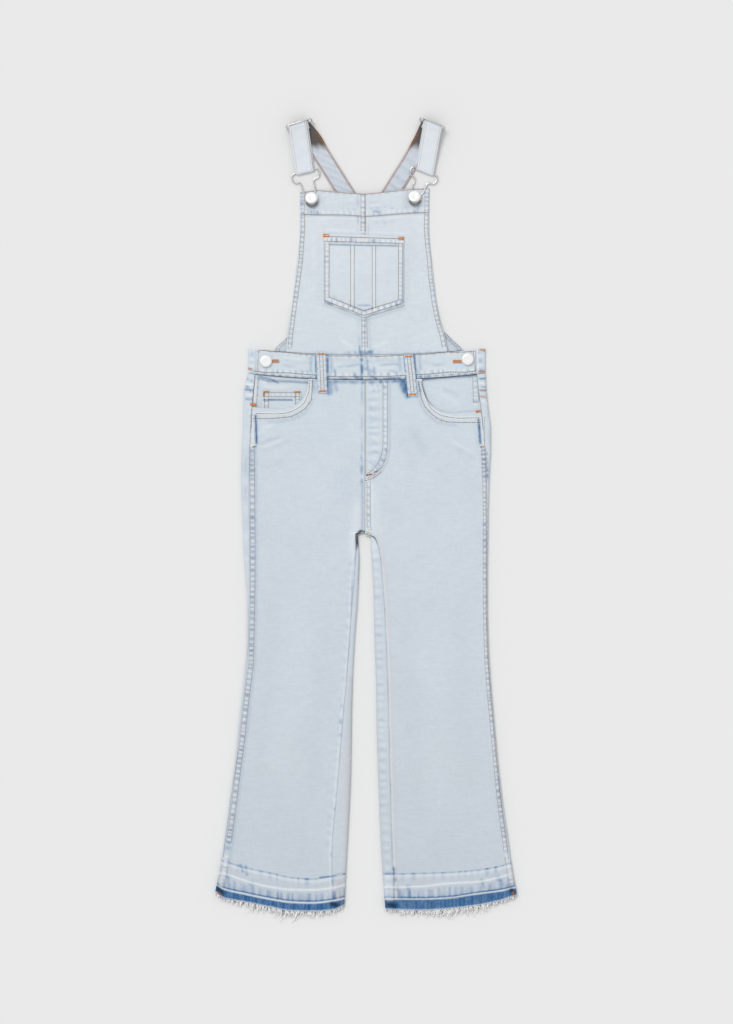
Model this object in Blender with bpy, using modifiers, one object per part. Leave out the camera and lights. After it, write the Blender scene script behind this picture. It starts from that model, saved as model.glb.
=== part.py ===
"""Kids dungarees in stretch denim, laid flat on their back with the straps folded over to the bib.

The garment lies in the XY plane with its front up: +Y points to the shoulders, +Z away from the
surface it lies on. "left" and "right" are as seen from the front, so left is -X. Each leg is a
flattened tube: the back panel rests on the surface and rolls up at both sides to the outseam and the
inseam, and the front panel lies between those seams. Table values are in millimetres.
"""
import math
from collections import namedtuple

import bmesh
import bpy
from mathutils import Vector

# ---------------------------------------------------------------- driving dimensions, millimetres
MM = 0.001
GARMENT = "kids_dungarees"
PLAN_MIDDLE = (1.4, -1.16)      # middle of the outline, measured from the centre-front seam
SEAM_GAP = 0.3                  # clearance between two pieces that are sewn together
SIDE_SEAM_GAP = 0.5             # the same along the outseam and inseam, which curve
ROLL_GAP = 1.3                  # more clearance where a seam lies on a rolled edge
WAIST_GAP = 0.6                 # clearance under the waistband, whose edge is a run of chords
DENIM = 1.3                     # wall of the leg, yoke and bib panels
LIGHT_DENIM = 1.0               # wall of the small hidden pieces
FACING_DENIM = 1.2              # wall of pocket pieces
BAND = 1.8                      # wall of the doubled waistband
STRAP = 1.5                     # wall of the doubled strap
STRAP_WIDTH = 23.0
STRAP_SLANT = 1.15              # a level line across the slanting strap is this much longer
EDGE_ROLL = 4.5                 # how far in from a rolled edge the upper face curves
FLOOR_ROLL = 4.0                # how far in from a rolled edge the lower face curves

WAIST_Y = 178.4                 # lower edge of the waistband at the centre front
WAIST_RISE = 7.2                # how much higher that edge is at the side openings
WAIST_HALF = 143.0              # half width of the front at the side openings
BAND_HEIGHT = 32.0
CROTCH_Y = -22.1
CROTCH_ROOM = 2.6               # how far the front keeps from the back's turned-up edge there
YOKE_SIDE_Y = 165.0             # yoke seam at the side
YOKE_CENTRE_Y = 132.0           # and at the centre back
PLACKET_END_Y = 91.0            # bottom of the side opening
PLACKET_REACH = 34.0            # how far the placket reaches in from the side
UNDERLAP_X = 113.0              # inner end of the back waistband's button tab
SETTLE_FROM, SETTLE_TO = 42.0, 100.0   # the layers thin out between these distances from the side

WIRE_SLIDER = 0.8               # radius of the strap adjuster's wire
WIRE_BUCKLE = 1.0               # radius of the buckle's wire
SLIDER_HALF = (17.2, 8.2)       # half length and half height of the adjuster
SLIDER_LEAN = math.radians(8)
SLIDER_BOW = 2.3                # how far its long sides stand out beyond its middle bar
FOLD_DEPTH, FOLD_HALF = 3.6, 5.5       # the strap's fold over the shoulder, horizontal and vertical
FOLD_Z = 9.3                    # height of the fold's middle
BAR_SETBACK = 0.3               # the adjuster's middle bar lies this far inside the fold's middle
BAR_Z = 3.1                     # height of the buckle's bar
BUTTON_LEAN = math.radians(13)
BUTTON_SEAT = 0.95              # height of the leaning shank's middle above the cloth
TURN_STEPS = 20                 # facets round a button

# A row for each level down the leg, as distances from the centre front: y, the rolled outer edge, the
# outseam, the inseam, the rolled inner edge (None above the crotch), the height at the sides, the
# height where the layers settle, the lift of the hem's outer end, and the roll at the inner edge.
Level = namedtuple("Level", "y outer outseam inseam inner loft settled lift puff")
LEFT_LEVELS = [
    Level(190.0, 151.5, 143.0, None, None, 7.0, 5.0, 0, 0),
    Level(178.4, 154.0, 143.6, None, None, 7.0, 5.0, 0, 0),
    Level(158.6, 158.4, 145.9, None, None, 7.0, 5.0, 0, 0),
    Level(136.5, 158.4, 147.3, None, None, 7.0, 5.0, 0, 0),
    Level(113.1, 158.9, 148.2, None, None, 6.8, 5.0, 0, 0),
    Level(91.0, 160.0, 149.1, None, None, 6.4, 4.9, 0, 0),
    Level(54.6, 161.2, 150.2, None, None, 6.2, 4.8, 0, 0),
    Level(15.6, 160.0, 150.4, None, None, 6.0, 4.8, 0, 0),
    Level(-22.1, 158.6, 149.9, None, None, 6.0, 4.8, 0, 0),
    Level(-23.4, 158.5, 149.9, 1.6, 0.5, 6.0, 4.8, 0, 0),
    Level(-25.4, 158.4, 149.9, 6.4, 5.2, 6.0, 4.8, 0, 0),
    Level(-27.3, 158.4, 149.9, 10.4, 9.1, 6.0, 4.8, 0, 0),
    Level(-40.3, 157.9, 149.9, 10.8, 8.1, 6.0, 4.8, 0, 0.2),
    Level(-55.9, 157.0, 149.9, 12.0, 7.6, 6.0, 4.8, 0, 0.5),
    Level(-81.9, 155.2, 150.4, 13.9, 8.5, 6.0, 4.8, 0, 0.8),
    Level(-110.5, 153.7, 150.8, 16.3, 10.0, 6.0, 4.8, 0, 1),
    Level(-159.9, 153.9, 151.7, 19.8, 13.7, 6.0, 4.8, 0, 1),
    Level(-211.9, 158.0, 155.4, 23.7, 16.3, 6.0, 4.8, 0, 1),
    Level(-263.9, 163.8, 161.4, 28.6, 17.6, 6.0, 4.8, 0, 1),
    Level(-315.9, 169.2, 167.0, 33.0, 18.2, 6.0, 4.8, 0, 1),
    Level(-367.9, 175.9, 174.2, 37.3, 19.9, 6.0, 4.8, 3.0, 1),
    Level(-419.9, 182.2, 180.6, 42.1, 22.5, 6.0, 4.8, 10.0, 1),
    Level(-471.0, 187.8, 186.2, 43.0, 25.0, 6.0, 4.8, 22.5, 1),
    Level(-512.7, 194.8, 191.8, 42.3, 26.8, 6.0, 4.8, 25.3, 1),
]
RIGHT_LEVELS = [
    Level(190.0, 156.2, 145.3, None, None, 7.0, 5.0, 0, 0),
    Level(178.4, 156.7, 146.3, None, None, 7.0, 5.0, 0, 0),
    Level(158.6, 157.8, 148.4, None, None, 7.0, 5.0, 0, 0),
    Level(136.5, 160.6, 151.6, None, None, 7.0, 5.0, 0, 0),
    Level(113.1, 163.2, 154.0, None, None, 6.8, 5.0, 0, 0),
    Level(91.0, 163.2, 155.6, None, None, 6.4, 4.9, 0, 0),
    Level(54.6, 161.5, 156.9, None, None, 6.2, 4.8, 0, 0),
    Level(15.6, 160.4, 157.3, None, None, 6.0, 4.8, 0, 0),
    Level(-22.1, 159.9, 158.1, None, None, 6.0, 4.8, 0, 0),
    Level(-24.2, 159.9, 158.1, 1.8, 0.5, 6.0, 4.8, 0, 0),
    Level(-26.0, 159.8, 158.1, 9.4, 6.5, 6.0, 4.8, 0, 0),
    Level(-28.6, 159.7, 158.1, 12.6, 7.8, 6.0, 4.8, 0, 0),
    Level(-40.3, 159.5, 158.1, 17.6, 7.8, 6.0, 4.8, 0, 0.2),
    Level(-55.9, 159.2, 157.9, 20.2, 8.7, 6.0, 4.8, 0, 0.5),
    Level(-81.9, 158.9, 157.7, 22.5, 10.4, 6.0, 4.8, 0, 0.8),
    Level(-110.5, 158.7, 157.6, 24.7, 11.4, 6.0, 4.8, 0, 1),
    Level(-159.9, 159.9, 158.8, 27.3, 12.4, 6.0, 4.8, 0, 1),
    Level(-211.9, 163.2, 162.0, 29.3, 14.3, 6.0, 4.8, 0, 1),
    Level(-263.9, 167.7, 166.4, 30.8, 14.9, 6.0, 4.8, 0, 1),
    Level(-315.9, 172.5, 171.0, 31.9, 16.3, 6.0, 4.8, 0, 1),
    Level(-367.9, 178.4, 176.6, 33.2, 18.2, 6.0, 4.8, 2.0, 1),
    Level(-419.9, 185.4, 183.2, 34.5, 20.2, 6.0, 4.8, 7.0, 1),
    Level(-463.7, 190.4, 187.8, 35.8, 22.8, 6.0, 4.8, 14.0, 1),
    Level(-511.4, 197.6, 193.4, 37.7, 26.4, 6.0, 4.8, 20.0, 1),
]

# The scooped pocket: where its curve ends at the waistband, its half width and its depth. The hem's
# lowest place is a share of the way across from the outer edge, and its inner end lifts a little.
SideShape = namedtuple("SideShape", "name sign levels scoop_x scoop_width scoop_depth hem_low inner_lift")
SIDES = [
    SideShape("left", -1, LEFT_LEVELS, 73.5, 47.5, 42.3, 0.70, 0.32),
    SideShape("right", 1, RIGHT_LEVELS, 74.1, 46.8, 47.7, 0.80, 0.08),
]
SCOOP_POWER = 2.3
BEARER_MARGIN = 10.0            # how far the pocket bearer runs on under the front
FRINGE_REACH = 8.5

# A row for each level up the bib: y, and the two side edges' distances from the centre seam.
BibLevel = namedtuple("BibLevel", "y left right")
BIB_LEVELS = [
    BibLevel(205.0, 103.6, 109.0), BibLevel(224.0, 101.9, 106.0), BibLevel(242.0, 99.6, 102.0),
    BibLevel(258.7, 97.0, 96.8), BibLevel(282.0, 94.0, 93.0), BibLevel(321.0, 89.5, 88.3),
    BibLevel(369.5, 84.8, 83.6), BibLevel(381.0, 84.5, 83.4), BibLevel(393.0, 84.4, 83.4),
    BibLevel(405.0, 84.4, 83.4), BibLevel(424.0, 84.4, 83.8),
]
# The bib's top edge: x across the bib and y there.
TopEdge = namedtuple("TopEdge", "x y")
BIB_TOP = [TopEdge(-84.4, 422.2), TopEdge(-60.0, 425.2), TopEdge(-30.0, 422.0), TopEdge(0.0, 420.2),
           TopEdge(30.0, 423.2), TopEdge(60.0, 426.8), TopEdge(84.0, 427.2)]
BIB_PLATEAU = 56.0              # half width of the bib that lies on the layers under it
BIB_PLATEAU_TOP = 46.0
BIB_SLOPE = 16.0                # width of its slope down to the surface on each side

# A row for each level up the back bib: y and its half width, about BACK_CENTRE_X.
BackLevel = namedtuple("BackLevel", "y half")
BACK_CENTRE_X = 4.6
BACK_BIB = [BackLevel(206.0, 124.0), BackLevel(219.0, 122.0), BackLevel(228.0, 112.0),
            BackLevel(238.0, 102.0), BackLevel(256.0, 80.0), BackLevel(290.0, 56.0),
            BackLevel(330.0, 42.0), BackLevel(370.0, 36.0), BackLevel(412.0, 35.0)]

# Bib pocket: corners of its outline.
POCKET_LEFT, POCKET_RIGHT, POCKET_TIP_X = -53.4, 50.6, -1.4
POCKET_TOP = (368.8, 364.6)     # y of the top edge at the left and right
POCKET_CORNER = (278.4, 274.6)  # y of the lower corners
POCKET_TIP_Y = 258.9

# Straps: each runs from the back bib up to the shoulder, folds over the adjuster, comes down to the
# buckle's bar and returns underneath to the adjuster. Points are in plan.
StrapRoute = namedtuple("StrapRoute", "name sign back fold_back fold_front fold_across bar button "
                                      "return_shift")
STRAPS = [
    StrapRoute("left", -1, [(-13.6, 404.5), (-18.6, 412.0), (-24.4, 420.4), (-42.5, 449.0), (-59.5, 476.0),
                            (-68.4, 491.1)],
               (-83.2, 510.1), (-87.4, 508.8), (0.955, 0.295), (-78.7, 449.2), (-69.5, 412.8), 2.2),
    StrapRoute("right", 1, [(23.2, 404.5), (28.0, 412.0), (33.2, 420.4), (49.0, 445.6), (63.6, 469.0),
                            (74.2, 488.4)],
               (85.0, 510.3), (88.8, 508.8), (0.927, -0.374), (78.3, 449.5), (64.4, 414.7), -2.2),
]
# Half of the buckle's wire, from its bar down to the loop under the button: distance out from the
# buckle's axis and distance down it.
BUCKLE_HALF = [(14.0, 0.0), (17.0, 1.0), (18.2, 4.0), (17.6, 9.0), (15.4, 11.8), (11.6, 12.4),
               (8.8, 14.0), (8.1, 17.5), (8.3, 24.0), (7.4, 28.0), (5.2, 32.0), (4.7, 36.5),
               (3.6, 40.2), (1.4, 42.0)]
# A button's profile from the crown of its head to its seat: radius and height above the cloth.
BIB_BUTTON = [(0.0, 9.4), (3.4, 9.2), (6.2, 8.5), (8.0, 7.2), (8.5, 6.2), (8.1, 5.3), (3.2, 4.8),
              (2.8, 4.4), (2.8, 0.0), (0.0, 0.0)]
SIDE_BUTTON = [(0.0, 7.4), (3.2, 7.2), (5.9, 6.5), (7.6, 5.3), (8.1, 4.4), (7.7, 3.6), (2.9, 3.2),
               (2.4, 2.9), (2.4, 0.0), (0.0, 0.0)]
SideButton = namedtuple("SideButton", "name x y slot_end")
SIDE_BUTTONS = [SideButton("left", -128.7, 202.2, -112.5), SideButton("right", 133.3, 204.8, 113.8)]
BUTTONHOLE = 5.6                # width of the buttonhole round the shank
BUTTONHOLE_SLIT = 0.8
BeltLoop = namedtuple("BeltLoop", "name top_x bottom_x top_y bottom_y")
BELT_LOOPS = [BeltLoop("left", -57.2, -54.9, 213.6, 161.0), BeltLoop("right", 56.6, 62.4, 210.6, 156.6)]
BELT_LOOP_WIDTH = 12.5

PALE_DENIM = (0.64, 0.71, 0.77)
DEEP_DENIM = (0.12, 0.22, 0.40)
FRAY = (0.72, 0.70, 0.66)
NICKEL = (0.75, 0.75, 0.76)


# ---------------------------------------------------------------- scene and mesh helpers
def empty_scene():
    for thing in list(bpy.data.objects):
        bpy.data.objects.remove(thing)


def make_collection(name):
    made = bpy.data.collections.new(name)
    bpy.context.scene.collection.children.link(made)
    return made


def finish_material(name, colour, roughness, metallic):
    material = bpy.data.materials.get(name) or bpy.data.materials.new(name)
    material.use_nodes = True
    shader = material.node_tree.nodes["Principled BSDF"]
    shader.inputs["Base Color"].default_value = (*colour, 1.0)
    shader.inputs["Roughness"].default_value = roughness
    shader.inputs["Metallic"].default_value = metallic
    return material


def place(x, y, z):
    """A plan point in millimetres as a point of the model in metres."""
    return Vector((x - PLAN_MIDDLE[0], y - PLAN_MIDDLE[1], z)) * MM


def add_mesh(name, points, faces, group):
    mesh = bpy.data.meshes.new(name)
    mesh.from_pydata(points, [], faces)
    piece = bpy.data.objects.new(name, mesh)
    group.objects.link(piece)
    return piece


def cloth(name, grid, thickness, group, colour=PALE_DENIM, offset=-1.0, flip=False, closed=False):
    """A sheet through a grid of plan points, given a wall behind its face.

    The grid's rows run down the garment and its columns to the right, so its face looks up; flip
    turns it over. closed joins the last column to the first.
    """
    points = [place(*point) for row in grid for point in row]
    across = len(grid[0])
    faces = []
    for r in range(len(grid) - 1):
        for c in range(across if closed else across - 1):
            after = (c + 1) % across
            quad = (r * across + c, (r + 1) * across + c, (r + 1) * across + after, r * across + after)
            faces.append(quad[::-1] if flip else quad)
    piece = add_mesh(name, points, faces, group)
    wall = piece.modifiers.new("wall", "SOLIDIFY")
    wall.thickness = thickness * MM
    wall.offset = offset
    wall.use_even_offset = True
    wall.use_quality_normals = True
    piece.data.materials.append(finish_material(name, colour, 0.9, 0.0))
    return piece


def mix(a, b, share):
    return a + (b - a) * share


def ease(share):
    share = min(max(share, 0.0), 1.0)
    return share * share * (3 - 2 * share)


def read(table, key, field, at):
    """A column of a table, read between its rows."""
    rows = sorted(table, key=lambda row: getattr(row, key))
    at = min(max(at, getattr(rows[0], key)), getattr(rows[-1], key))
    for low, high in zip(rows, rows[1:]):
        start, end = getattr(low, key), getattr(high, key)
        if start <= at <= end:
            return mix(getattr(low, field), getattr(high, field), (at - start) / (end - start))
    raise ValueError(f"{field} has no row at {at}")


# ---------------------------------------------------------------- the legs' shape
def waist_line(x):
    """The waistband's lower edge."""
    return WAIST_Y + WAIST_RISE * (x / WAIST_HALF) ** 2


def level_at(side, y):
    """A level between the table's rows, above the crotch."""
    fields = {field: read(side.levels[:9], "y", field, y)
              for field in ("outer", "outseam", "loft", "settled")}
    return Level(y=y, inseam=None, inner=None, lift=0, puff=0, **fields)


def upper_face(level, x):
    """Height of the upper face at a distance x from the centre front."""
    from_outer = level.outer - x
    in_hip = ease((level.y - 20) / 90)
    settle = mix(ease(from_outer / 50), ease((from_outer - SETTLE_FROM) / (SETTLE_TO - SETTLE_FROM)), in_hip)
    from_edge = from_outer
    if level.inner is not None:
        from_inner = x - level.inner
        settle *= 1 - level.puff * (1 - ease(from_inner / 50))
        from_edge = min(from_outer, from_inner)
    height = mix(level.loft, level.settled, settle)
    roll = EDGE_ROLL if level.puff or from_edge == from_outer else EDGE_ROLL / 2
    if from_edge >= roll:
        return height
    steep = 1 - max(from_edge, 0) / roll
    return height / 2 * (1 + math.sqrt(1 - steep * steep))


def seam_clearance(edge_distance):
    """Clearance at a seam; more where the seam lies on the steep part of a rolled edge."""
    steep = max(1 - edge_distance / EDGE_ROLL, 0.0)
    return SIDE_SEAM_GAP + ROLL_GAP * steep * steep


def crotch_clearance(level):
    """Room for the back panel, which turns up to the front at the crotch."""
    at_crotch = level.y <= CROTCH_Y and level.puff == 0
    return CROTCH_ROOM if at_crotch else 0.0


def lifted(side, level, x):
    """y of a level at x: the hem hangs lower in the middle of the leg than at its ends."""
    if not level.lift:
        return level.y
    share = (level.outer - x) / (level.outer - level.inner)
    if share < side.hem_low:
        return level.y + level.lift * ((side.hem_low - share) / side.hem_low) ** 2
    return level.y + level.lift * side.inner_lift * ((share - side.hem_low) / (1 - side.hem_low)) ** 2


ROLL_STEPS = 4


def roll_points(level, edge, seam, inward):
    """Section of a rolled edge, from the seam on top round to the surface below."""
    points = []
    for step in range(ROLL_STEPS + 1):
        x = edge + (seam - edge) * (1 - step / ROLL_STEPS) ** 2
        points.append((x, upper_face(level, x)))
    middle = points[-1][1]
    turn = math.radians(45)
    points.append((edge + inward * FLOOR_ROLL * (1 - math.cos(turn)), middle * (1 - math.sin(turn))))
    points.append((edge + inward * FLOOR_ROLL, 0.0))
    return points


def back_section(level):
    """Outer face of the back panel from its inner end to the outseam, as (x, z)."""
    outer_roll = roll_points(level, level.outer, level.outseam, -1)[::-1]
    if level.inner is None:
        start = [(SEAM_GAP / 2 + step * 2.4, 0.0) for step in range(ROLL_STEPS + 3)]
    else:
        start = roll_points(level, level.inner, level.inseam, 1)
    middle = [(mix(start[-1][0], outer_roll[0][0], part), 0.0) for part in (0.25, 0.5, 0.75)]
    return start + middle + outer_roll


def yoke_seam(x):
    return mix(YOKE_CENTRE_Y, YOKE_SIDE_Y, ease(abs(x) / 150))


def yoke_seam_points(side):
    """Points along the yoke seam, shared by the yoke and the leg's back panel."""
    points = []
    for index, (x, _) in enumerate(back_section(level_at(side, mix(YOKE_CENTRE_Y, YOKE_SIDE_Y, 0.5)))):
        along, height = back_section(level_at(side, yoke_seam(x)))[index]
        points.append((along, yoke_seam(x), height))
    return points


def build_leg_back(side, group):
    rows = [[(x, y - SEAM_GAP, z) for x, y, z in yoke_seam_points(side)]]
    between = []
    for index, (x, seam_y, _) in enumerate(yoke_seam_points(side)):
        y = mix(seam_y, side.levels[4].y, 0.5)
        along, height = back_section(level_at(side, y))[index]
        between.append((along, y, height))
    rows.append(between)
    for level in side.levels[4:]:
        rows.append([(x, lifted(side, level, x), z) for x, z in back_section(level)])
    grid = [[(side.sign * x, y, z) for x, y, z in row] for row in rows]
    return cloth(f"leg_back_{side.name}", grid, DENIM, group, flip=side.sign > 0)


def build_yoke(side, group):
    rows = []
    for share in (0.0, 0.5):
        row = []
        for index, (x, seam_y, _) in enumerate(yoke_seam_points(side)):
            y = mix(waist_line(x) - WAIST_GAP, seam_y, share)
            along, height = back_section(level_at(side, y))[index]
            row.append((along, y, height))
        rows.append(row)
    rows.append(yoke_seam_points(side))
    grid = [[(side.sign * x, y, z) for x, y, z in row] for row in rows]
    return cloth(f"yoke_{side.name}", grid, DENIM, group, flip=side.sign > 0)


def scoop(side, x, margin=0.0):
    """y of the pocket's curved mouth at x; past its end this is the waistband's edge."""
    centre = side.scoop_x + side.scoop_width
    share = min(max((centre - x) / (side.scoop_width + margin), 0.0), 1.0)
    depth = (side.scoop_depth + margin) * (1 - share ** SCOOP_POWER) ** (1 / SCOOP_POWER)
    return waist_line(x) - WAIST_GAP - depth


def build_leg_front(side, group):
    """The front panel, cut away at the top along the pocket's mouth."""
    scoop_middle = side.scoop_x + side.scoop_width
    top_columns = [SEAM_GAP / 2, side.scoop_x * 0.5, side.scoop_x - 0.4, side.scoop_x + 0.4,
                   side.scoop_x + 3.0, side.scoop_x + 12.0, side.scoop_x + 26.0, scoop_middle,
                   WAIST_HALF - 1.0]

    def spread(level):
        """Columns across a level: close together where the cloth rolls over at each side."""
        low = SEAM_GAP / 2
        if level.inner is not None:
            low = level.inseam + seam_clearance(level.inseam - level.inner) + crotch_clearance(level)
        high = level.outseam - seam_clearance(level.outer - level.outseam)
        wide = high - low
        return [low, low + 2, low + 5] + [low + wide * part for part in (0.25, 0.5, 0.75)] + [
            high - 5, high - 2, high]

    anchor = side.levels[4]
    grid = []
    for share in (0.0, 0.35, 0.7):
        row = []
        for x, settled_x in zip(top_columns, spread(anchor)):
            y = mix(scoop(side, x), anchor.y, share)
            level = level_at(side, y)
            along = mix(x, settled_x, share)
            if x == top_columns[-1]:
                along = level.outseam - WAIST_GAP
            row.append((side.sign * along, y, upper_face(level, along)))
        grid.append(row)
    for level in side.levels[4:]:
        row = []
        for index, x in enumerate(spread(level)):
            raised = crotch_clearance(level) if index < 3 else 0.0
            row.append((side.sign * x, lifted(side, level, x) + raised, upper_face(level, x)))
        grid.append(row)
    return cloth(f"leg_front_{side.name}", grid, DENIM, group, flip=side.sign < 0)


def bearer_face(side, x, y):
    """Upper face of the pocket bearer, which lies under the front panel and the coin pocket."""
    front = upper_face(level_at(side, y), x)
    room = DENIM + SEAM_GAP + LIGHT_DENIM + SEAM_GAP
    return max(DENIM + SEAM_GAP + FACING_DENIM, front - room)


def build_pocket_bearer(side, group):
    grid = []
    centre = side.scoop_x + side.scoop_width
    columns = [side.scoop_x - BEARER_MARGIN + step for step in (0.3, 3.0, 14.0, 32.0)] + [centre, WAIST_HALF]
    for share in (0.0, 0.35, 0.7, 1.0):
        row = []
        for x in columns:
            y = mix(waist_line(x) - WAIST_GAP, scoop(side, x, BEARER_MARGIN), share)
            along = level_at(side, y).outseam - SEAM_GAP if x == columns[-1] else x
            row.append((side.sign * along, y, bearer_face(side, min(along, WAIST_HALF), y)))
        grid.append(row)
    return cloth(f"pocket_bearer_{side.name}", grid, FACING_DENIM, group, flip=side.sign < 0)


def build_coin_pocket(side, group):
    left, right, top = 133.8, 83.2, 163.0
    grid = []
    for share in (0.0, 0.5, 1.0):
        row = []
        for part in (0.0, 0.25, 0.5, 0.75, 1.0):
            x = mix(left, right, part)
            y = mix(top, scoop(side, x, BEARER_MARGIN) + 3, share)
            row.append((side.sign * x, y, bearer_face(side, x, y) + SEAM_GAP + LIGHT_DENIM))
        grid.append(row)
    return cloth("coin_pocket", grid, LIGHT_DENIM, group)


def build_side_placket(side, group):
    """The strip that the side opening closes over, lying on the back panel."""
    face = DENIM + SEAM_GAP + LIGHT_DENIM
    grid = []
    for share in (0.0, 0.33, 0.67, 1.0):
        y = mix(waist_line(WAIST_HALF) - 3, PLACKET_END_Y, share)
        level = level_at(side, y)
        grid.append([(side.sign * (level.outer - inset), y, face) for inset in (4.4, PLACKET_REACH / 2,
                                                                                PLACKET_REACH)])
    return cloth(f"side_placket_{side.name}", grid, LIGHT_DENIM, group, flip=side.sign > 0)


def build_fly(group):
    """The fly facing behind the right front, with the J curve of its stitching."""
    straight, width, bottom = 100.0, 30.5, 46.0
    grid = []
    for share in (0.0, 0.25, 0.5, 0.7, 0.85, 1.0):
        y = mix(WAIST_Y - 1.0, bottom, share)
        curve = max((WAIST_Y - y - straight) / (WAIST_Y - bottom - straight), 0.0)
        reach = 3.0 + (width - 3.0) * math.sqrt(max(1 - curve * curve, 0.0))
        grid.append([(0.6 + reach * part, y, 5.0 - DENIM - SEAM_GAP) for part in (0.0, 0.5, 1.0)])
    return cloth("fly", grid, LIGHT_DENIM, group)


# ---------------------------------------------------------------- waistband and belt loops
def band_face(x):
    """Upper face of the front waistband."""
    from_side = 154.0 - abs(x)
    return mix(7.5, 5.5, ease((from_side - SETTLE_FROM) / (SETTLE_TO - SETTLE_FROM)))


def cut_slot(piece, slot, cutters):
    """Cut a buttonhole: a round eye for the shank and a slit running in from it."""
    inward = -1 if slot.x > 0 else 1
    eye = math.asin(BUTTONHOLE_SLIT / BUTTONHOLE)
    outline = []
    turns = 12
    for step in range(turns + 1):
        angle = eye + (2 * math.pi - 2 * eye) * step / turns
        outline.append((slot.x + inward * BUTTONHOLE / 2 * math.cos(angle),
                        slot.y + BUTTONHOLE / 2 * math.sin(angle)))
    half_slit = BUTTONHOLE_SLIT / 2
    outline += [(slot.slot_end, slot.y - half_slit), (slot.slot_end, slot.y + half_slit)]
    if inward < 0:
        outline.reverse()
    count = len(outline)
    points = [place(x, y, z) for z in (3.0, 12.0) for x, y in outline]
    faces = [tuple(range(count))[::-1], tuple(range(count, 2 * count))]
    faces += [(i, (i + 1) % count, count + (i + 1) % count, count + i) for i in range(count)]
    cutter = add_mesh(f"buttonhole_cutter_{slot.name}", points, faces, cutters)
    cutter.hide_render = True
    cutter.display_type = "WIRE"
    cut = piece.modifiers.new(f"buttonhole_{slot.name}", "BOOLEAN")
    cut.operation = "DIFFERENCE"
    cut.solver = "EXACT"
    cut.object = cutter


def build_waistband_front(group, cutters):
    ends = (-141.3, 143.7)
    columns = [ends[0], -112.0, -90.0, -70.0, -54.0, -27.0, 0.0, 27.0, 54.0, 70.0, 90.0, 112.0, ends[1]]
    grid = [[(x, waist_line(x) + BAND_HEIGHT * (1 - share), band_face(x)) for x in columns]
            for share in (0.0, 0.5, 1.0)]
    piece = cloth("waistband_front", grid, BAND, group)
    for slot in SIDE_BUTTONS:
        cut_slot(piece, slot, cutters)
    return piece


def back_waist_columns():
    """The x of the points along the back bib's lower edge, shared with the back waistband."""
    half = BACK_BIB[0].half
    return [BACK_CENTRE_X + half * part for part in (-1.0, -0.5, 0.0, 0.5, 1.0)]


def build_waistband_back(group):
    """The back waistband; each end rolls round the side and forms the button tab under the front."""
    def section(y):
        points = []
        for side in SIDES:
            outer = level_at(side, y).outer
            level = Level(y, outer, UNDERLAP_X, None, None, 5.2, 5.2, 0, 0)
            half = roll_points(level, outer, UNDERLAP_X, -1)
            half = [(side.sign * x, z) for x, z in half]
            points = half if side.sign < 0 else points + [(x, 0.0) for x in back_waist_columns()] + half[::-1]
        return points

    grid = []
    for share in (0.0, 0.5, 1.0):
        row = [(x, waist_line(x) + BAND_HEIGHT * (1 - share), z) for x, z in section(WAIST_Y + 10)]
        grid.append(row)
    return cloth("waistband_back", grid, BAND, group, flip=True)


def build_belt_loop(loop, group):
    half = BELT_LOOP_WIDTH / 2
    grid = []
    thickness = 1.6
    side = SIDES[0] if loop.top_x < 0 else SIDES[1]
    for share in (0.0, 0.3, 0.6, 0.66, 0.8, 1.0):
        y = mix(loop.top_y, loop.bottom_y, share)
        x = mix(loop.top_x, loop.bottom_x, share)
        on_band = y > waist_line(x) - 2.0
        row = []
        for edge in (-half, half):
            under = band_face(x + edge) if on_band else upper_face(level_at(side, y), abs(x + edge))
            row.append((x + edge, y, under + SEAM_GAP + 0.1 + thickness))
        grid.append(row)
    return cloth(f"belt_loop_{loop.name}", grid, thickness, group)


# ---------------------------------------------------------------- bib and back bib
def bib_top_y(x):
    return read(BIB_TOP, "x", "y", x)


def bib_plateau(y):
    """Half width of the bib's middle, which lies on the straps and the back bib."""
    upper = mix(BIB_PLATEAU, BIB_PLATEAU_TOP, ease((y - 369.5) / 23.5))
    return max(upper, mix(upper, 108.0, ease((305 - y) / 60)))


def bib_face(x, y):
    """Upper face of the bib."""
    aside = abs(x) - bib_plateau(y)
    resting = 1 - ease(aside / BIB_SLOPE)
    raised = mix(2.0, 3.5, ease((y - 369.5) / 23.5))
    under = mix(0.1, raised, resting)
    waist_top = waist_line(x) + BAND_HEIGHT
    at_waist = 1 - ease((y - waist_top) / 44.0)
    return mix(under + DENIM, band_face(x) - 1.4, at_waist)


def bib_columns(edge, y):
    plateau = min(bib_plateau(y), edge - 14)
    slope = min(BIB_SLOPE, (edge - plateau) * 0.7)
    return [SEAM_GAP / 2, 28.0, plateau, plateau + slope / 2, plateau + slope,
            mix(plateau + slope, edge, 0.5), edge]


def build_bib(side, group):
    grid = []
    for index, level in enumerate(reversed(BIB_LEVELS)):
        edge = getattr(level, side.name)
        row = []
        for x in bib_columns(edge, level.y):
            signed = side.sign * x
            y = level.y
            if index == 0:
                y = bib_top_y(signed)
            if index == len(BIB_LEVELS) - 1:
                y = waist_line(x) + BAND_HEIGHT + SEAM_GAP
            row.append((signed, y, bib_face(signed, y)))
        grid.append(row)
    return cloth(f"bib_{side.name}", grid, DENIM, group, flip=side.sign < 0)


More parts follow.
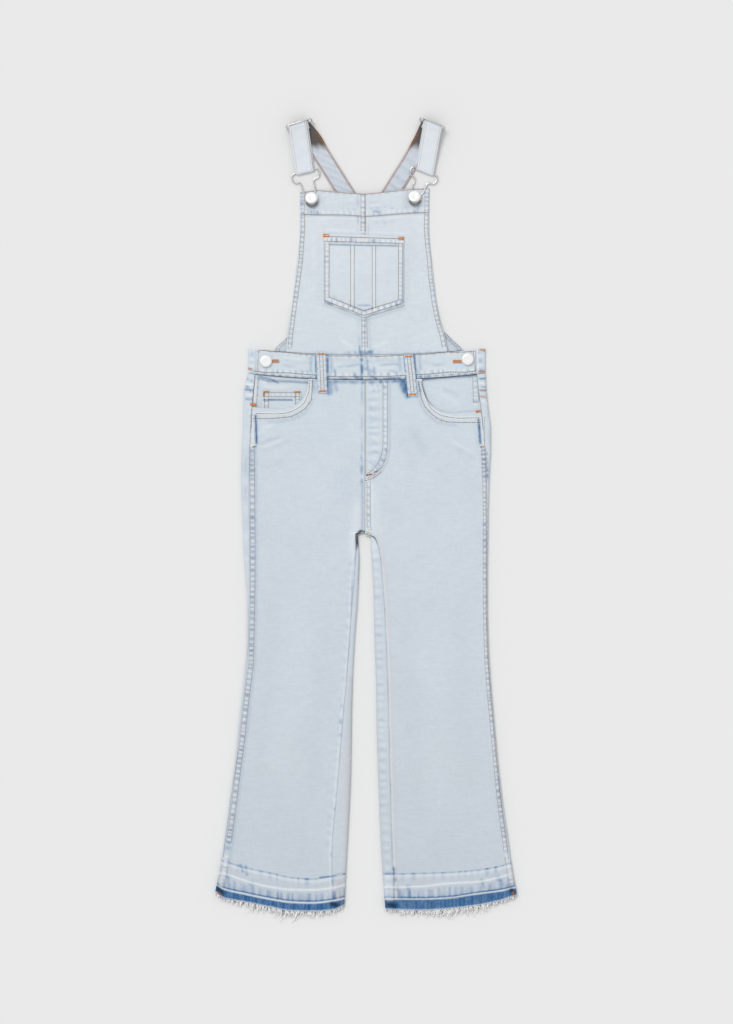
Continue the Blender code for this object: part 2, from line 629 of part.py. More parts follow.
def build_bib_pocket(group):
    columns = [POCKET_LEFT, -28.0, POCKET_TIP_X, 28.0, POCKET_RIGHT]
    grid = []
    for share in (0.0, 0.5, 1.0):
        row = []
        for x in columns:
            across = (x - POCKET_LEFT) / (POCKET_RIGHT - POCKET_LEFT)
            top = mix(*POCKET_TOP, across)
            corner, reach = ((POCKET_CORNER[0], POCKET_TIP_X - POCKET_LEFT) if x <= POCKET_TIP_X
                             else (POCKET_CORNER[1], POCKET_RIGHT - POCKET_TIP_X))
            bottom = mix(POCKET_TIP_Y, corner, abs(x - POCKET_TIP_X) / reach)
            y = mix(top, bottom, share)
            row.append((x, y, 2.0 + DENIM + SEAM_GAP + 0.1 + FACING_DENIM))
        grid.append(row)
    return cloth("bib_pocket", grid, FACING_DENIM, group)


def build_back_bib(group):
    """The back bib lies on the surface; its lower edge meets the back waistband."""
    grid = []
    for index, level in enumerate(reversed(BACK_BIB)):
        row = []
        for waist_x in back_waist_columns():
            x = BACK_CENTRE_X + (waist_x - BACK_CENTRE_X) * level.half / BACK_BIB[0].half
            y = level.y
            if index == len(BACK_BIB) - 1:
                y = waist_line(x) + BAND_HEIGHT + SEAM_GAP
            row.append((x, y, DENIM))
        grid.append(row)
    return cloth("back_bib", grid, DENIM, group)


# ---------------------------------------------------------------- straps and their hardware
def buckle_axes(route):
    """Directions down the buckle and across it."""
    down = (Vector(route.button) - Vector(route.bar)).normalized()
    return down, Vector((-down.y, down.x))


def build_strap(route, group):
    """One strip of cloth, drawn as stations along its length: centre, height and direction across."""
    stations = []
    across = Vector(route.fold_across)
    outward = Vector((-across.y, across.x))
    heights = [2.4, 2.4, 0.85, 0.8, 0.8, 1.6]
    for (x, y), z in zip(route.back, heights):
        stations.append((Vector((x, y)), z, Vector((1.0, 0.0)), STRAP_WIDTH * STRAP_SLANT))
    stations[-1] = (stations[-1][0], stations[-1][1], Vector((0.85, -0.53 * route.sign)), STRAP_WIDTH)
    # the fold over the shoulder
    back, front = Vector(route.fold_back), Vector(route.fold_front)
    fold_turns = 8
    for step in range(fold_turns + 1):
        angle = -math.pi / 2 + math.pi * step / fold_turns
        centre = back.lerp(front, step / fold_turns) + outward * (FOLD_DEPTH * math.cos(angle))
        stations.append((centre, FOLD_Z + FOLD_HALF * math.sin(angle), across, STRAP_WIDTH))
    # down the front to the buckle's bar
    bar = Vector(route.bar)
    down, bar_across = buckle_axes(route)
    loop = WIRE_BUCKLE + SEAM_GAP + STRAP / 2
    upper_heights = ((0.12, 12.6), (0.35, 9.4), (0.65, 6.6), (0.9, 5.4))
    for share, z in upper_heights:
        stations.append((front.lerp(bar, share), z, across.lerp(bar_across, share).normalized(), STRAP_WIDTH))
    bar_turns = 6
    for step in range(bar_turns + 1):
        angle = math.pi / 2 - math.pi * step / bar_turns
        shift = bar_across * (route.return_shift * step / bar_turns)
        stations.append((bar + shift + down * (loop * math.cos(angle)), BAR_Z + loop * math.sin(angle),
                         bar_across, STRAP_WIDTH))
    # back up underneath, round the adjuster's middle bar to the sewn end
    middle = front.lerp(back, 0.5) - outward * BAR_SETBACK
    side_shift = bar_across * route.return_shift
    wrap = WIRE_SLIDER + SEAM_GAP + STRAP / 2
    for share, z in ((0.1, 1.4), (0.35, 2.7), (0.65, 5.6), (0.88, 8.8)):
        centre = (bar + side_shift).lerp(middle, share)
        stations.append((centre, z, bar_across.lerp(across, share).normalized(), STRAP_WIDTH))
    for step in range(bar_turns + 1):
        angle = math.pi / 2 - math.pi * step / bar_turns
        stations.append((middle + outward * (wrap * math.cos(angle)), FOLD_Z + wrap * math.sin(angle),
                         across, STRAP_WIDTH))
    stations.append((middle - outward * 8.0, FOLD_Z - wrap - 0.2, across, STRAP_WIDTH))
    grid = [[(centre.x + sideways.x * width * part, centre.y + sideways.y * width * part, z)
             for part in (-0.5, 0.5)] for centre, z, sideways, width in stations]
    return cloth(f"strap_{route.name}", grid, STRAP, group, offset=0.0)


def wire_curve(name, points, radius, group, cyclic=True):
    curve = bpy.data.curves.new(name, "CURVE")
    curve.dimensions = "3D"
    curve.bevel_depth = radius * MM
    curve.bevel_resolution = 2
    curve.use_fill_caps = True
    spline = curve.splines.new("POLY")
    spline.points.add(len(points) - 1)
    for spot, point in zip(spline.points, points):
        spot.co = (*place(*point), 1.0)
    spline.use_cyclic_u = cyclic
    piece = bpy.data.objects.new(name, curve)
    group.objects.link(piece)
    return piece


def curve_to_mesh(piece, group):
    """Replace a curve by its evaluated mesh, with the caps welded on."""
    bpy.context.view_layer.update()
    evaluated = piece.evaluated_get(bpy.context.evaluated_depsgraph_get())
    mesh = bpy.data.meshes.new_from_object(evaluated)
    welded = bmesh.new()
    welded.from_mesh(mesh)
    bmesh.ops.remove_doubles(welded, verts=welded.verts, dist=0.00001)
    welded.to_mesh(mesh)
    welded.free()
    made = bpy.data.objects.new(piece.name + "_mesh", mesh)
    made.matrix_world = piece.matrix_world
    group.objects.link(made)
    bpy.data.objects.remove(piece)
    return made


def build_slider(route, group, cutters):
    """Wire adjuster: an oblong frame with a middle bar, standing on edge in the strap's fold."""
    back, front = Vector(route.fold_back), Vector(route.fold_front)
    across = Vector(route.fold_across)
    outward = Vector((-across.y, across.x))
    centre = front.lerp(back, 0.5) - outward * BAR_SETBACK
    half_length, half_height = SLIDER_HALF

    def spot(along, up):
        bow = SLIDER_BOW * (up / half_height) ** 2
        plan = centre + across * along + outward * (up * math.sin(SLIDER_LEAN) + bow)
        return (plan.x, plan.y, FOLD_Z + up * math.cos(SLIDER_LEAN))

    corner = 3.2
    points = []
    for quarter, (sx, sy) in enumerate(((1, 1), (-1, 1), (-1, -1), (1, -1))):
        for step in range(4):
            angle = math.radians(90 * quarter + 30 * step)
            points.append(spot(sx * (half_length - corner) + corner * math.cos(angle),
                               sy * (half_height - corner) + corner * math.sin(angle)))
    frame = curve_to_mesh(wire_curve(f"slider_frame_{route.name}", points, WIRE_SLIDER, group), group)
    frame.name = f"slider_{route.name}"
    bar = curve_to_mesh(wire_curve(f"slider_bar_{route.name}", [spot(-half_length, 0), spot(half_length, 0)],
                                   WIRE_SLIDER * 0.8, cutters, cyclic=False), cutters)
    bar.hide_render = True
    bar.display_type = "WIRE"
    join = frame.modifiers.new("middle_bar", "BOOLEAN")
    join.operation = "UNION"
    join.solver = "EXACT"
    join.object = bar
    frame.data.materials.append(finish_material(frame.name, NICKEL, 0.3, 1.0))
    return frame


def build_buckle(route, group):
    """Dungaree buckle: one bent wire, wide at the strap's bar and narrow round the button's shank."""
    bar, button = Vector(route.bar), Vector(route.button)
    down, out = buckle_axes(route)
    scale = (button - bar).length / 37.5
    half = [(reach, drop * scale) for reach, drop in BUCKLE_HALF]
    outline = half + [(-reach, drop) for reach, drop in reversed(half)]
    points = []
    for reach, drop in outline:
        plan = bar + out * reach + down * drop
        points.append((plan.x, plan.y, BAR_Z))
    name = f"buckle_{route.name}"
    piece = curve_to_mesh(wire_curve(name + "_wire", points, WIRE_BUCKLE, group), group)
    piece.name = name
    piece.data.materials.append(finish_material(name, NICKEL, 0.3, 1.0))
    return piece


def build_button(name, profile, x, y, seat, lean, group):
    """A turned metal button on its shank; lean tips the head toward the shoulders."""
    points = [Vector((radius, 0, height)) * MM for radius, height in profile]
    mesh = bpy.data.meshes.new(name)
    mesh.from_pydata(points, [(i, i + 1) for i in range(len(points) - 1)], [])
    piece = bpy.data.objects.new(name, mesh)
    group.objects.link(piece)
    turn = piece.modifiers.new("turn", "SCREW")
    turn.steps = TURN_STEPS
    turn.render_steps = TURN_STEPS
    turn.use_merge_vertices = True
    turn.merge_threshold = 0.00001
    turn.use_normal_calculate = True
    piece.location = place(x, y, seat)
    piece.rotation_euler = (-lean, 0, 0)
    mesh.materials.append(finish_material(name, NICKEL, 0.3, 1.0))
    return piece


def build_fringe(side, group):
    """The fray below the raw hem, as a ring of its reach."""
    level = side.levels[-1]
    fray_level = level._replace(outer=level.outer - 0.4, inner=level.inner + 0.4, loft=5.2, settled=4.4)

    def ring(drop):
        lower = back_section(fray_level._replace(outseam=level.outseam - 8, inseam=level.inseam + 8))
        seam_in, seam_out = lower[0][0], lower[-1][0]
        upper = [(mix(seam_out, seam_in, part), None) for part in (0.25, 0.5, 0.75)]
        row = []
        for x, z in lower + upper:
            height = upper_face(fray_level, x) if z is None else z + 0.2
            share = (level.outer - x) / (level.outer - level.inner)
            reach = drop * (0.45 + 0.55 * math.sin(math.pi * min(max(share, 0.0), 1.0)))
            row.append((side.sign * x, lifted(side, level, min(max(x, level.inner), level.outer))
                        - WAIST_GAP - reach, height))
        return row

    grid = [ring(0.0), ring(FRINGE_REACH * 0.5), ring(FRINGE_REACH)]
    return cloth(f"fringe_{side.name}", grid, 1.0, group, colour=FRAY, flip=side.sign > 0, closed=True)


# ---------------------------------------------------------------- the whole garment
def build_dungarees():
    empty_scene()
    garment = make_collection(GARMENT)
    cutters = make_collection("cutters")
    for side in SIDES:
        build_leg_back(side, garment)
        build_leg_front(side, garment)
        build_yoke(side, garment)
        build_pocket_bearer(side, garment)
        build_side_placket(side, garment)
        build_bib(side, garment)
        build_fringe(side, garment)
    build_coin_pocket(SIDES[0], garment)
    build_fly(garment)
    build_waistband_front(garment, cutters)
    build_waistband_back(garment)
    build_bib_pocket(garment)
    build_back_bib(garment)
    for loop in BELT_LOOPS:
        build_belt_loop(loop, garment)
    for route in STRAPS:
        build_strap(route, garment)
        build_slider(route, garment, cutters)
        build_buckle(route, garment)
        x, y = route.button
        build_button(f"bib_button_{route.name}", BIB_BUTTON, x, y, bib_face(x, y) + BUTTON_SEAT,
                     BUTTON_LEAN, garment)
    for button in SIDE_BUTTONS:
        build_button(f"side_button_{button.name}", SIDE_BUTTON, button.x, button.y, 5.2 + SEAM_GAP, 0.0,
                     garment)


build_dungarees()
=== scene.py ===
"""Kids dungarees in bleached stretch denim, laid flat on a pale floor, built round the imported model.

The garment lies in the XY plane with its front up: +Y points to the shoulders. "left" and "right" are
as seen from the front. Plan sizes are millimetres from the centre-front seam; lines of seams and
stitches are given in squares of the pattern drawing, whose squares are 1.3 mm.
"""
import math

import bpy
import numpy as np
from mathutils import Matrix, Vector


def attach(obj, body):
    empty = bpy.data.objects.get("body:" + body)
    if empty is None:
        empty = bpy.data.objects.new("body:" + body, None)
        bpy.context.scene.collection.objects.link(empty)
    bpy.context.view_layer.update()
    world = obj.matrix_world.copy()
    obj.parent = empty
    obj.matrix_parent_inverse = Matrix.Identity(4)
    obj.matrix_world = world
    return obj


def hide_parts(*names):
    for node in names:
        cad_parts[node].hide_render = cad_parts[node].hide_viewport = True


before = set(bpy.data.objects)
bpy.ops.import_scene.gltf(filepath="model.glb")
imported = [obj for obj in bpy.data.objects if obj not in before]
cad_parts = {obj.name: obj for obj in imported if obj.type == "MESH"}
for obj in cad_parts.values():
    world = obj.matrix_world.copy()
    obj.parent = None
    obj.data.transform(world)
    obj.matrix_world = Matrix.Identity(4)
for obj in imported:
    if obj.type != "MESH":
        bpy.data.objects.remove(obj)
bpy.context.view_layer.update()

bl_info = {
    "name": "Kids dungarees",
    "version": (1, 0, 0),
    "blender": (4, 5, 0),
    "location": "View3D > Sidebar > Dungarees",
    "description": "Builds a pair of bleached denim dungarees piece by piece round its packed model",
    "category": "Add Mesh",
}

# ---------------------------------------------------------------- the garment's own sizes, millimetres
MM = 0.001
PLAN_MIDDLE = np.array((1.4, -1.16, 0.0))      # the model's origin in plan
DRAWING_SQUARE = 1.3
DRAWING_CENTRE = (365.0, 517.0)
SEAM_GAP = 0.3
NEAR_SEAM = 0.04
ROLL_GAP = 1.3
WAIST_GAP = 0.6
DENIM = 1.3
LIGHT_DENIM = 1.0
FACING_DENIM = 1.2
BAND = 1.8
STRAP = 1.5
STRAP_WIDTH = 23.0
STRAP_SLANT = 1.15
STRAP_GRID = 1.7                # spacing of the rows and columns of a strap's cloth
EDGE_ROLL = 4.5
FLOOR_ROLL = 4.0
WAIST_Y = 178.4
WAIST_RISE = 7.2
WAIST_HALF = 143.0
BAND_HEIGHT = 32.0
CROTCH_Y = -22.1
CROTCH_ROOM = 1.1
YOKE_SIDE_Y = 165.0
YOKE_CENTRE_Y = 132.0
PLACKET_END_Y = 91.0
PLACKET_REACH = 34.0
UNDERLAP_X = 113.0
SETTLE_FROM, SETTLE_TO = 42.0, 100.0
SCOOP_POWER = 2.3
BEARER_MARGIN = 10.0
ANCHOR_Y = 113.1                # above this level the front follows the pocket's curve

# Each leg's rows: y, rolled outer edge, outseam, inseam, rolled inner edge, height at the sides, height
# where the layers settle, lift of the hem's outer end, and how much the inner edge rolls.
ABOVE = -99.0                   # stands for the inseam and inner edge above the crotch
LEFT_ROWS = [
    (190.0, 151.5, 143.0, ABOVE, ABOVE, 7.0, 5.0, 0, 0), (178.4, 154.0, 143.6, ABOVE, ABOVE, 7.0, 5.0, 0, 0),
    (158.6, 158.4, 145.9, ABOVE, ABOVE, 7.0, 5.0, 0, 0), (136.5, 158.4, 147.3, ABOVE, ABOVE, 7.0, 5.0, 0, 0),
    (113.1, 158.9, 148.2, ABOVE, ABOVE, 6.8, 5.0, 0, 0), (91.0, 160.0, 149.1, ABOVE, ABOVE, 6.4, 4.9, 0, 0),
    (54.6, 161.2, 150.2, ABOVE, ABOVE, 6.2, 4.8, 0, 0), (15.6, 160.0, 150.4, ABOVE, ABOVE, 6.0, 4.8, 0, 0),
    (-18.6, 158.6, 149.9, ABOVE, ABOVE, 6.0, 4.8, 0, 0), (-19.8, 158.5, 149.9, 1.6, 0.5, 6.0, 4.8, 0, 0),
    (-21.2, 158.4, 149.9, 6.4, 5.2, 6.0, 4.8, 0, 0), (-23.4, 158.4, 149.9, 10.6, 9.3, 6.0, 4.8, 0, 0),
    (-40.3, 157.9, 149.9, 10.8, 8.1, 6.0, 4.8, 0, 0.2), (-55.9, 157.0, 149.9, 12.0, 7.6, 6.0, 4.8, 0, 0.5),
    (-81.9, 155.2, 150.4, 13.9, 8.5, 6.0, 4.8, 0, 0.8), (-110.5, 153.7, 150.8, 16.3, 10.0, 6.0, 4.8, 0, 1),
    (-159.9, 153.9, 151.7, 19.8, 13.7, 6.0, 4.8, 0, 1), (-211.9, 158.0, 155.4, 23.7, 16.3, 6.0, 4.8, 0, 1),
    (-263.9, 163.8, 161.4, 28.6, 17.6, 6.0, 4.8, 0, 1), (-315.9, 169.2, 167.0, 33.0, 18.2, 6.0, 4.8, 0, 1),
    (-367.9, 175.9, 174.2, 37.3, 19.9, 6.0, 4.8, 3.0, 1),
    (-419.9, 182.2, 180.6, 42.1, 22.5, 6.0, 4.8, 10.0, 1),
    (-471.0, 187.8, 186.2, 43.0, 25.0, 6.0, 4.8, 22.5, 1),
    (-512.7, 194.8, 191.8, 42.3, 26.8, 6.0, 4.8, 25.3, 1),
]
RIGHT_ROWS = [
    (190.0, 156.2, 145.3, ABOVE, ABOVE, 7.0, 5.0, 0, 0), (178.4, 156.7, 146.3, ABOVE, ABOVE, 7.0, 5.0, 0, 0),
    (158.6, 157.8, 148.4, ABOVE, ABOVE, 7.0, 5.0, 0, 0), (136.5, 160.6, 151.6, ABOVE, ABOVE, 7.0, 5.0, 0, 0),
    (113.1, 163.2, 154.0, ABOVE, ABOVE, 6.8, 5.0, 0, 0), (91.0, 163.2, 155.6, ABOVE, ABOVE, 6.4, 4.9, 0, 0),
    (54.6, 161.5, 156.9, ABOVE, ABOVE, 6.2, 4.8, 0, 0), (15.6, 160.4, 157.3, ABOVE, ABOVE, 6.0, 4.8, 0, 0),
    (-22.1, 159.9, 158.1, ABOVE, ABOVE, 6.0, 4.8, 0, 0), (-24.2, 159.9, 158.1, 1.8, 0.5, 6.0, 4.8, 0, 0),
    (-26.0, 159.8, 158.1, 9.4, 6.5, 6.0, 4.8, 0, 0), (-28.6, 159.7, 158.1, 12.6, 7.8, 6.0, 4.8, 0, 0),
    (-40.3, 159.5, 158.1, 17.6, 7.8, 6.0, 4.8, 0, 0.2), (-55.9, 159.2, 157.9, 20.2, 8.7, 6.0, 4.8, 0, 0.5),
    (-81.9, 158.9, 157.7, 22.5, 10.4, 6.0, 4.8, 0, 0.8), (-110.5, 158.7, 157.6, 24.7, 11.4, 6.0, 4.8, 0, 1),
    (-159.9, 159.9, 158.8, 27.3, 12.4, 6.0, 4.8, 0, 1), (-211.9, 163.2, 162.0, 29.3, 14.3, 6.0, 4.8, 0, 1),
    (-263.9, 167.7, 166.4, 30.8, 14.9, 6.0, 4.8, 0, 1), (-315.9, 172.5, 171.0, 31.9, 16.3, 6.0, 4.8, 0, 1),
    (-367.9, 178.4, 176.6, 33.2, 18.2, 6.0, 4.8, 2.0, 1),
    (-419.9, 185.4, 183.2, 34.5, 20.2, 6.0, 4.8, 7.0, 1),
    (-463.7, 190.4, 187.8, 35.8, 22.8, 6.0, 4.8, 14.0, 1),
    (-511.4, 197.6, 193.4, 37.7, 26.4, 6.0, 4.8, 20.0, 1),
]
ROWS_OVER_YOKE = 4              # the rows that lie on the yoke, above the back leg
FIELDS = ("y", "outer", "outseam", "inseam", "inner", "loft", "settled", "lift", "puff")
# The faded hem, across each leg from the centre out: x, the cut edge, the white line over the dark
# band, the pale fold, and the crease where the hem was let down.
LEFT_HEM = [(27, -504.8, -494.9, -478.2, -463.7), (42, -510.8, -498.2, -482, -466.7),
            (69, -512.7, -500.9, -484.6, -470.5), (95, -512.2, -500.1, -484.2, -468.7),
            (122, -507.4, -496.2, -481, -462.8), (155, -500.8, -489.5, -473, -455.7),
            (183, -495.6, -483, -463.5, -447.2), (194, -487.5, -476.9, -462, -444)]
RIGHT_HEM = [(27, -510.1, -495.7, -481, -463.7), (39, -510.5, -496, -481, -463.7),
             (72, -511.4, -496.3, -480.2, -463), (105, -509.6, -495.1, -476.5, -462),
             (146, -504.8, -489.4, -474, -458.8), (172, -499.5, -486, -469, -454.4),
             (197, -491.4, -480.4, -461, -448)]

# Rows up the bib: y and its side edges' distances from the centre seam; then its top edge.
BIB_ROWS = [(205.0, 103.6, 109.0), (224.0, 101.9, 106.0), (242.0, 99.6, 102.0), (258.7, 97.0, 96.8),
            (282.0, 94.0, 93.0), (321.0, 89.5, 88.3), (369.5, 84.8, 83.6), (381.0, 84.5, 83.4),
            (393.0, 84.4, 83.4), (405.0, 84.4, 83.4), (424.0, 84.4, 83.8)]
BIB_TOP = [(-84.4, 422.2), (-60.0, 425.2), (-30.0, 422.0), (0.0, 420.2), (30.0, 423.2), (60.0, 426.8),
           (84.0, 427.2)]
BIB_PLATEAU, BIB_PLATEAU_TOP, BIB_SLOPE = 56.0, 46.0, 16.0
BACK_CENTRE_X = 4.6
BACK_BIB = [(206.0, 124.0), (219.0, 122.0), (228.0, 112.0), (238.0, 102.0), (256.0, 80.0), (290.0, 56.0),
            (330.0, 42.0), (370.0, 36.0), (412.0, 35.0)]
POCKET_LEFT, POCKET_RIGHT, POCKET_TIP_X = -53.4, 50.6, -1.4
POCKET_TOP = (368.8, 364.6)
POCKET_CORNER = (278.4, 274.6)
POCKET_TIP_Y = 258.9

# Straps: points up the back, the fold over the shoulder, the buckle's bar and the button.
STRAP_ROUTES = {
    "left": dict(sign=-1, back=[(-13.6, 404.5), (-18.6, 412.0), (-24.4, 420.4), (-42.5, 449.0),
                                (-59.5, 476.0), (-68.4, 491.1)],
                 fold_back=(-83.2, 510.1), fold_front=(-87.4, 508.8), across=(0.955, 0.295),
                 bar=(-78.7, 449.2), button=(-69.5, 412.8), shift=2.2),
    "right": dict(sign=1, back=[(23.2, 404.5), (28.0, 412.0), (33.2, 420.4), (49.0, 445.6),
                                (63.6, 469.0), (74.2, 488.4)],
                  fold_back=(85.0, 510.3), fold_front=(88.8, 508.8), across=(0.927, -0.374),
                  bar=(78.3, 449.5), button=(64.4, 414.7), shift=-2.2),
}
WIRE_SLIDER, WIRE_BUCKLE = 0.8, 1.0
SLIDER_HALF = (17.2, 8.2)
SLIDER_LEAN = math.radians(8)
SLIDER_BOW = 2.3
FOLD_DEPTH, FOLD_HALF, FOLD_Z = 3.6, 5.5, 9.3
BAR_SETBACK, BAR_Z = 0.3, 3.1
BUCKLE_HALF = [(14.0, 0.0), (17.0, 1.0), (18.2, 4.0), (17.6, 9.0), (15.4, 11.8), (11.6, 12.4),
               (8.8, 14.0), (8.1, 17.5), (8.3, 24.0), (7.4, 28.0), (5.2, 32.0), (4.7, 36.5),
               (3.6, 40.2), (1.4, 42.0)]
BUTTON_LEAN = math.radians(13)
BUTTON_SEAT = 0.95
BIB_BUTTON = [(0.0, 9.4), (3.4, 9.2), (6.2, 8.5), (8.0, 7.2), (8.5, 6.2), (8.1, 5.3), (3.2, 4.8),
              (2.8, 4.4), (2.8, 0.0), (0.0, 0.0)]
SIDE_BUTTON = [(0.0, 7.4), (3.2, 7.2), (5.9, 6.5), (7.6, 5.3), (8.1, 4.4), (7.7, 3.6), (2.9, 3.2),
               (2.4, 2.9), (2.4, 0.0), (0.0, 0.0)]
TAB_HALF_HEIGHT = 2.6           # half the height of the roll at the waistband's side edges
SIDE_BUTTONS = {"left": (-128.7, 202.2), "right": (133.3, 204.8)}
BELT_LOOPS = {"left": (-57.2, -54.9, 213.6, 161.0), "right": (56.6, 62.4, 210.6, 156.6)}
BELT_LOOP_WIDTH = 12.5


# ---------------------------------------------------------------- sums on numbers and arrays
def mix(a, b, share):
    return a + (b - a) * share


def ease(share):
    share = np.clip(share, 0.0, 1.0)
    return share * share * (3 - 2 * share)


def hermite(t, width, before, after, leaving, arriving):
    """A cubic from one value to the next with these slopes at its ends."""
    t2, t3 = t * t, t * t * t
    return ((2 * t3 - 3 * t2 + 1) * before + (t3 - 2 * t2 + t) * width * leaving
            + (3 * t2 - 2 * t3) * after + (t3 - t2) * width * arriving)


def smooth(knots, values, at):
    """A curve through the values at the knots that never swings past them."""
    knots, values = np.asarray(knots, float), np.asarray(values, float)
    at = np.clip(at, knots[0], knots[-1])
    along = (-1,) + (1,) * (values.ndim - 1)
    step = np.diff(knots).reshape(along)
    slope = np.diff(values, axis=0) / step
    turning, total = slope[:-1] * slope[1:], slope[:-1] + slope[1:]
    inner = np.where(turning > 0, 2 * turning / np.where(total == 0, 1, total), 0.0)
    tangent = np.concatenate([slope[:1], inner, slope[-1:]])
    index = np.clip(np.searchsorted(knots, at, side="right") - 1, 0, len(knots) - 2)
    offset = at - knots[index]
    if values.ndim > 1:
        offset = offset.reshape(along)
    width, after = step[index], index + 1
    return hermite(offset / width, width, values[index], values[after], tangent[index], tangent[after])


def walked(path):
    """How far along a path each of its points lies."""
    steps = np.linalg.norm(np.diff(np.asarray(path, float), axis=0), axis=1)
    return np.concatenate([[0.0], np.cumsum(steps)])


def drawn(*squares):
    """Points of the pattern drawing as plan millimetres."""
    return [((x - DRAWING_CENTRE[0]) * DRAWING_SQUARE, (DRAWING_CENTRE[1] - y) * DRAWING_SQUARE)
            for x, y in squares]


def to_frame(points):
    return (np.asarray(points, float) - PLAN_MIDDLE) * MM


def refine(grid, down, across):
    """A grid resampled smoothly to about these spacings; its own points are kept."""
    grid = np.asarray(grid, float)
    for axis, spacing in ((0, down), (1, across)):
        steps = np.linalg.norm(np.diff(grid, axis=axis), axis=2).max(axis=1 - axis)
        knots = np.concatenate([[0.0], np.cumsum(np.maximum(steps, 1e-3))])
        fine = [0.0]
        for low, high in zip(knots, knots[1:]):
            parts = max(int(math.ceil((high - low) / spacing)), 1)
            fine += list(np.linspace(low, high, parts + 1)[1:])
        swapped = grid if axis == 0 else grid.swapaxes(0, 1)
        made = smooth(knots, swapped, np.array(fine))
        grid = made if axis == 0 else made.swapaxes(0, 1)
    return grid


def ripple(along, beat, seed):
    """An uneven wave between 0 and 1 along a seam, about one swing to each beat."""
    random = np.random.RandomState(seed)
    count = int(max(np.max(along), 1.0) / beat) + 3
    knots = np.concatenate([[0.0], np.cumsum(beat * random.uniform(0.6, 1.45, count))])
    phase = np.interp(along, knots, np.arange(count + 1))
    swing = np.interp(phase, np.arange(count + 1), random.uniform(0.5, 1.0, count + 1))
    return (0.5 - 0.5 * np.cos(2 * math.pi * phase)) * swing


def near_path(path, x, y):
    """Signed distance of points from a path, and how far along it they lie."""
    path = np.asarray(path, float)
    best = np.full(x.shape, 1e9)
    signed = np.zeros(x.shape)
    along = np.zeros(x.shape)
    done = 0.0
    for (ax, ay), (bx, by) in zip(path, path[1:]):
        dx, dy = bx - ax, by - ay
        length = math.hypot(dx, dy)
        share = np.clip(((x - ax) * dx + (y - ay) * dy) / (length * length), 0, 1)
        far = np.hypot(x - ax - share * dx, y - ay - share * dy)
        side = np.sign((x - ax) * dy - (y - ay) * dx)
        closer = far < best
        best = np.where(closer, far, best)
        signed = np.where(closer, far * side, signed)
        along = np.where(closer, done + share * length, along)
        done += length
    return signed, along


# ---------------------------------------------------------------- marks: colour and relief on cloth
class Mark:
    """A line, band or spot on the cloth: how much it darkens, fades and stands out.

    beat breaks it up along its length, in uneven swings of about that many millimetres; sharp makes
    the swings short. blue, pale and tan are colourings from 0 to 1; shade, from 0 to 1, darkens towards
    DUSK: most marks use it as painted shade in creases, ditches, slits and under edges, a few to make tan
    marks brown. rise is in millimetres.
    """
    def __init__(self, path, width, blue=0.0, pale=0.0, tan=0.0, shade=0.0, rise=0.0, beat=0.0,
                 sharp=1.0, slant=0.0, hard=False, fade=0.0):
        self.path = path if len(path) > 1 else [path[0], (path[0][0] + 0.01, path[0][1])]
        self.width = width
        self.dyes_and_shade = np.array((blue, pale, tan, shade))
        self.rise, self.beat, self.sharp = rise, beat, sharp
        self.slant, self.hard, self.fade = slant, hard, fade

    def lay(self, x, y, dye, rise, seed):
        path = np.asarray(self.path, float)
        reach = self.width * 3
        low, high = path.min(axis=0) - reach, path.max(axis=0) + reach
        inside = (x > low[0]) & (x < high[0]) & (y > low[1]) & (y < high[1])
        if not inside.any():
            return
        aside, along = near_path(path, x[inside], y[inside])
        if self.hard:
            weight = 1 - ease((np.abs(aside) - self.width * 0.75) / (self.width * 0.5))
        else:
            weight = np.exp(-(aside / self.width) ** 2)
        if self.fade:
            total = np.hypot(*np.diff(path, axis=0).T).sum()
            weight = weight * ease(along / self.fade) * ease((total - along) / self.fade)
        swing = np.ones(weight.shape)
        if self.beat:
            swing = ripple(np.maximum(along + self.slant * aside, 0), self.beat, seed) ** self.sharp
        counter = 1 - swing if self.beat else swing
        strengths = self.dyes_and_shade * weight[:, None]
        strengths[:, (0, 2, 3)] *= swing[:, None]
        strengths[:, 1] *= counter
        dye[inside] = 1 - (1 - dye[inside]) * (1 - np.clip(strengths, 0, 1))
        rise[inside] += self.rise * weight * ((0.5 - swing) * 2 if self.beat else 1.0)


class Face:
    """A face of the garment: its height over the floor at any plan point, with its marks."""
    def __init__(self, height, marks=(), extra=None, seed=1):
        self.height, self.marks, self.extra, self.seed = height, list(marks), extra, seed

    def read(self, x, y):
        """Height, and the colourings with their painted shade, at arrays of plan points."""
        x, y = np.asarray(x, float), np.asarray(y, float)
        shape = x.shape
        flat_x, flat_y = x.ravel(), y.ravel()
        dye, rise = np.zeros((flat_x.size, 4)), np.zeros(flat_x.size)
        if self.extra:
            self.extra(flat_x, flat_y, dye, rise)
        for index, mark in enumerate(self.marks):
            mark.lay(flat_x, flat_y, dye, rise, self.seed * 100 + index)
        return self.height(x, y) + rise.reshape(shape), dye.reshape(shape + (4,))

    def top(self, x, y):
        return self.read(x, y)[0]


def unraised(x, y):
    """The height of a face whose marks are added to a form made elsewhere."""
    return np.zeros(np.shape(x))


# ---------------------------------------------------------------- the garment's forms
def waist_line(x):
    return WAIST_Y + WAIST_RISE * (x / WAIST_HALF) ** 2


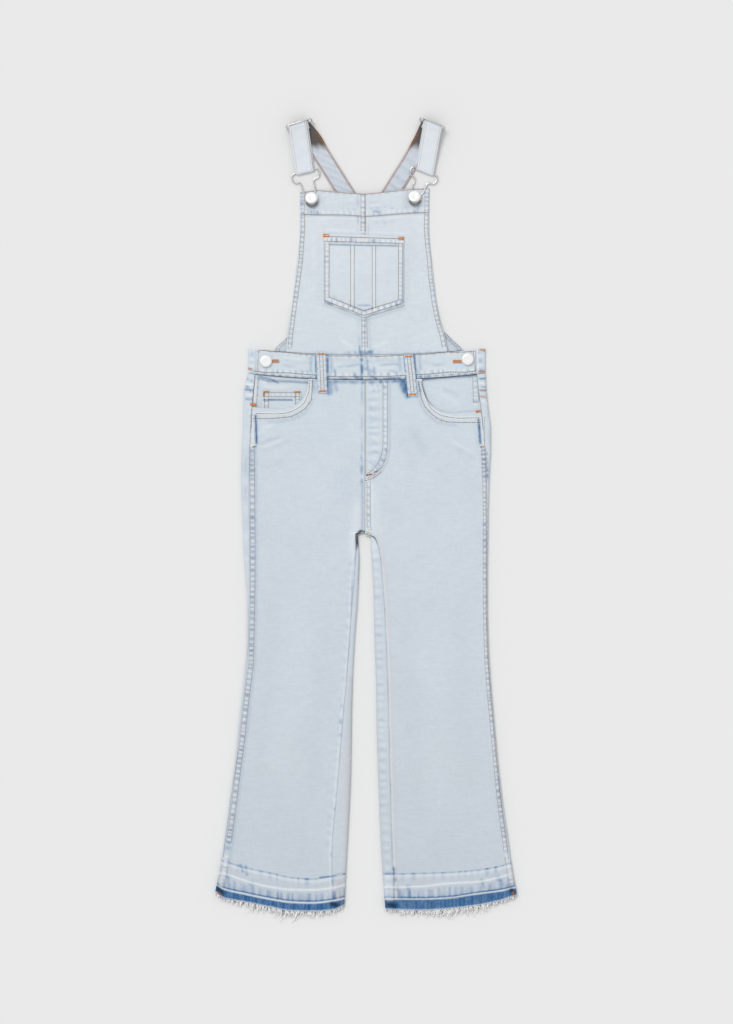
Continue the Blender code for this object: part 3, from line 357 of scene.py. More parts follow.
class Leg:
    """One leg and its hip: where its edges and seams run, and how high its upper face lies."""
    def __init__(self, name, sign, rows, hem, scoop, inner_lift):
        self.name, self.sign = name, sign
        table = np.array(rows, float)[::-1]
        self.rows = dict(zip(FIELDS, table.T))
        self.legs_from = int(np.argmax(self.rows["inner"] == ABOVE))
        self.crotch = float(self.rows["y"][self.legs_from])
        self.hem = np.array(hem, float).T
        self.scoop_x, self.scoop_width, self.scoop_depth = scoop
        self.inner_lift = inner_lift
        self.bottom, self.end_lift = float(self.rows["y"][0]), float(self.rows["lift"][0])
        self.drop_outer = self.rows["y"] + self.rows["lift"]
        self.drop_inner = self.rows["y"] + self.rows["lift"] * inner_lift

    def apart(self, levels, field, y):
        """A field that only the leg below the crotch has."""
        below = smooth(levels[:self.legs_from], self.rows[field][:self.legs_from], y)
        return np.where(y > self.crotch - 0.6, ABOVE, below)

    def at(self, field, y):
        """A field at a row's own level."""
        if field in ("inner", "inseam"):
            return self.apart(self.rows["y"], field, y)
        return smooth(self.rows["y"], self.rows[field], y)

    def outer(self, y):
        return smooth(self.drop_outer, self.rows["outer"], y)

    def inner(self, y):
        return self.apart(self.drop_inner, "inner", y)

    def hem_line(self, line, x):
        """y of a line of the hem: 1 the cut, 2 the white line, 3 the pale fold, 4 the crease."""
        return smooth(self.hem[0], self.hem[line], x)

    def hung(self, levels, x):
        """y of points at |x| on rows at these levels, which droop towards the hem's cut edge."""
        share = self.at("lift", levels) / self.end_lift
        return levels[:, None] + share[:, None] * (self.hem_line(1, x) - self.bottom)

    def height(self, x, y):
        """Height of the upper face at |x| from the centre front."""
        x = np.abs(x)
        from_outer = self.outer(y) - x
        in_hip = ease((y - 20) / 90)
        at_waist = ease((from_outer - SETTLE_FROM) / (SETTLE_TO - SETTLE_FROM))
        settle = mix(ease(from_outer / 50), at_waist, in_hip)
        from_inner = x - self.inner(y)
        puff = smooth(self.rows["y"], self.rows["puff"], y)
        settle = settle * (1 - puff * (1 - ease(from_inner / 50)))
        height = mix(self.at("loft", y), self.at("settled", y), settle)
        edge = np.minimum(from_outer, from_inner)
        roll = np.where((puff > 0) | (from_outer <= from_inner), EDGE_ROLL, EDGE_ROLL / 2)
        steep = np.clip(1 - np.maximum(edge, 0) / roll, 0, 1)
        return height / 2 * (1 + np.sqrt(1 - steep * steep))

    def scoop(self, x, margin=0.0):
        """y of the pocket's curved mouth at |x|."""
        centre = self.scoop_x + self.scoop_width
        share = np.clip((centre - x) / (self.scoop_width + margin), 0.0, 1.0)
        depth = (self.scoop_depth + margin) * (1 - share ** SCOOP_POWER) ** (1 / SCOOP_POWER)
        return waist_line(x) - WAIST_GAP - depth


LEGS = {
    "left": Leg("left", -1, LEFT_ROWS, LEFT_HEM, (73.5, 47.5, 42.3), 0.32),
    "right": Leg("right", 1, RIGHT_ROWS, RIGHT_HEM, (74.1, 46.8, 47.7), 0.08),
}


def band_height(x, y=0.0):
    from_side = 154.0 - np.abs(x)
    return mix(7.5, 5.5, ease((from_side - SETTLE_FROM) / (SETTLE_TO - SETTLE_FROM)))


def bib_edge(x, y):
    table = np.array(BIB_ROWS).T
    return np.where(x < 0, smooth(table[0], table[1], y), smooth(table[0], table[2], y))


def bib_height(x, y):
    upper = mix(BIB_PLATEAU, BIB_PLATEAU_TOP, ease((y - 369.5) / 23.5))
    plateau = np.maximum(upper, mix(upper, 108.0, ease((305 - y) / 60)))
    resting = 1 - ease((np.abs(x) - plateau) / BIB_SLOPE)
    under = mix(0.1, mix(2.0, 3.5, ease((y - 369.5) / 23.5)), resting)
    at_waist = 1 - ease((y - waist_line(x) - BAND_HEIGHT) / 44.0)
    return mix(under + DENIM, band_height(x) - 1.4, at_waist)


def pocket_height(x, y):
    return np.full(np.shape(x), 2.0 + DENIM + SEAM_GAP + 0.1 + FACING_DENIM)


def bearer_height(leg, x, y):
    room = DENIM + SEAM_GAP + LIGHT_DENIM + SEAM_GAP
    return np.maximum(DENIM + SEAM_GAP + FACING_DENIM, leg.height(x, y) - room)


def pocket_bottom(x):
    left = mix(POCKET_TIP_Y, POCKET_CORNER[0], (POCKET_TIP_X - x) / (POCKET_TIP_X - POCKET_LEFT))
    right = mix(POCKET_TIP_Y, POCKET_CORNER[1], (x - POCKET_TIP_X) / (POCKET_RIGHT - POCKET_TIP_X))
    return np.where(x < POCKET_TIP_X, left, right)


def pocket_top(x):
    return mix(*POCKET_TOP, (x - POCKET_LEFT) / (POCKET_RIGHT - POCKET_LEFT))


def streaks(x, beat, seed, sharp=1.0):
    """Uneven upright streaks along a hem, as a strength at each x."""
    wide = ripple(np.abs(x) + 7.0, beat * 2.9, seed + 50)
    return (ripple(np.abs(x) + 7.0, beat, seed) * (0.60 + 0.55 * wide)) ** sharp


def hem_marks(leg):
    """Dyes and relief of the let-down hem, as a function that a Face calls."""
    seed = 31 if leg.sign < 0 else 47

    def lay(x, y, dye, rise):
        cut, white, fold, crease = (leg.hem_line(line, np.abs(x)) for line in (1, 2, 3, 4))
        low = y < crease + 14
        if not low.any():
            return
        x, y, cut, white, fold, crease = (part[low] for part in (x, y, cut, white, fold, crease))
        wander = 1.3 * (streaks(x, 11.0, seed + 5) - 0.4)
        top_streak = streaks(x, 11.5, seed, 2.2)
        low_streak = 0.6 * streaks(x, 12.0, seed + 1, 1.3) + 0.55 * streaks(x, 6.5, seed + 9, 1.5)
        fine_streak = streaks(x, 3.2, seed + 2)
        in_top = ease((crease - y) / 1.5) * (1 - ease((crease - y - 2) / 11))
        in_low = ease((fold - 3 - y) / 3) * ease((y - white - 1) / 2)
        toward_dark = ease((white + 15 + 3 * wander - y) / 14) * (y > white)
        at_crease = np.exp(-((y - crease) / 0.9) ** 2)
        dark = ease((white - 1.2 - y) / 1.1) * ease((y - cut - 0.2 + 1.0) / 2.6)
        upper_dark = np.exp(-((y - white - 2.0 - 0.3 * wander) / 1.0) ** 2)
        blue = (at_crease * (0.22 + 1.0 * top_streak + 0.25 * fine_streak)
                + in_top * (0.50 * top_streak + 0.04 * fine_streak)
                + in_low * (0.05 + 0.60 * low_streak + 0.06 * fine_streak)
                + toward_dark * (0.20 + 0.25 * top_streak)
                + dark * (0.79 + 0.13 * streaks(x, 15.0, seed + 7) + 0.16 * streaks(x, 4.4, seed + 8))
                + upper_dark * (0.70 + 0.3 * low_streak))
        at_white = np.exp(-((y - white) / 0.55) ** 2)
        at_fold = np.exp(-((y - fold) / 1.5) ** 2)
        pale = (at_white * 0.58 + at_fold * (0.48 + 0.35 * fine_streak)
                + in_top * 0.12 * (1 - top_streak) + in_low * 0.26 * (1 - low_streak)
                + np.exp(-((y - crease + 3.2) / 1.8) ** 2) * 0.26
                + np.exp(-((y - cut - 0.7 - 0.5 * fine_streak) / 1.0) ** 2) * (0.25 + 0.45 * fine_streak))
        grey = ease((crease - y) / 8) * 0.035 + 0.035 * in_low + 0.05 * dark * streaks(x, 5.2, seed + 3)
        blue = np.clip(blue, 0, 1) * (1 - 0.95 * at_white)
        dye[low, 0] = 1 - (1 - dye[low, 0]) * (1 - blue)
        dye[low, 1] = 1 - (1 - dye[low, 1]) * (1 - np.clip(pale, 0, 0.95))
        dye[low, 3] = 1 - (1 - dye[low, 3]) * (1 - grey)
        rise[low] += (-0.45 * at_crease * (0.6 + 0.6 * top_streak) + 0.45 * at_fold + 0.55 * at_white
                      - 0.35 * upper_dark + 0.22 * (0.5 - low_streak) * in_low
                      + 0.25 * (0.5 - top_streak) * in_top + 0.15 * dark * (fine_streak - 0.5))

    return lay


def beside(path, offset):
    """A plan path moved sideways by an offset."""
    path = np.asarray(path, float)
    way = np.gradient(path, axis=0)
    way /= np.hypot(way[:, 0], way[:, 1])[:, None]
    return path + np.stack([way[:, 1], -way[:, 0]], axis=-1) * offset


def line(width, *squares, **look):
    """A mark along squares of the pattern drawing, or a spot at one of them."""
    return Mark(drawn(*squares), width, **look)


def moved(path, right=0.0, up=0.0):
    """A plan path moved as a whole."""
    return [(x + right, y + up) for x, y in path]


OUTSEAM = {
    "left": drawn((252.2, 447), (252.4, 480), (252.8, 540), (252.8, 575), (252.4, 615), (251.2, 664),
                  (247.8, 690),
                  (245, 715), (242.4, 740), (238.9, 765), (235.8, 790), (232.6, 815), (229, 842),
                  (223.6, 870),
                  (220, 886)),
    "right": drawn((483.8, 447), (484.8, 480), (485.4, 520), (485.2, 560), (485.3, 600), (486.1, 640),
                   (487.0, 664),
                   (489.0, 690), (492.0, 722), (494.6, 750), (498.1, 789), (501.9, 820), (506.0, 851),
                   (509.0, 873), (511, 889)),
}
INSEAM = {
    "left": drawn((357.5, 540), (352.5, 580), (351, 620), (350, 640), (347, 679), (343, 719), (339.3, 764),
                  (335.6, 809), (331.8, 851), (332.3, 873), (332.5, 898)),
    "right": drawn((373, 538), (379.6, 550), (381, 568), (383.5, 591), (384.4, 609), (387, 664),
                   (389.5, 764),
                   (392, 851), (393.2, 873), (394, 898)),
}
SCOOP_INNER = {
    "left": drawn((310, 380), (309, 392), (305, 402), (300, 407), (293, 411), (285, 413.3), (275, 414),
                  (255, 413.5)),
    "right": drawn((421, 381), (423, 390), (426.5, 400), (430, 407.5), (435, 412), (441, 415.5), (448, 417),
                   (458, 418.3), (480, 417.8)),
}
SCOOP_OUTER = {
    "left": drawn((312.8, 380), (311.5, 400), (305, 409), (298, 413.5), (290, 416.8), (280, 418),
                  (265, 418.8), (252, 418.3)),
    "right": drawn((418.5, 381), (420.5, 395), (422, 400), (425, 407), (430, 412.5), (435, 417), (440, 420),
                   (448, 422), (460, 422.5), (481, 422.5)),
}
FLY_CURVE = drawn((387.5, 382), (387.5, 445), (386, 457), (382, 467), (375, 474), (367, 478.5))
FLY_INNER = drawn((383, 382), (383, 445), (381.6, 455), (378, 463.5), (372, 470.5), (366, 474.8))

OUTSEAM_MARKS = {
    "left": [
        # Puckers: unfaded indigo in the troughs, bleached crests, and a little painted shade in the troughs.
        Mark(OUTSEAM["left"][:-2], 2.7, blue=0.38, pale=0.44, shade=0.03, rise=0.32, beat=6.4, sharp=0.8,
             hard=True),
        Mark(OUTSEAM["left"][:-2], 2.4, blue=0.4, shade=0.04, beat=3.7, sharp=2.0),
        Mark(OUTSEAM["left"][:-2], 2.4, blue=0.55, shade=0.1, beat=17.0, sharp=2.5),
        Mark(beside(OUTSEAM["left"], -5.2), 1.8, blue=0.14),
        line(3.6, (252, 450), (252.4, 474), blue=0.7, beat=6.0),
        line(3, (252.6, 515), (252.7, 556), blue=0.4, beat=9.0),
        line(3.2, (231, 826), (227, 850), blue=0.45, beat=9.0),
        line(3.2, (246, 455), (245.5, 490), blue=0.16, beat=30.0),
        line(1.5, (246, 378), (255, 383), blue=0.7, rise=-0.3, beat=7.0),
        line(1.3, (244, 384), (254, 385), pale=0.8, rise=0.3),
        line(1.7, (244, 389), (254, 391), blue=0.75, rise=-0.3, beat=9.0),
        line(1.2, (247, 394), (256, 395), pale=0.8, rise=0.3),
        line(1.3, (246, 399), (255, 400), blue=0.45),
        line(3, (251, 408), (251, 447), blue=0.3, pale=0.5, rise=0.3, beat=6.0),
    ],
    "right": [
        # Puckers: unfaded indigo in the troughs, bleached crests, and a little painted shade in the troughs.
        Mark(OUTSEAM["right"][:-2], 2.6, blue=0.22, pale=0.46, shade=0.03, tan=0.04, rise=0.32, beat=6.2,
             sharp=0.8, hard=True),
        Mark(OUTSEAM["right"][:-2], 2.2, blue=0.28, shade=0.07, beat=3.9, sharp=2.0),
        Mark(OUTSEAM["right"][:-2], 2.4, blue=0.4, shade=0.08, beat=19.0, sharp=2.5),
        line(3.4, (483.2, 449), (485.2, 478), blue=0.95, shade=0.1, beat=5.6),
        line(1.2, (480, 379), (486, 378.4), blue=0.7, rise=-0.3),
        line(1.2, (480, 383), (487, 384), pale=0.7, rise=0.3),
        line(1.1, (480, 390.6), (487, 390.2), tan=0.6, shade=0.2),
        line(1.1, (481, 396.6), (487.6, 396), tan=0.6, shade=0.2),
        line(1.1, (481, 387), (487, 387), blue=0.5),
        line(1.1, (481, 400), (487, 403), pale=0.7),
        line(1.6, (486.8, 452), (487.4, 480), blue=0.75, beat=7.0),
        line(3, (485.3, 520), (485.2, 552), blue=0.5, beat=9.0),
        line(3, (496.5, 775), (503.5, 835), blue=0.45, beat=10.0),
    ],
}
LEG_MARKS = {
    "left": [
        line(2.3, (355, 556), (352, 590), (347.5, 640), (343.6, 680), (341, 722), (339, 752), (337, 787),
             (334.6, 815), (332, 841), (332, 866), blue=0.85, pale=0.05, rise=0.35, beat=18.5, sharp=4.5),
        line(4.5, (352, 560), (349, 600), (345.5, 660), (341, 715), (334, 780), (327, 850), pale=0.1,
             blue=0.1, beat=13.0),
        # Painted shade in the inseam's ditch.
        Mark([(x - 0.3, y) for x, y in INSEAM["left"] if y > -240], 1.0, blue=0.42, shade=0.1, rise=-0.2,
             beat=60.0),
        Mark([(x - 0.3, y) for x, y in INSEAM["left"] if y < -200], 1.0, pale=0.25, shade=0.03, rise=-0.2,
             beat=30.0),
        Mark(moved(INSEAM["left"], -2.6), 1.2, pale=0.28, rise=0.2),
        # Painted shade on the rolled inner edge beyond the inseam, a little warm.
        Mark(moved(INSEAM["left"], 12), 7.0, tan=0.05, shade=0.03),
        # Painted shade in the side slit.
        line(1.3, (255.8, 416), (256.6, 443), blue=0.85, shade=0.35, rise=-0.8),
        line(5, (255.8, 416), (256.6, 443), blue=0.12),
        line(1.6, (253, 418), (253.4, 444), pale=0.4, rise=0.3),
        # Creases at the hip: painted shade in the hollows, bleached ridges between.
        line(2.2, (258, 445), (268, 441), (283, 436), shade=0.1, blue=0.05, rise=-0.45, fade=8.0),
        line(2.6, (258, 452), (272, 449), (292, 440), shade=0.07, rise=-0.35, fade=10.0),
        line(2.4, (257, 449), (270, 445), (286, 439), pale=0.22, rise=0.35, fade=8.0),
        line(3, (258, 470), (272, 466), (290, 457), shade=0.06, rise=-0.3, fade=10.0),
        line(2.6, (257, 437), (264, 428), (276, 424), pale=0.25, rise=0.3, fade=6.0),
        Mark(SCOOP_INNER["left"], 1.7, pale=0.75, rise=0.3),
        Mark(SCOOP_OUTER["left"], 2.2, pale=0.35, blue=0.42, rise=0.15, beat=7.0, sharp=1.8),
        # Painted shade beside the pocket mouth's edge.
        line(2.4, (313.5, 392), (312, 402), (306, 412), (298, 417), (288, 420.5), (270, 422), blue=0.12,
             shade=0.04, rise=-0.15),
        # Painted shade in the ditches of the centre seam.
        line(2, (362.2, 381), (362, 420), (362, 480), blue=0.3, shade=0.1, rise=-0.25, beat=30.0),
        line(1.8, (361.5, 452), (361.5, 488), blue=0.5, beat=18.0),
        line(1.5, (362.5, 480), (362.3, 530), blue=0.18, shade=0.14, rise=-0.2),
        line(6, (357, 495), (356.5, 515), (355, 532), (351, 560), pale=0.3, rise=0.25, fade=20.0),
        # Painted shadow: a near-black line round the crotch point.
        line(1.9, (356.6, 549), (356.4, 541), (358, 533.5), (360.5, 531), (363, 532), (365, 533.5),
             shade=0.95, blue=0.3, rise=-0.4),
        line(1.4, (350, 534), (356, 533), pale=0.4, rise=0.3),
        # Below the waistband: unfaded indigo, with painted shade under its edge.
        line(2, (318, 381), (345, 382), (363, 383), blue=0.75, shade=0.15, beat=13.0),
        line(3, (312, 380), (330, 380.8), (363, 381.5), blue=0.22, shade=0.06, rise=-0.2),
        line(2.6, (313.5, 383), (314.5, 390), blue=0.45),
        line(2.8, (328.4, 383), (329.4, 393), blue=0.85),
        line(2.6, (334, 382), (336, 390), blue=0.35),
        line(14, (345, 455), (344, 520), blue=0.035, fade=30.0),
        # Long soft folds down the leg: a bleached ridge, with painted shade in the troughs.
        line(26, (300, 600), (290, 690), (280, 800), pale=0.05, rise=0.5, fade=60.0),
        line(12, (272, 560), (270, 700), (256, 820), shade=0.02, rise=-0.35, fade=60.0),
        line(13, (325, 590), (322, 700), (308, 830), shade=0.02, rise=-0.35, fade=60.0),
    ],
    "right": [
        # Painted shade in the inseam's ditch.
        Mark(moved(INSEAM["right"], 0.3), 0.9, blue=0.36, shade=0.16, rise=-0.2, beat=60.0),
        Mark(moved(INSEAM["right"][2:], 2.6), 1.2, pale=0.28, rise=0.2),
        Mark(moved(INSEAM["right"], 4.5), 4.0, tan=0.09, pale=0.1),
        Mark(moved(INSEAM["right"][2:], -6.5), 3.6, blue=0.3, pale=0.12, shade=0.04,
             rise=0.4, beat=11.0, sharp=2.6),
        line(3.6, (376, 545), (378.5, 570), (380, 600), pale=0.3, blue=0.2, beat=16.0),
        # Painted shade in the side slit.
        line(1.3, (478.6, 419), (480.3, 443), blue=0.85, shade=0.35, rise=-0.8),
        line(5, (478.6, 419), (480.3, 443), blue=0.12),
        line(1.6, (481.8, 420), (483.2, 444), pale=0.4, rise=0.3),
        # Creases at the hip: painted shade in the hollows, a bleached ridge between.
        line(2.6, (477, 462), (468, 455), (452, 447), shade=0.07, rise=-0.35, fade=10.0),
        line(2.6, (478, 455), (466, 449), (450, 440), pale=0.15, rise=0.3, fade=10.0),
        line(7, (405, 425), (418, 440), (430, 460), shade=0.05, blue=0.04, rise=-0.4, fade=22.0),
        line(7, (395, 430), (410, 455), (418, 480), shade=0.03, rise=-0.3, fade=22.0),
        Mark(SCOOP_INNER["right"], 1.7, pale=0.75, rise=0.3),
        Mark(SCOOP_OUTER["right"], 2.2, pale=0.35, blue=0.42, rise=0.15, beat=7.0, sharp=1.8),
        # Painted shade beside the pocket mouth's edge.
        line(2.4, (418.5, 392), (421, 405), (428, 415), (438, 423), (455, 425.5), blue=0.12, shade=0.04,
             rise=-0.15),
        line(1.5, (365, 382), (365, 470), pale=0.35, rise=0.25),
        line(7.5, (374, 388), (374.5, 462), blue=0.22, pale=0.3, rise=0.25, beat=11.0),
        line(3, (371, 392), (371, 452), blue=0.16, beat=8.0, sharp=2.0),
        line(1.7, (369, 385), (383, 386), blue=0.42, beat=6.0),
        line(1.4, (370, 390), (381, 390.5), blue=0.3, pale=0.3, beat=6.0),
        line(3.4, (370, 465), (375, 459), (376, 453), blue=0.34, pale=0.4, beat=6.0),
        line(2.4, (378, 462), (381, 455), blue=0.34, beat=5.0),
        line(2, (385.2, 384), (385.2, 447), (383.6, 457), (379, 466), (372, 473), blue=0.5, pale=0.4,
             rise=0.2, beat=6.5, sharp=1.5),
        line(3, (386, 447), (384.5, 457), (379.5, 467), (371, 475), blue=0.5, beat=12.0),
        # Painted shade in the ditch beside the fly.
        line(1.4, (389.8, 384), (389.8, 448), (387.8, 460), (383, 470), (374, 478), shade=0.1, blue=0.08,
             rise=-0.25),
        line(1.8, (366, 484), (365.6, 530), pale=0.45, rise=0.45),
        line(1.7, (368.5, 484), (368.5, 528), blue=0.6, pale=0.4, rise=0.15, beat=8.0, sharp=1.6),
        line(2, (371.5, 484), (372, 530), pale=0.28, rise=0.2),
        line(6, (374, 480), (376, 520), (380, 540), pale=0.16, rise=0.2, fade=14.0),
        # Painted shadow: a near-black line at the crotch.
        line(1.6, (365, 535), (369, 536.6), (373, 538), shade=0.85, blue=0.3, rise=-0.4),
        line(1.1, (363, 532.6), (371, 535.4), pale=0.75, rise=0.4),
        # Below the waistband: unfaded indigo, with painted shade under its edge.
        line(3, (364, 381.3), (385, 381), (403, 380), blue=0.26, shade=0.08, rise=-0.2),
        line(2, (366, 383), (388, 381.5), (405, 380.5), blue=0.75, shade=0.15, beat=13.0),
        line(3, (405, 382), (407.5, 396), blue=0.95),
        line(3.2, (400.5, 381), (404, 391), blue=0.7),
        line(2.4, (419, 383), (420.5, 392), blue=0.55),
        # Long soft folds down the leg: a bleached ridge, with painted shade in the troughs.
        line(26, (428, 620), (436, 700), (446, 800), pale=0.04, rise=0.5, fade=60.0),
        line(13, (405, 590), (410, 700), (420, 830), shade=0.025, rise=-0.35, fade=60.0),
        line(12, (462, 560), (464, 700), (474, 820), shade=0.02, rise=-0.35, fade=60.0),
    ],
}
HEM_MARKS = {
    "left": [
        # Near-black spots where the seams end at the cut edge, and a brown tack dot.
        line(3.4, (217, 887), (221.5, 892), blue=0.7, shade=0.85),
        line(2, (219, 893.4), tan=0.9, shade=0.25, rise=0.4),
        line(3.6, (332.5, 904), (337, 905), blue=0.8, shade=0.75),
        line(2.6, (228, 875), (228.5, 888), blue=0.5),
        line(1.8, (240.5, 865), (243, 871), blue=0.55),
        line(1.8, (246, 866), (247, 874), blue=0.45),
        line(3, (251.5, 883), (252, 893), blue=0.35),
        # Painted shade in the ditches of the hem's crease and inseam.
        line(1.1, (320, 877.3), (332, 876), (344, 873.8), blue=0.6, shade=0.2, rise=-0.3),
        line(0.9, (332.5, 873), (332.8, 899), shade=0.35, blue=0.25, rise=-0.3),
        line(2.8, (226.4, 857), (224.2, 870), (221.4, 885), pale=0.55, tan=0.06, rise=0.35, beat=6.0,
             sharp=0.7),
        line(2.6, (226.4, 860), (221.6, 884), blue=0.5, beat=8.0, sharp=2.0),
        # Painted shade along both sides of the raised seam.
        line(0.8, (223, 860), (218.4, 885), shade=0.3, tan=0.14, rise=-0.2),
        line(0.8, (229, 860), (224.6, 886), shade=0.3, tan=0.14, rise=-0.2),
        line(6, (338.5, 880), (339, 897), shade=0.05, tan=0.05),
    ],
    "right": [
        # Near-black spots where the seams end at the cut edge, and a brown tack dot.
        line(4, (389, 904), (394, 905.5), blue=0.8, shade=0.8),
        line(2.8, (511, 889), (514, 894), blue=0.7, shade=0.85),
        line(1.6, (513, 892.6), tan=0.9, shade=0.2, rise=0.4),
        # Painted shade in the ditch of the hem's crease.
        line(1.1, (383, 873.7), (393, 873.7), blue=0.75, shade=0.25, rise=-0.3),
        line(2, (393.8, 868), (395.5, 880), blue=0.75),
        line(3, (397, 888), (401, 897), blue=0.5),
        line(3.2, (408, 887), (409, 896), blue=0.45),
        line(2.4, (482, 880), (483, 886), blue=0.4),
        line(3.6, (498, 878), (506, 888), blue=0.4),
        line(2.6, (507, 856), (509.4, 871), (511.6, 884), pale=0.5, tan=0.06, rise=0.35, beat=6.4,
             sharp=0.7),
        line(2.4, (507.6, 860), (511.2, 883), blue=0.45, beat=9.0, sharp=2.0),
        # Painted shade along both sides of the raised seam and in the inseam's ditch.
        line(0.8, (504.8, 857), (509, 885), shade=0.3, tan=0.14, rise=-0.2),
        line(0.8, (510.2, 858), (514.2, 884), shade=0.28, tan=0.12, rise=-0.2),
        line(0.9, (394, 868), (394, 899), shade=0.35, blue=0.25, rise=-0.3),
        line(5, (387.5, 880), (388.5, 897), pale=0.25),
        line(1, (395, 900), (440, 899.5), (480, 894.5), (500, 892), blue=0.5, shade=0.2),
    ],
}
BIB_MARKS = [
    line(2.4, (302.6, 192), (302.6, 230), (301.3, 245), (300.3, 260), (298.3, 275), (296.3, 290),
         (294.3, 305), (292.3, 320), (290.4, 335), (289.4, 348), blue=0.5, pale=0.28, rise=0.22, beat=5.4,
         sharp=1.2, hard=True),
    line(2.4, (427, 192), (427, 230), (427.8, 245), (429.5, 260), (430.6, 275), (432.6, 290), (434.6, 305),
         (437.6, 320), (442, 335), (444.6, 348), blue=0.5, pale=0.28, rise=0.22, beat=5.4, sharp=1.2,
         hard=True),
    # Painted shade in the ditch under the top hem's stitches.
    line(1.3, (300, 215.6), (325, 215.4), (357, 216.4), (375, 216.4), (400, 214.4), (430, 213), shade=0.12,
         blue=0.1, rise=-0.3),
    line(2, (300, 212.6), (325, 212.6), (357, 213.6), (375, 213.6), (400, 211.6), (430, 210), pale=0.45,
         blue=0.42, rise=0.25, beat=6.0, sharp=1.8),
    line(1.6, (300, 218.5), (325, 218.3), (357, 219.4), (375, 219.4), (400, 217.4), (430, 216), pale=0.2,
         rise=0.2),
    line(2.8, (363.2, 193), (363.6, 250), (364.6, 348), pale=0.34, blue=0.66, rise=0.28, beat=6.4,
         sharp=1.5, hard=True),
    line(1.7, (357.6, 194), (357.8, 214), (358.4, 232), blue=0.42, beat=22.0),
    line(1.7, (358.5, 318), (359, 335), (359.4, 348), blue=0.3, beat=22.0),
    # Painted shade in the ditch beside the centre seam.
    line(1.4, (368.4, 226), (369, 318), (369.8, 348), shade=0.06, blue=0.08, rise=-0.2),
    line(3, (302, 203), blue=0.34),
    line(2.2, (311, 212), (318, 213), blue=0.4),
    line(2.2, (375, 211.5), (381, 213), blue=0.45),
    line(2.4, (415, 212), (418, 209), blue=0.42),
    # Small creases: painted shade in the hollows, bleached ridges.
    line(1.6, (368, 203.5), (380, 202.5), shade=0.1, rise=-0.3, fade=4.0),
    line(1.6, (368, 206), (381, 205), pale=0.25, rise=0.25, fade=4.0),
    line(1.6, (345, 203), (355, 204), shade=0.08, rise=-0.25, fade=4.0),
    line(1.8, (322, 202), (340, 203.5), pale=0.15, rise=0.2, fade=5.0),
    line(1.7, (366, 303), (366, 318), blue=0.2),
    line(2, (315, 353.6), (340, 354.2), (364, 354.6), (400, 354), (440, 352.6), blue=0.3, rise=-0.2,
         beat=17.0),
    line(2.2, (343, 352.4), (352, 353.4), (360, 352), (372, 352.4), (384, 353), blue=0.42, fade=9.0,
         beat=11.0),
    line(2.6, (358, 353), (375, 352.6), blue=0.34, fade=4.0),
    line(1.4, (359.4, 346), (360.4, 354), blue=0.5),
    line(1.5, (366, 353.6), (372, 350.6), blue=0.45),
    line(2, (342, 341), (352, 347), pale=0.35, rise=0.3),
    line(2, (388, 342), (376, 347), pale=0.3, rise=0.3),
    Mark(moved(BIB_TOP, up=-0.5), 0.8, shade=0.26, tan=0.35, rise=-0.2),
    Mark(moved(BIB_TOP, up=-2.4), 1.2, pale=0.3, blue=0.3, beat=9.0),
    line(13, (300, 203), (364, 204), (430, 203), blue=0.035, shade=0.012),
    line(1.6, (369, 209), (384, 207), (398, 209), blue=0.26, beat=9.0),
    line(1.8, (368, 222), (384, 223), (396, 221), blue=0.16, fade=5.0, beat=9.0),
    line(1.8, (340, 209), (357, 210), blue=0.22, beat=8.0),
    line(2, (304, 210), (330, 209), blue=0.14, beat=10.0),
    line(2, (400, 208), (426, 206), blue=0.16, beat=10.0),
    # Painted shade in soft troughs.
    line(3, (318, 240), (319.5, 300), shade=0.035, rise=-0.15),
    line(3.4, (409, 240), (407, 303), shade=0.05, rise=-0.15),
    # Painted shadow on the bib along the pocket's lower edges.
    line(2.2, (323, 305), (364, 321), (404, 308), shade=0.08, blue=0.05, rise=-0.1),
    line(1.5, (326, 230), (364, 231.6), (402, 234), pale=0.25, rise=0.1),
    line(5, (312, 330), (336, 334), (352, 344), pale=0.06, rise=0.35, fade=14.0),
    line(5, (420, 330), (396, 334), (378, 343), pale=0.05, rise=0.35, fade=14.0),
]
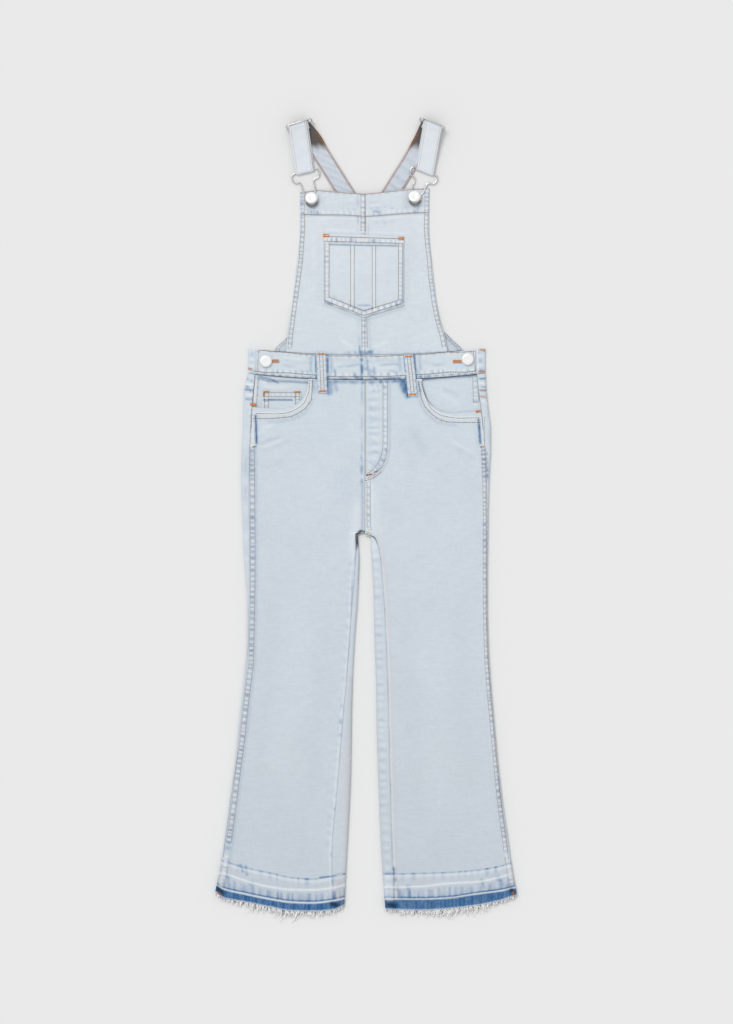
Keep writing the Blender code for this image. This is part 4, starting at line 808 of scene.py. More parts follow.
POCKET_MARKS = [
    line(2.7, (324, 239.6), (364, 241), (403, 242.2), pale=0.45, blue=0.58, rise=0.25, beat=7.0, sharp=1.9,
         hard=True),
    # Painted shade in the ditch under the hem's stitches.
    line(0.9, (330, 244.8), (364, 245.6), (397, 246.2), blue=0.45, shade=0.25, rise=-0.35),
    line(2.4, (326.8, 243), (326.8, 302), blue=0.44, pale=0.45, rise=0.2, beat=5.4, sharp=1.5, hard=True),
    line(2.4, (400.6, 244), (400.2, 304), blue=0.44, pale=0.45, rise=0.2, beat=5.4, sharp=1.5, hard=True),
    line(2.5, (326, 299), (363.8, 313.3), (400.5, 302.5), blue=0.6, pale=0.45, rise=0.25, beat=6.2,
         sharp=1.7, hard=True),
    line(2, (352.4, 246), (352.4, 308), pale=0.2, rise=0.35),
    line(2, (373.9, 246), (373.9, 308), pale=0.2, rise=0.35),
    line(2, (350, 240), (355, 240.4), blue=0.45),
    line(2, (371, 241), (376, 241.4), blue=0.45),
    line(1.3, (358, 305.4), (370, 305.4), blue=0.34),
    # Painted shadow along the pocket's pointed lower edge.
    line(1, (324.5, 302.4), (363.8, 317), (402.4, 305), shade=0.3, blue=0.35, rise=-0.2, beat=19.0),
    line(1.5, (352, 307), (363.8, 312), (372, 309), blue=0.7, shade=0.2, beat=6.0),
    line(1, (324, 241.8), (364, 243.4), (403, 244.2), blue=0.35, shade=0.1, beat=9.0),
    line(1.8, (331, 295), (345, 303), blue=0.22, beat=8.0),
    line(2.4, (325, 300), (332, 304), blue=0.45),
    line(2.4, (397, 305), (402, 301), blue=0.45),
    # Painted shade along the pocket's sides.
    line(1.2, (323.2, 245), (323.6, 300), shade=0.15, blue=0.1),
    line(1.2, (404.4, 245), (403.4, 303), shade=0.18, blue=0.12),
    # Slight bulges, a little darker.
    line(4.5, (340, 262), (340, 292), shade=0.02, rise=0.15, fade=12.0),
    line(4.5, (387, 262), (387, 292), shade=0.02, rise=0.15, fade=12.0),
    line(5, (357, 280), (371, 281), shade=0.02, rise=0.12, fade=6.0),
]
BAND_MARKS = [
    line(2, (257, 351.6), (264, 350.2), (290, 353), (312, 355.2), (330, 356.6), (360, 357), (400, 356.2),
         (440, 353.2), (462, 352.4), (475, 351.6), pale=0.42, blue=0.5, rise=0.22, beat=8.0, sharp=1.8),
    line(2.3, (254, 370), (290, 372), (330, 375), (364, 375), (400, 374), (440, 371.4), (476, 370),
         pale=0.45, blue=0.58, rise=0.22, beat=8.0, sharp=1.8),
    # Painted shadow under the waistband's lower edge.
    line(1, (254, 373.8), (300, 377), (330, 379), (360, 379.8), (400, 378.2), (445, 375), (478, 373.8),
         blue=0.66, shade=0.3, rise=-0.3, beat=9.0),
    line(1.8, (300, 377.5), (330, 380), (400, 379), (430, 376.5), blue=0.5, beat=7.0),
    line(2.2, (354, 351.6), (364, 352.6), (375, 351.8), blue=0.75, beat=7.0),
    line(1.6, (364.4, 354), (364.6, 378), blue=0.3, shade=0.08, beat=8.0),
    line(2.6, (355, 375), (359, 380), blue=0.7),
    line(2.6, (369, 374), (376, 379), blue=0.62),
    line(1.6, (340, 378), (352, 380), blue=0.5),
    line(1.6, (384, 379), (398, 378), blue=0.5),
    line(1.6, (361, 360), (362, 372), blue=0.4),
    line(1.4, (367, 358), (368, 371), blue=0.35),
    line(1.7, (335, 367), (350, 366), (362, 364), blue=0.26, rise=-0.2, fade=6.0),
    line(1.4, (378, 366), (392, 364), (400, 365), blue=0.26, rise=-0.2, fade=4.0),
    line(1.6, (364, 361), (372, 362), blue=0.16),
    line(2.6, (366, 368), (374, 373), blue=0.26),
    line(1.8, (388, 370), (399, 373), blue=0.2, fade=4.0),
    line(1.8, (281, 365), (297, 367), blue=0.14, fade=6.0),
    line(1.5, (295, 372), (311, 371), blue=0.18),
    line(1.8, (430, 366), (446, 364), blue=0.12, fade=6.0),
    line(1.6, (285, 358), (300, 359), pale=0.3),
    line(2.4, (311, 354), (311, 377), blue=0.26),
    line(2.2, (331.4, 354), (331.4, 377), blue=0.24),
    line(2.2, (399.4, 356), (400.6, 376), blue=0.24),
    line(2.2, (419, 356), (421, 376), blue=0.24),
    line(1.6, (361.5, 352), (361.5, 360), blue=0.7, shade=0.1),
    line(1.7, (361.8, 366), (362, 381), blue=0.75, shade=0.1),
    line(1.2, (335, 370), (335.6, 376), blue=0.5),
    line(1.6, (374, 368), (375, 374), blue=0.34),
    # Creases in the waistband: painted shade in the hollows, bleached ridges.
    line(2.4, (332, 360), (350, 362), (361, 361), shade=0.06, pale=0.05, rise=-0.35, fade=6.0),
    line(2.2, (332, 365), (348, 367), pale=0.24, rise=0.3, fade=6.0),
    line(2.4, (372, 362), (386, 360), (400, 363), shade=0.07, rise=-0.35, fade=6.0),
    line(2.2, (376, 367), (396, 369), pale=0.22, rise=0.3, fade=6.0),
    line(2.4, (284, 360), (298, 364), (312, 363), shade=0.06, rise=-0.3, fade=6.0),
    line(2.4, (420, 361), (436, 365), (448, 364), shade=0.06, rise=-0.3, fade=6.0),
    line(2.2, (424, 368), (440, 369), pale=0.2, rise=0.25, fade=6.0),
    # Unfaded indigo beside the belt loops, with a little painted shade.
    line(1.2, (315.6, 353), (316.2, 378), blue=0.8, shade=0.08),
    line(1.4, (327.6, 353), (327.8, 378), blue=0.85, shade=0.1),
    line(1.3, (404, 353), (406.4, 377), blue=0.82, shade=0.08),
    line(1.3, (413.9, 353), (416.2, 377), blue=0.84, shade=0.1),
    line(1.3, (257.5, 351), (256, 371), pale=0.4, blue=0.2, rise=0.2),
    line(1.3, (474.5, 351), (476.6, 371), pale=0.4, blue=0.2, rise=0.2),
    # Painted shade in the two buttonhole slits.
    line(1.4, (272, 362), (278.5, 362), shade=0.5, tan=0.3, rise=-0.6),
    line(1.4, (454, 362.4), (461, 362.4), shade=0.5, tan=0.3, rise=-0.6),
]
BEARER_MARKS = {
    "left": [
        # Painted shade under the waistband's edge and under the pocket mouth's edge.
        line(1.8, (257, 378), (268, 381), (290, 381.5), (312, 383), blue=0.35, shade=0.22, rise=-0.3),
        line(1.8, (312, 384), (309.5, 396), (303, 406), (290, 412.5), (262, 413), shade=0.35, blue=0.3),
        line(2.4, (262, 386), (276, 388), (290, 387), pale=0.3, rise=0.3, fade=5.0),
        line(1.6, (255.8, 377), (253.6, 406), pale=0.7, rise=0.3),
        line(1.6, (258.6, 378), (257, 404), blue=0.4, beat=7.0),
        # Painted shade under the waistband's end.
        line(1.2, (257, 376), (270, 379), (280, 384), blue=0.5, shade=0.15, rise=-0.3, fade=4.0),
        line(2, (258, 381), (268, 383), pale=0.4, rise=0.3, fade=3.0),
    ],
    "right": [
        # Painted shade under the waistband's edge and under the pocket mouth's edge.
        line(1.8, (422, 380), (440, 377.8), (460, 376.6), (478, 376), blue=0.4, shade=0.25, rise=-0.3),
        line(1.8, (421, 384), (426.5, 400), (435, 411.5), (448, 416.5), (476, 417), shade=0.35, blue=0.3),
        # A crease: painted shade in the hollow, a bleached ridge.
        line(3, (440, 388), (452, 393), (462, 398), shade=0.08, rise=-0.4, fade=8.0),
        line(3, (436, 392), (450, 399), (462, 406), pale=0.22, rise=0.35, fade=8.0),
        line(3, (475.2, 378), (475.6, 404), pale=0.35, blue=0.6, rise=0.22, beat=6.5, sharp=1.5),
        line(1.6, (479, 377), (481.6, 412), pale=0.7, rise=0.3),
    ],
}
COIN_MARKS = [
    line(2.4, (263, 394.6), (301, 394.8), pale=0.25, blue=0.22, rise=0.25, beat=7.0),
    # Painted shade under the coin pocket's hem.
    line(1.1, (264, 400), (292, 400), blue=0.75, shade=0.2, rise=-0.3),
    line(2.2, (266.5, 398), (266.5, 412), blue=0.5, pale=0.4, rise=0.2, beat=6.0),
    line(2.2, (297.5, 398), (297.5, 412), blue=0.5, pale=0.4, rise=0.2, beat=6.0),
]

LEG_FACES = {
    name: Face(leg.height, OUTSEAM_MARKS[name] + LEG_MARKS[name] + HEM_MARKS[name], hem_marks(leg),
               seed=3 + leg.sign)
    for name, leg in LEGS.items()
}
BIB_FACE = Face(bib_height, BIB_MARKS, seed=7)
POCKET_FACE = Face(pocket_height, POCKET_MARKS, seed=9)
BAND_FACE = Face(band_height, BAND_MARKS, seed=11)
BEARER_FACES = {
    name: Face(lambda x, y, leg=leg: bearer_height(leg, x, y), BEARER_MARKS[name], seed=13 + leg.sign)
    for name, leg in LEGS.items()
}
COIN_FACE = Face(lambda x, y: bearer_height(LEGS["left"], x, y) + SEAM_GAP + LIGHT_DENIM, COIN_MARKS,
                 seed=17)


# ---------------------------------------------------------------- shaders
class Wire:
    """An output of a shader node; sums and products of wires add Math nodes."""
    def __init__(self, finish, socket):
        self.finish, self.socket = finish, socket

    def _maths(self, operation, *values):
        return self.finish.node("ShaderNodeMath", {"operation": operation}, dict(enumerate(values)))

    def __add__(self, other):
        return self._maths("ADD", self, other)

    def __sub__(self, other):
        return self._maths("SUBTRACT", self, other)

    def __rsub__(self, other):
        return self._maths("SUBTRACT", other, self)

    def __mul__(self, other):
        return self._maths("MULTIPLY", self, other)

    __radd__ = __add__
    __rmul__ = __mul__

    def __truediv__(self, other):
        return self._maths("DIVIDE", self, other)

    def sine(self):
        return self._maths("SINE", self)

    def other(self, name):
        """Another output of the same node."""
        return Wire(self.finish, self.socket.node.outputs[name])

    def within(self):
        """The value held between 0 and 1."""
        return self.finish.node("ShaderNodeClamp", {}, {"Value": self})


class Finish:
    """A material, and the way its nodes are added and joined."""
    def __init__(self, name, roughness, metallic=0.0, sheen=0.0, specular=0.5):
        self.material = bpy.data.materials.new(name)
        self.material.use_nodes = True
        self.tree = self.material.node_tree
        self.shader = self.tree.nodes["Principled BSDF"]
        self.set(Roughness=roughness, Metallic=metallic)
        self.shader.inputs["Sheen Weight"].default_value = sheen
        self.shader.inputs["Specular IOR Level"].default_value = specular
        self.place = self.node("ShaderNodeTexCoord", {}, {}, out="Object")

    def node(self, kind, settings, values, out=0):
        made = self.tree.nodes.new(kind)
        for name, value in settings.items():
            setattr(made, name, value)
        for name, value in values.items():
            self.join(made.inputs[name], value)
        return Wire(self, made.outputs[out])

    def join(self, socket, value):
        if isinstance(value, Wire):
            self.tree.links.new(value.socket, socket)
        else:
            socket.default_value = value

    def set(self, **values):
        for name, value in values.items():
            self.join(self.shader.inputs[name.replace("_", " ")], value)

    def blend(self, share, first, second, kind="MIX"):
        """Mix two colours."""
        return self.node("ShaderNodeMix", {"data_type": "RGBA", "blend_type": kind},
                         {0: share, 6: first, 7: second}, out=2)

    def scaled(self, colour, factor):
        """A colour made lighter or darker by a factor."""
        if isinstance(colour, tuple):
            colour = colour[:3]
        return self.node("ShaderNodeVectorMath", {"operation": "SCALE"}, {0: colour, "Scale": factor})

    def noise(self, size, detail=2.0, roughness=0.5, stretch=None):
        """Noise whose features are about size metres across, or drawn out along an axis."""
        place = self.place
        if stretch:
            place = self.node("ShaderNodeMapping", {}, {0: place, 3: stretch})
        return self.node("ShaderNodeTexNoise", {}, {"Vector": place, "Scale": 1.0 / size, "Detail": detail,
                                                    "Roughness": roughness})

    def attribute(self, name):
        return self.node("ShaderNodeAttribute", {"attribute_name": name}, {}, out="Color")

    def ramp(self, value, stops):
        made = self.node("ShaderNodeValToRGB", {}, {"Fac": value}, out="Color")
        stretch = made.socket.node.color_ramp.elements
        while len(stretch) < len(stops):
            stretch.new(0.5)
        for element, (position, colour) in zip(stretch, stops):
            element.position = position
            element.color = colour
        return made

    def bump(self, height, distance, strength=1.0):
        self.set(Normal=self.node("ShaderNodeBump", {}, {"Height": height, "Distance": distance,
                                                         "Strength": strength}))


def linear(red, green, blue):
    """A screen colour from 0 to 255 as a linear one."""
    made = []
    for value in (red, green, blue):
        value /= 255.0
        made.append(value / 12.92 if value <= 0.04045 else ((value + 0.055) / 1.055) ** 2.4)
    return (*made, 1.0)


NAVY = linear(24, 90, 144)
AZURE = linear(82, 139, 188)                # the same dye where it is thin
FADED = linear(236, 241, 245)
TAN = linear(176, 112, 62)
DUSK = (0.15, 0.116, 0.096, 1.0)          # how much of each colour is left in the deepest shadow


def denim_finish(name, stops, twill=0.0009, worn=1.0):
    """Bleached twill: a base colour down the garment, slubs and twill, and the colourings and painted shade
    of its marks.
    """
    finish = Finish(name, roughness=0.88, sheen=0.12, specular=0.2)
    spot = finish.node("ShaderNodeSeparateXYZ", {}, {0: finish.place}, out="X")
    x, y, z = (spot.other(axis) for axis in "XYZ")
    dyes_and_shade = finish.attribute("dye")
    split = finish.node("ShaderNodeSeparateColor", {}, {0: dyes_and_shade}, out="Red")
    blue, pale, tan = (split.other(part) for part in ("Red", "Green", "Blue"))
    shade = dyes_and_shade.other("Alpha")

    base = finish.ramp((y + 0.55) / 1.1, stops)
    slubs = finish.noise(0.0016, 3.0, 0.6)
    mottle = finish.noise(0.008, 3.0, 0.55)
    cloud = finish.noise(0.07, 2.0, 0.5)
    smear = finish.noise(0.0042, 3.0, 0.65)
    yarn = finish.noise(0.0011, 2.0, 0.6, stretch=(1.0, 0.16, 1.0))
    weft = finish.noise(0.0022, 2.0, 0.6, stretch=(0.14, 1.0, 1.0))
    ridges = ((x * 0.86 + y * 0.5 + z * 0.7) * (2 * math.pi / twill)).sine()
    tone = (slubs - 0.5) * (0.14 * worn) + (mottle - 0.5) * (0.09 * worn) + (cloud - 0.5) * (0.07 * worn)
    tone = tone + (yarn - 0.5) * (0.12 * worn) + (weft - 0.5) * (0.12 * worn) + ridges * 0.012 + 1.025
    colour = finish.scaled(base, tone)
    patchy = (slubs - 0.5) * 1.0 + (yarn - 0.5) * 0.9 + (smear - 0.5) * 2.6 + 0.25
    uneven = (slubs - 0.5) * 0.5 + (yarn - 0.5) * 0.5 + 1.05
    dyed = (blue * (patchy * (1.0 - blue) + 1.0)).within()
    colour = finish.blend(dyed, colour, finish.blend(dyed, AZURE, NAVY))
    colour = finish.scaled(colour, (yarn + slubs - 1.0) * (blue * 0.9) + 1.0)
    # Painted shade: the marks' shade channel multiplies the colour towards DUSK.
    colour = finish.blend(shade, colour, DUSK, kind="MULTIPLY")
    colour = finish.blend((pale * uneven).within(), colour, FADED)
    finish.set(Base_Color=finish.blend((tan * uneven).within(), colour, TAN))
    finish.bump(ridges * 0.25 + (yarn - 0.5) * 0.9 + (slubs - 0.5) * 0.6, 0.00016, 0.6)
    return finish.material


def cotton_finish(name, roughness, specular, fluff, unevenness, bumps, warmth=None):
    """Sewing thread or loose cotton; each strand has its own tone. fluff is its noise's size and detail."""
    finish = Finish(name, roughness=roughness, sheen=0.2, specular=specular)
    tone = finish.attribute("thread")
    fuzz = finish.noise(*fluff, 0.6)
    if warmth:
        tone = finish.blend(1.0, tone, warmth, kind="MULTIPLY")
    finish.set(Base_Color=finish.scaled(tone, (fuzz - 0.5) * unevenness + 1.0))
    finish.bump(fuzz, 0.0001, bumps)
    return finish.material


def nickel_finish(name, colour, roughness, metallic=1.0, with_painted_shade=False):
    """Bright plated metal with faint handling marks; with_painted_shade multiplies in each point's shade,
    painted on the buttons.
    """
    finish = Finish(name, roughness=roughness, metallic=metallic)
    cloud = finish.noise(0.004, 3.0, 0.6)
    fine = finish.noise(0.0004, 2.0, 0.6)
    plate = finish.scaled(finish.blend(cloud, colour, linear(246, 246, 246)), 1.0 + (fine - 0.5) * 0.08)
    if with_painted_shade:
        # Painted shade: the buttons' point colours darken their lower rims and back plates.
        plate = finish.blend(1.0, plate, finish.attribute("thread"), kind="MULTIPLY")
    finish.set(Base_Color=plate, Roughness=(cloud - 0.5) * 0.16 + (fine - 0.5) * 0.06 + roughness)
    finish.bump(fine * 0.4 + cloud, 0.00004, 0.4)
    return finish.material


def floor_finish(colour):
    """A plain pale paper floor."""
    finish = Finish("pale_paper", roughness=0.9, specular=0.0)
    finish.set(Base_Color=finish.scaled(colour, (finish.noise(0.002, 2.0, 0.5) - 0.5) * 0.01 + 1.0))
    return finish.material


LEG_STOPS = [(0.0, linear(192, 201, 210)), (0.20, linear(199, 208, 216)), (0.36, linear(202, 211, 220)),
             (0.52, linear(204, 213, 222)), (0.66, linear(206, 216, 224)), (0.80, linear(213, 221, 228)),
             (0.90, linear(216, 223, 230))]
STRAP_STOPS = [(0.0, linear(206, 214, 222)), (0.84, linear(210, 218, 226)), (0.97, linear(218, 224, 231))]
PALE_THREAD = (158, 149, 138)
TACK_THREAD = (205, 143, 88)


# ---------------------------------------------------------------- meshes
def link(name, mesh):
    piece = bpy.data.objects.new(name, mesh)
    bpy.context.scene.collection.objects.link(piece)
    return piece


def joined(name, points, faces, finish, tones, layer="thread"):
    """A mesh through plan points with a colour at each of them; it may be many small like parts."""
    mesh = bpy.data.meshes.new(name)
    mesh.from_pydata(to_frame(points), [], faces)
    mesh.shade_smooth()
    colours = mesh.attributes.new(layer, "FLOAT_COLOR", "POINT")
    colours.data.foreach_set("color", np.asarray(tones, np.float32).ravel())
    mesh.materials.append(bpy.data.materials[finish])
    return link(name, mesh)


def ring_faces(start, parts, sides):
    """Faces between the rings of points of a tube, the first of them at index start."""
    faces = []
    for part in range(parts):
        low, high = start + sides * part, start + sides * (part + 1)
        faces += [(low + s, low + (s + 1) % sides, high + (s + 1) % sides, high + s) for s in range(sides)]
    return faces


def cloth(name, grid, dye, wall, flip=False, offset=-1.0, finish="bleached_denim"):
    """A sheet of cloth through a grid of plan points, with a wall behind its face.

    The grid's rows run down the garment and its columns to the right, so its face looks up; flip
    turns it over.
    """
    rows, across = grid.shape[:2]
    r, c = np.meshgrid(np.arange(rows - 1), np.arange(across - 1), indexing="ij")
    corner = r * across + c
    quads = np.stack([corner, corner + across, corner + across + 1, corner + 1], axis=-1).reshape(-1, 4)
    if flip:
        quads = quads[:, ::-1]
    piece = joined(name, grid.reshape(-1, 3), quads.tolist(), finish, np.clip(dye, 0, 1), layer="dye")
    solid = piece.modifiers.new("wall", "SOLIDIFY")
    solid.thickness = wall * MM
    solid.offset = offset
    solid.use_even_offset = False
    solid.use_quality_normals = True
    weighed = piece.modifiers.new("soft_edges", "WEIGHTED_NORMAL")
    weighed.weight = 80
    return piece


def face_cloth(name, x, y, face, wall, raised=0.0, **rest):
    """Cloth whose upper side is a Face, at a grid of plan x and y."""
    z, dye = face.read(x, y)
    return cloth(name, np.stack([x, y, z + raised], axis=-1), dye, wall, **rest)


def tube(name, points, radius, finish, cyclic=True, sides=4):
    """A smooth bent wire through plan points, as a mesh."""
    curve = bpy.data.curves.new(name + "_line", "CURVE")
    curve.dimensions = "3D"
    curve.bevel_depth = radius * MM
    curve.bevel_resolution = sides
    curve.use_fill_caps = True
    spline = curve.splines.new("POLY")
    spline.points.add(len(points) - 1)
    for spot, point in zip(spline.points, to_frame(points)):
        spot.co = (*point, 1.0)
    spline.use_cyclic_u = cyclic
    holder = link(name + "_line", curve)
    bpy.context.view_layer.update()
    mesh = bpy.data.meshes.new_from_object(holder.evaluated_get(bpy.context.evaluated_depsgraph_get()))
    bpy.data.objects.remove(holder)
    mesh.name = name
    mesh.shade_smooth()
    mesh.materials.clear()
    mesh.materials.append(bpy.data.materials[finish])
    return link(name, mesh)


def round_off(points, spacing, cyclic=True):
    """A smooth loop or line through points, as close points."""
    points = np.asarray(points, float)
    if cyclic:
        points = np.vstack([points[-2:], points, points[:2]])
    knots = walked(points)
    start, end = (knots[2], knots[-2]) if cyclic else (knots[0], knots[-1])
    fine = np.linspace(start, end, max(int((end - start) / spacing), 8))
    if cyclic:
        fine = fine[:-1]
    tangents = np.gradient(points, knots, axis=0)
    before = np.minimum(np.searchsorted(knots, fine, side="right") - 1, len(knots) - 2)
    width = np.diff(knots)[before][:, None]
    t = (fine - knots[before])[:, None] / width
    return hermite(t, width, points[before], points[before + 1], tangents[before], tangents[before + 1])


# ---------------------------------------------------------------- stitches
STITCH_SIDES = 6
STITCH_RINGS = [(-0.8, 0.75), (0.0, 1.0), (0.8, 0.75)]


def stitch_template():
    points, faces = [(-1.0, 0.0, 0.0)], []
    for along, size in STITCH_RINGS:
        for side in range(STITCH_SIDES):
            turn = 2 * math.pi * side / STITCH_SIDES
            points.append((along, size * math.cos(turn), size * math.sin(turn)))
    points.append((1.0, 0.0, 0.0))
    last = len(points) - 1
    for side in range(STITCH_SIDES):
        after = (side + 1) % STITCH_SIDES
        faces.append((0, 1 + after, 1 + side))
        for ring in range(2):
            low, high = 1 + ring * STITCH_SIDES, 1 + (ring + 1) * STITCH_SIDES
            faces.append((low + side, low + after, high + after, high + side))
        faces.append((last - STITCH_SIDES + side, last - STITCH_SIDES + after, last))
    return np.array(points), faces


class Sewing:
    """Collects stitches and makes them into one mesh."""
    def __init__(self, seed):
        self.random = np.random.RandomState(seed)
        self.centres, self.ways, self.ups, self.sizes, self.tones = [], [], [], [], []

    def add(self, start, end, up, radius, tone):
        self.centres.append((start + end) / 2)
        self.ways.append(end - start)
        self.ups.append(up)
        self.sizes.append(radius)
        share = self.random.uniform(0.86, 1.12)
        self.tones.append([min(value * share, 1.0) for value in linear(*tone)[:3]] + [1.0])

    def run(self, path, ups=None, pitch=3.1, length=2.5, radius=0.36, tone=PALE_THREAD, sink=0.10, skip=0.0):
        """A row of stitches along a 3-D path."""
        path = np.asarray(path, float)
        knots = walked(path)
        count = max(int(knots[-1] / pitch), 1)
        step = knots[-1] / count

        def spot(at):
            return np.array([np.interp(at, knots, path[:, axis]) for axis in range(3)])

        for index in range(count):
            if self.random.uniform() < skip:
                continue
            start = index * step + self.random.uniform(-0.12, 0.12)
            up = np.array((0.0, 0.0, 1.0)) if ups is None else np.array(
                [np.interp(start, knots, np.asarray(ups)[:, axis]) for axis in range(3)])
            lift = up * (radius - sink)
            self.add(spot(start) + lift, spot(start + length) + lift, up,
                     radius * self.random.uniform(0.9, 1.1), tone)

    def sew(self, line, top, raised=0.0, **rest):
        """A row of stitches along a plan line, lying on a surface."""
        line = np.asarray(line, float)
        knots = np.concatenate([[0.0], np.cumsum(np.hypot(*np.diff(line, axis=0).T))])
        fine = np.linspace(0, knots[-1], max(int(knots[-1] / 1.2), 2))
        x, y = np.interp(fine, knots, line[:, 0]), np.interp(fine, knots, line[:, 1])
        self.run(np.stack([x, y, top(x, y) + raised], axis=-1), **rest)

    def tack(self, start, end, top, raised=0.0, width=2.2, tone=TACK_THREAD):
        """A bar tack: a dense run of short stitches laid across a line."""
        start, end = np.array(start, float), np.array(end, float)
        way = end - start
        length = float(np.hypot(*way))
        way /= length
        side = np.array((-way[1], way[0]))
        for at in np.arange(0, length, 0.55):
            centre = start + way * at
            first, second = centre - side * width / 2, centre + side * width / 2 + way * 0.2
            height = float(np.max(top(np.array([first[0], second[0]]), np.array([first[1], second[1]]))))
            self.add(np.array((*first, height + raised + 0.25)), np.array((*second, height + raised + 0.25)),
                     np.array((0.0, 0.0, 1.0)), 0.34, tone)

    def rows(self, top, *lines, **look):
        """Rows of one look, each through its points on the drawing."""
        for points in lines:
            self.sew(drawn(*points), top, **look)

    def tacks(self, top, *lines, **look):
        """Bar tacks of one look, each between two points on the drawing."""
        for points in lines:
            self.tack(*drawn(*points), top=top, **look)

    def make(self, name):
        template, faces = stitch_template()
        centres, ways, ups = (np.array(part) for part in (self.centres, self.ways, self.ups))
        lengths = np.linalg.norm(ways, axis=1, keepdims=True)
        ways = ways / lengths
        sides = np.cross(ups, ways)
        sides /= np.linalg.norm(sides, axis=1, keepdims=True)
        ups = np.cross(ways, sides)
        sizes = np.array(self.sizes)[:, None, None]
        along = template[None, :, 0:1] * lengths[:, None, :] / 2
        bend = -0.24 * template[None, :, 0:1] ** 2 + 0.04
        points = (centres[:, None, :] + ways[:, None, :] * along
                  + sides[:, None, :] * template[None, :, 1:2] * sizes
                  + ups[:, None, :] * (template[None, :, 2:3] * sizes * 0.8 + bend))
        count = len(template)
        every = [tuple(index + count * n for index in face) for n in range(len(centres)) for face in faces]
        tones = np.repeat(np.array(self.tones), count, axis=0)
        return joined(name, points.reshape(-1, 3), every, "sewing_thread", tones)


# ---------------------------------------------------------------- legs
def roll_points(height, y, edge, seam, inward, steps=4):
    """Section of a rolled edge, from the seam on top round to the floor; height gives the upper face."""
    points = []
    for step in range(steps + 1):
        x = edge + (seam - edge) * (1 - step / steps) ** 2
        points.append((x, y, float(height(x, y))))
    middle = points[-1][2]
    turn = math.radians(45)
    points.append((edge + inward * FLOOR_ROLL * (1 - math.cos(turn)), y, middle * (1 - math.sin(turn))))
    points.append((edge + inward * FLOOR_ROLL, y, 0.0))
    return points


def back_section(leg, index=None, y=None):
    """Outer face of the back panel from its inner end to the outseam."""
    if index is not None:
        row = {field: float(leg.rows[field][index]) for field in FIELDS}
        lift_outer, lift_inner = row["lift"], row["lift"] * leg.inner_lift
    else:
        row = {field: float(leg.at(field, y)) for field in ("outer", "outseam", "inseam", "inner")}
        row["y"] = y
        lift_outer = lift_inner = 0.0

    def seen(lift):
        return lambda x, level: leg.height(x, level + lift)

    outer_roll = roll_points(seen(lift_outer), row["y"], row["outer"], row["outseam"], -1)[::-1]
    if row["inner"] == ABOVE:
        start = [(SEAM_GAP / 2 + step * 2.4, row["y"], 0.0) for step in range(7)]
    else:
        start = roll_points(seen(lift_inner), row["y"], row["inner"], row["inseam"], 1)
    middle = [(mix(start[-1][0], outer_roll[0][0], part), row["y"], 0.0) for part in (0.25, 0.5, 0.75)]
    return start + middle + outer_roll


def lowered(leg, section, index):
    """A section with the hem's droop: its middle hangs lower than its ends."""
    lift = float(leg.rows["lift"][index])
    if not lift:
        return section
    share = lift / leg.end_lift
    return [(x, y + share * (float(leg.hem_line(1, x)) - leg.bottom), z) for x, y, z in section]


def yoke_seam(x):
    return mix(YOKE_CENTRE_Y, YOKE_SIDE_Y, float(ease(abs(x) / 150)))


def on_back(leg, y, index):
    """A point of the back panel's section at this level."""
    along, _, height = back_section(leg, y=y)[index]
    return along, y, height


def yoke_points(leg):
    middle = back_section(leg, y=mix(YOKE_CENTRE_Y, YOKE_SIDE_Y, 0.5))
    return [on_back(leg, yoke_seam(x), index) for index, (x, _, _) in enumerate(middle)]


BACK_MARKS = {
    "left": [
        line(3.5, (247, 560), (246, 520), (245, 470), (247, 420), blue=0.1, pale=0.15, rise=0.2, beat=40.0),
        # Painted shade on the rolled inner edge, a little warm.
        line(6, (348, 880), (350, 740), (352, 680), shade=0.05, tan=0.07),
        line(3, (343, 880), (344, 800), (346, 740), pale=0.12, tan=0.05, fade=20.0),
        # Painted shadow in the crotch gap, on the back panel's rolled edge, fading down the inner edge.
        line(2.4, (374, 533), (366, 531), (362, 530.4), (359, 533), (357.6, 541), (357, 551), shade=0.94,
             blue=0.4, fade=11.0),
        line(2.2, (362, 530), (359, 533), (358, 538), shade=0.9, fade=2.0),
        line(1.4, (360, 548), (359.5, 560), (358.6, 580), shade=0.3),
        line(2, (247, 386), (250, 391), blue=0.45),
    ],
    "right": [
        line(3, (486, 560), (488, 500), (489, 430), blue=0.1, pale=0.15, rise=0.2, beat=40.0),
        line(3, (373.5, 542), (375, 556), pale=0.25, rise=0.1),
        line(5, (374.5, 548), (376.5, 580), (378.5, 640), (380.5, 700), (383, 780), (386, 851), (389, 890),
             blue=0.24, pale=0.18, shade=0.05, rise=0.45, beat=11.0, sharp=2.0),
        # Painted shade on the rolled inner edge, a little warm.
        line(2.6, (373, 560), (375, 640), (379, 760), (384, 870), shade=0.05, tan=0.02),
    ],
}
# Creases of the back: start and end in plan, half width and rise. The seat creases fan out from the
# centre seam, the others lie behind the knees and calves.
BACK_CREASES = [
    ((12, 60), (78, 26), 7.0, 0.9), ((10, 30), (66, -8), 6.0, 0.8), ((14, 92), (96, 74), 8.0, 0.6),
    ((30, -60), (96, -44), 9.0, 0.7), ((52, -180), (118, -206), 11.0, 0.8), ((44, -222),
    (104, -232), 8.0, 0.7),
    ((70, -262), (136, -246), 9.0, 0.6), ((60, -330), (120, -352), 10.0, 0.5), ((90, -402),
    (140, -392), 9.0, 0.5),
    ((128, 40), (140, -60), 8.0, 0.5), ((76, -90), (84, -160), 12.0, 0.4),
]


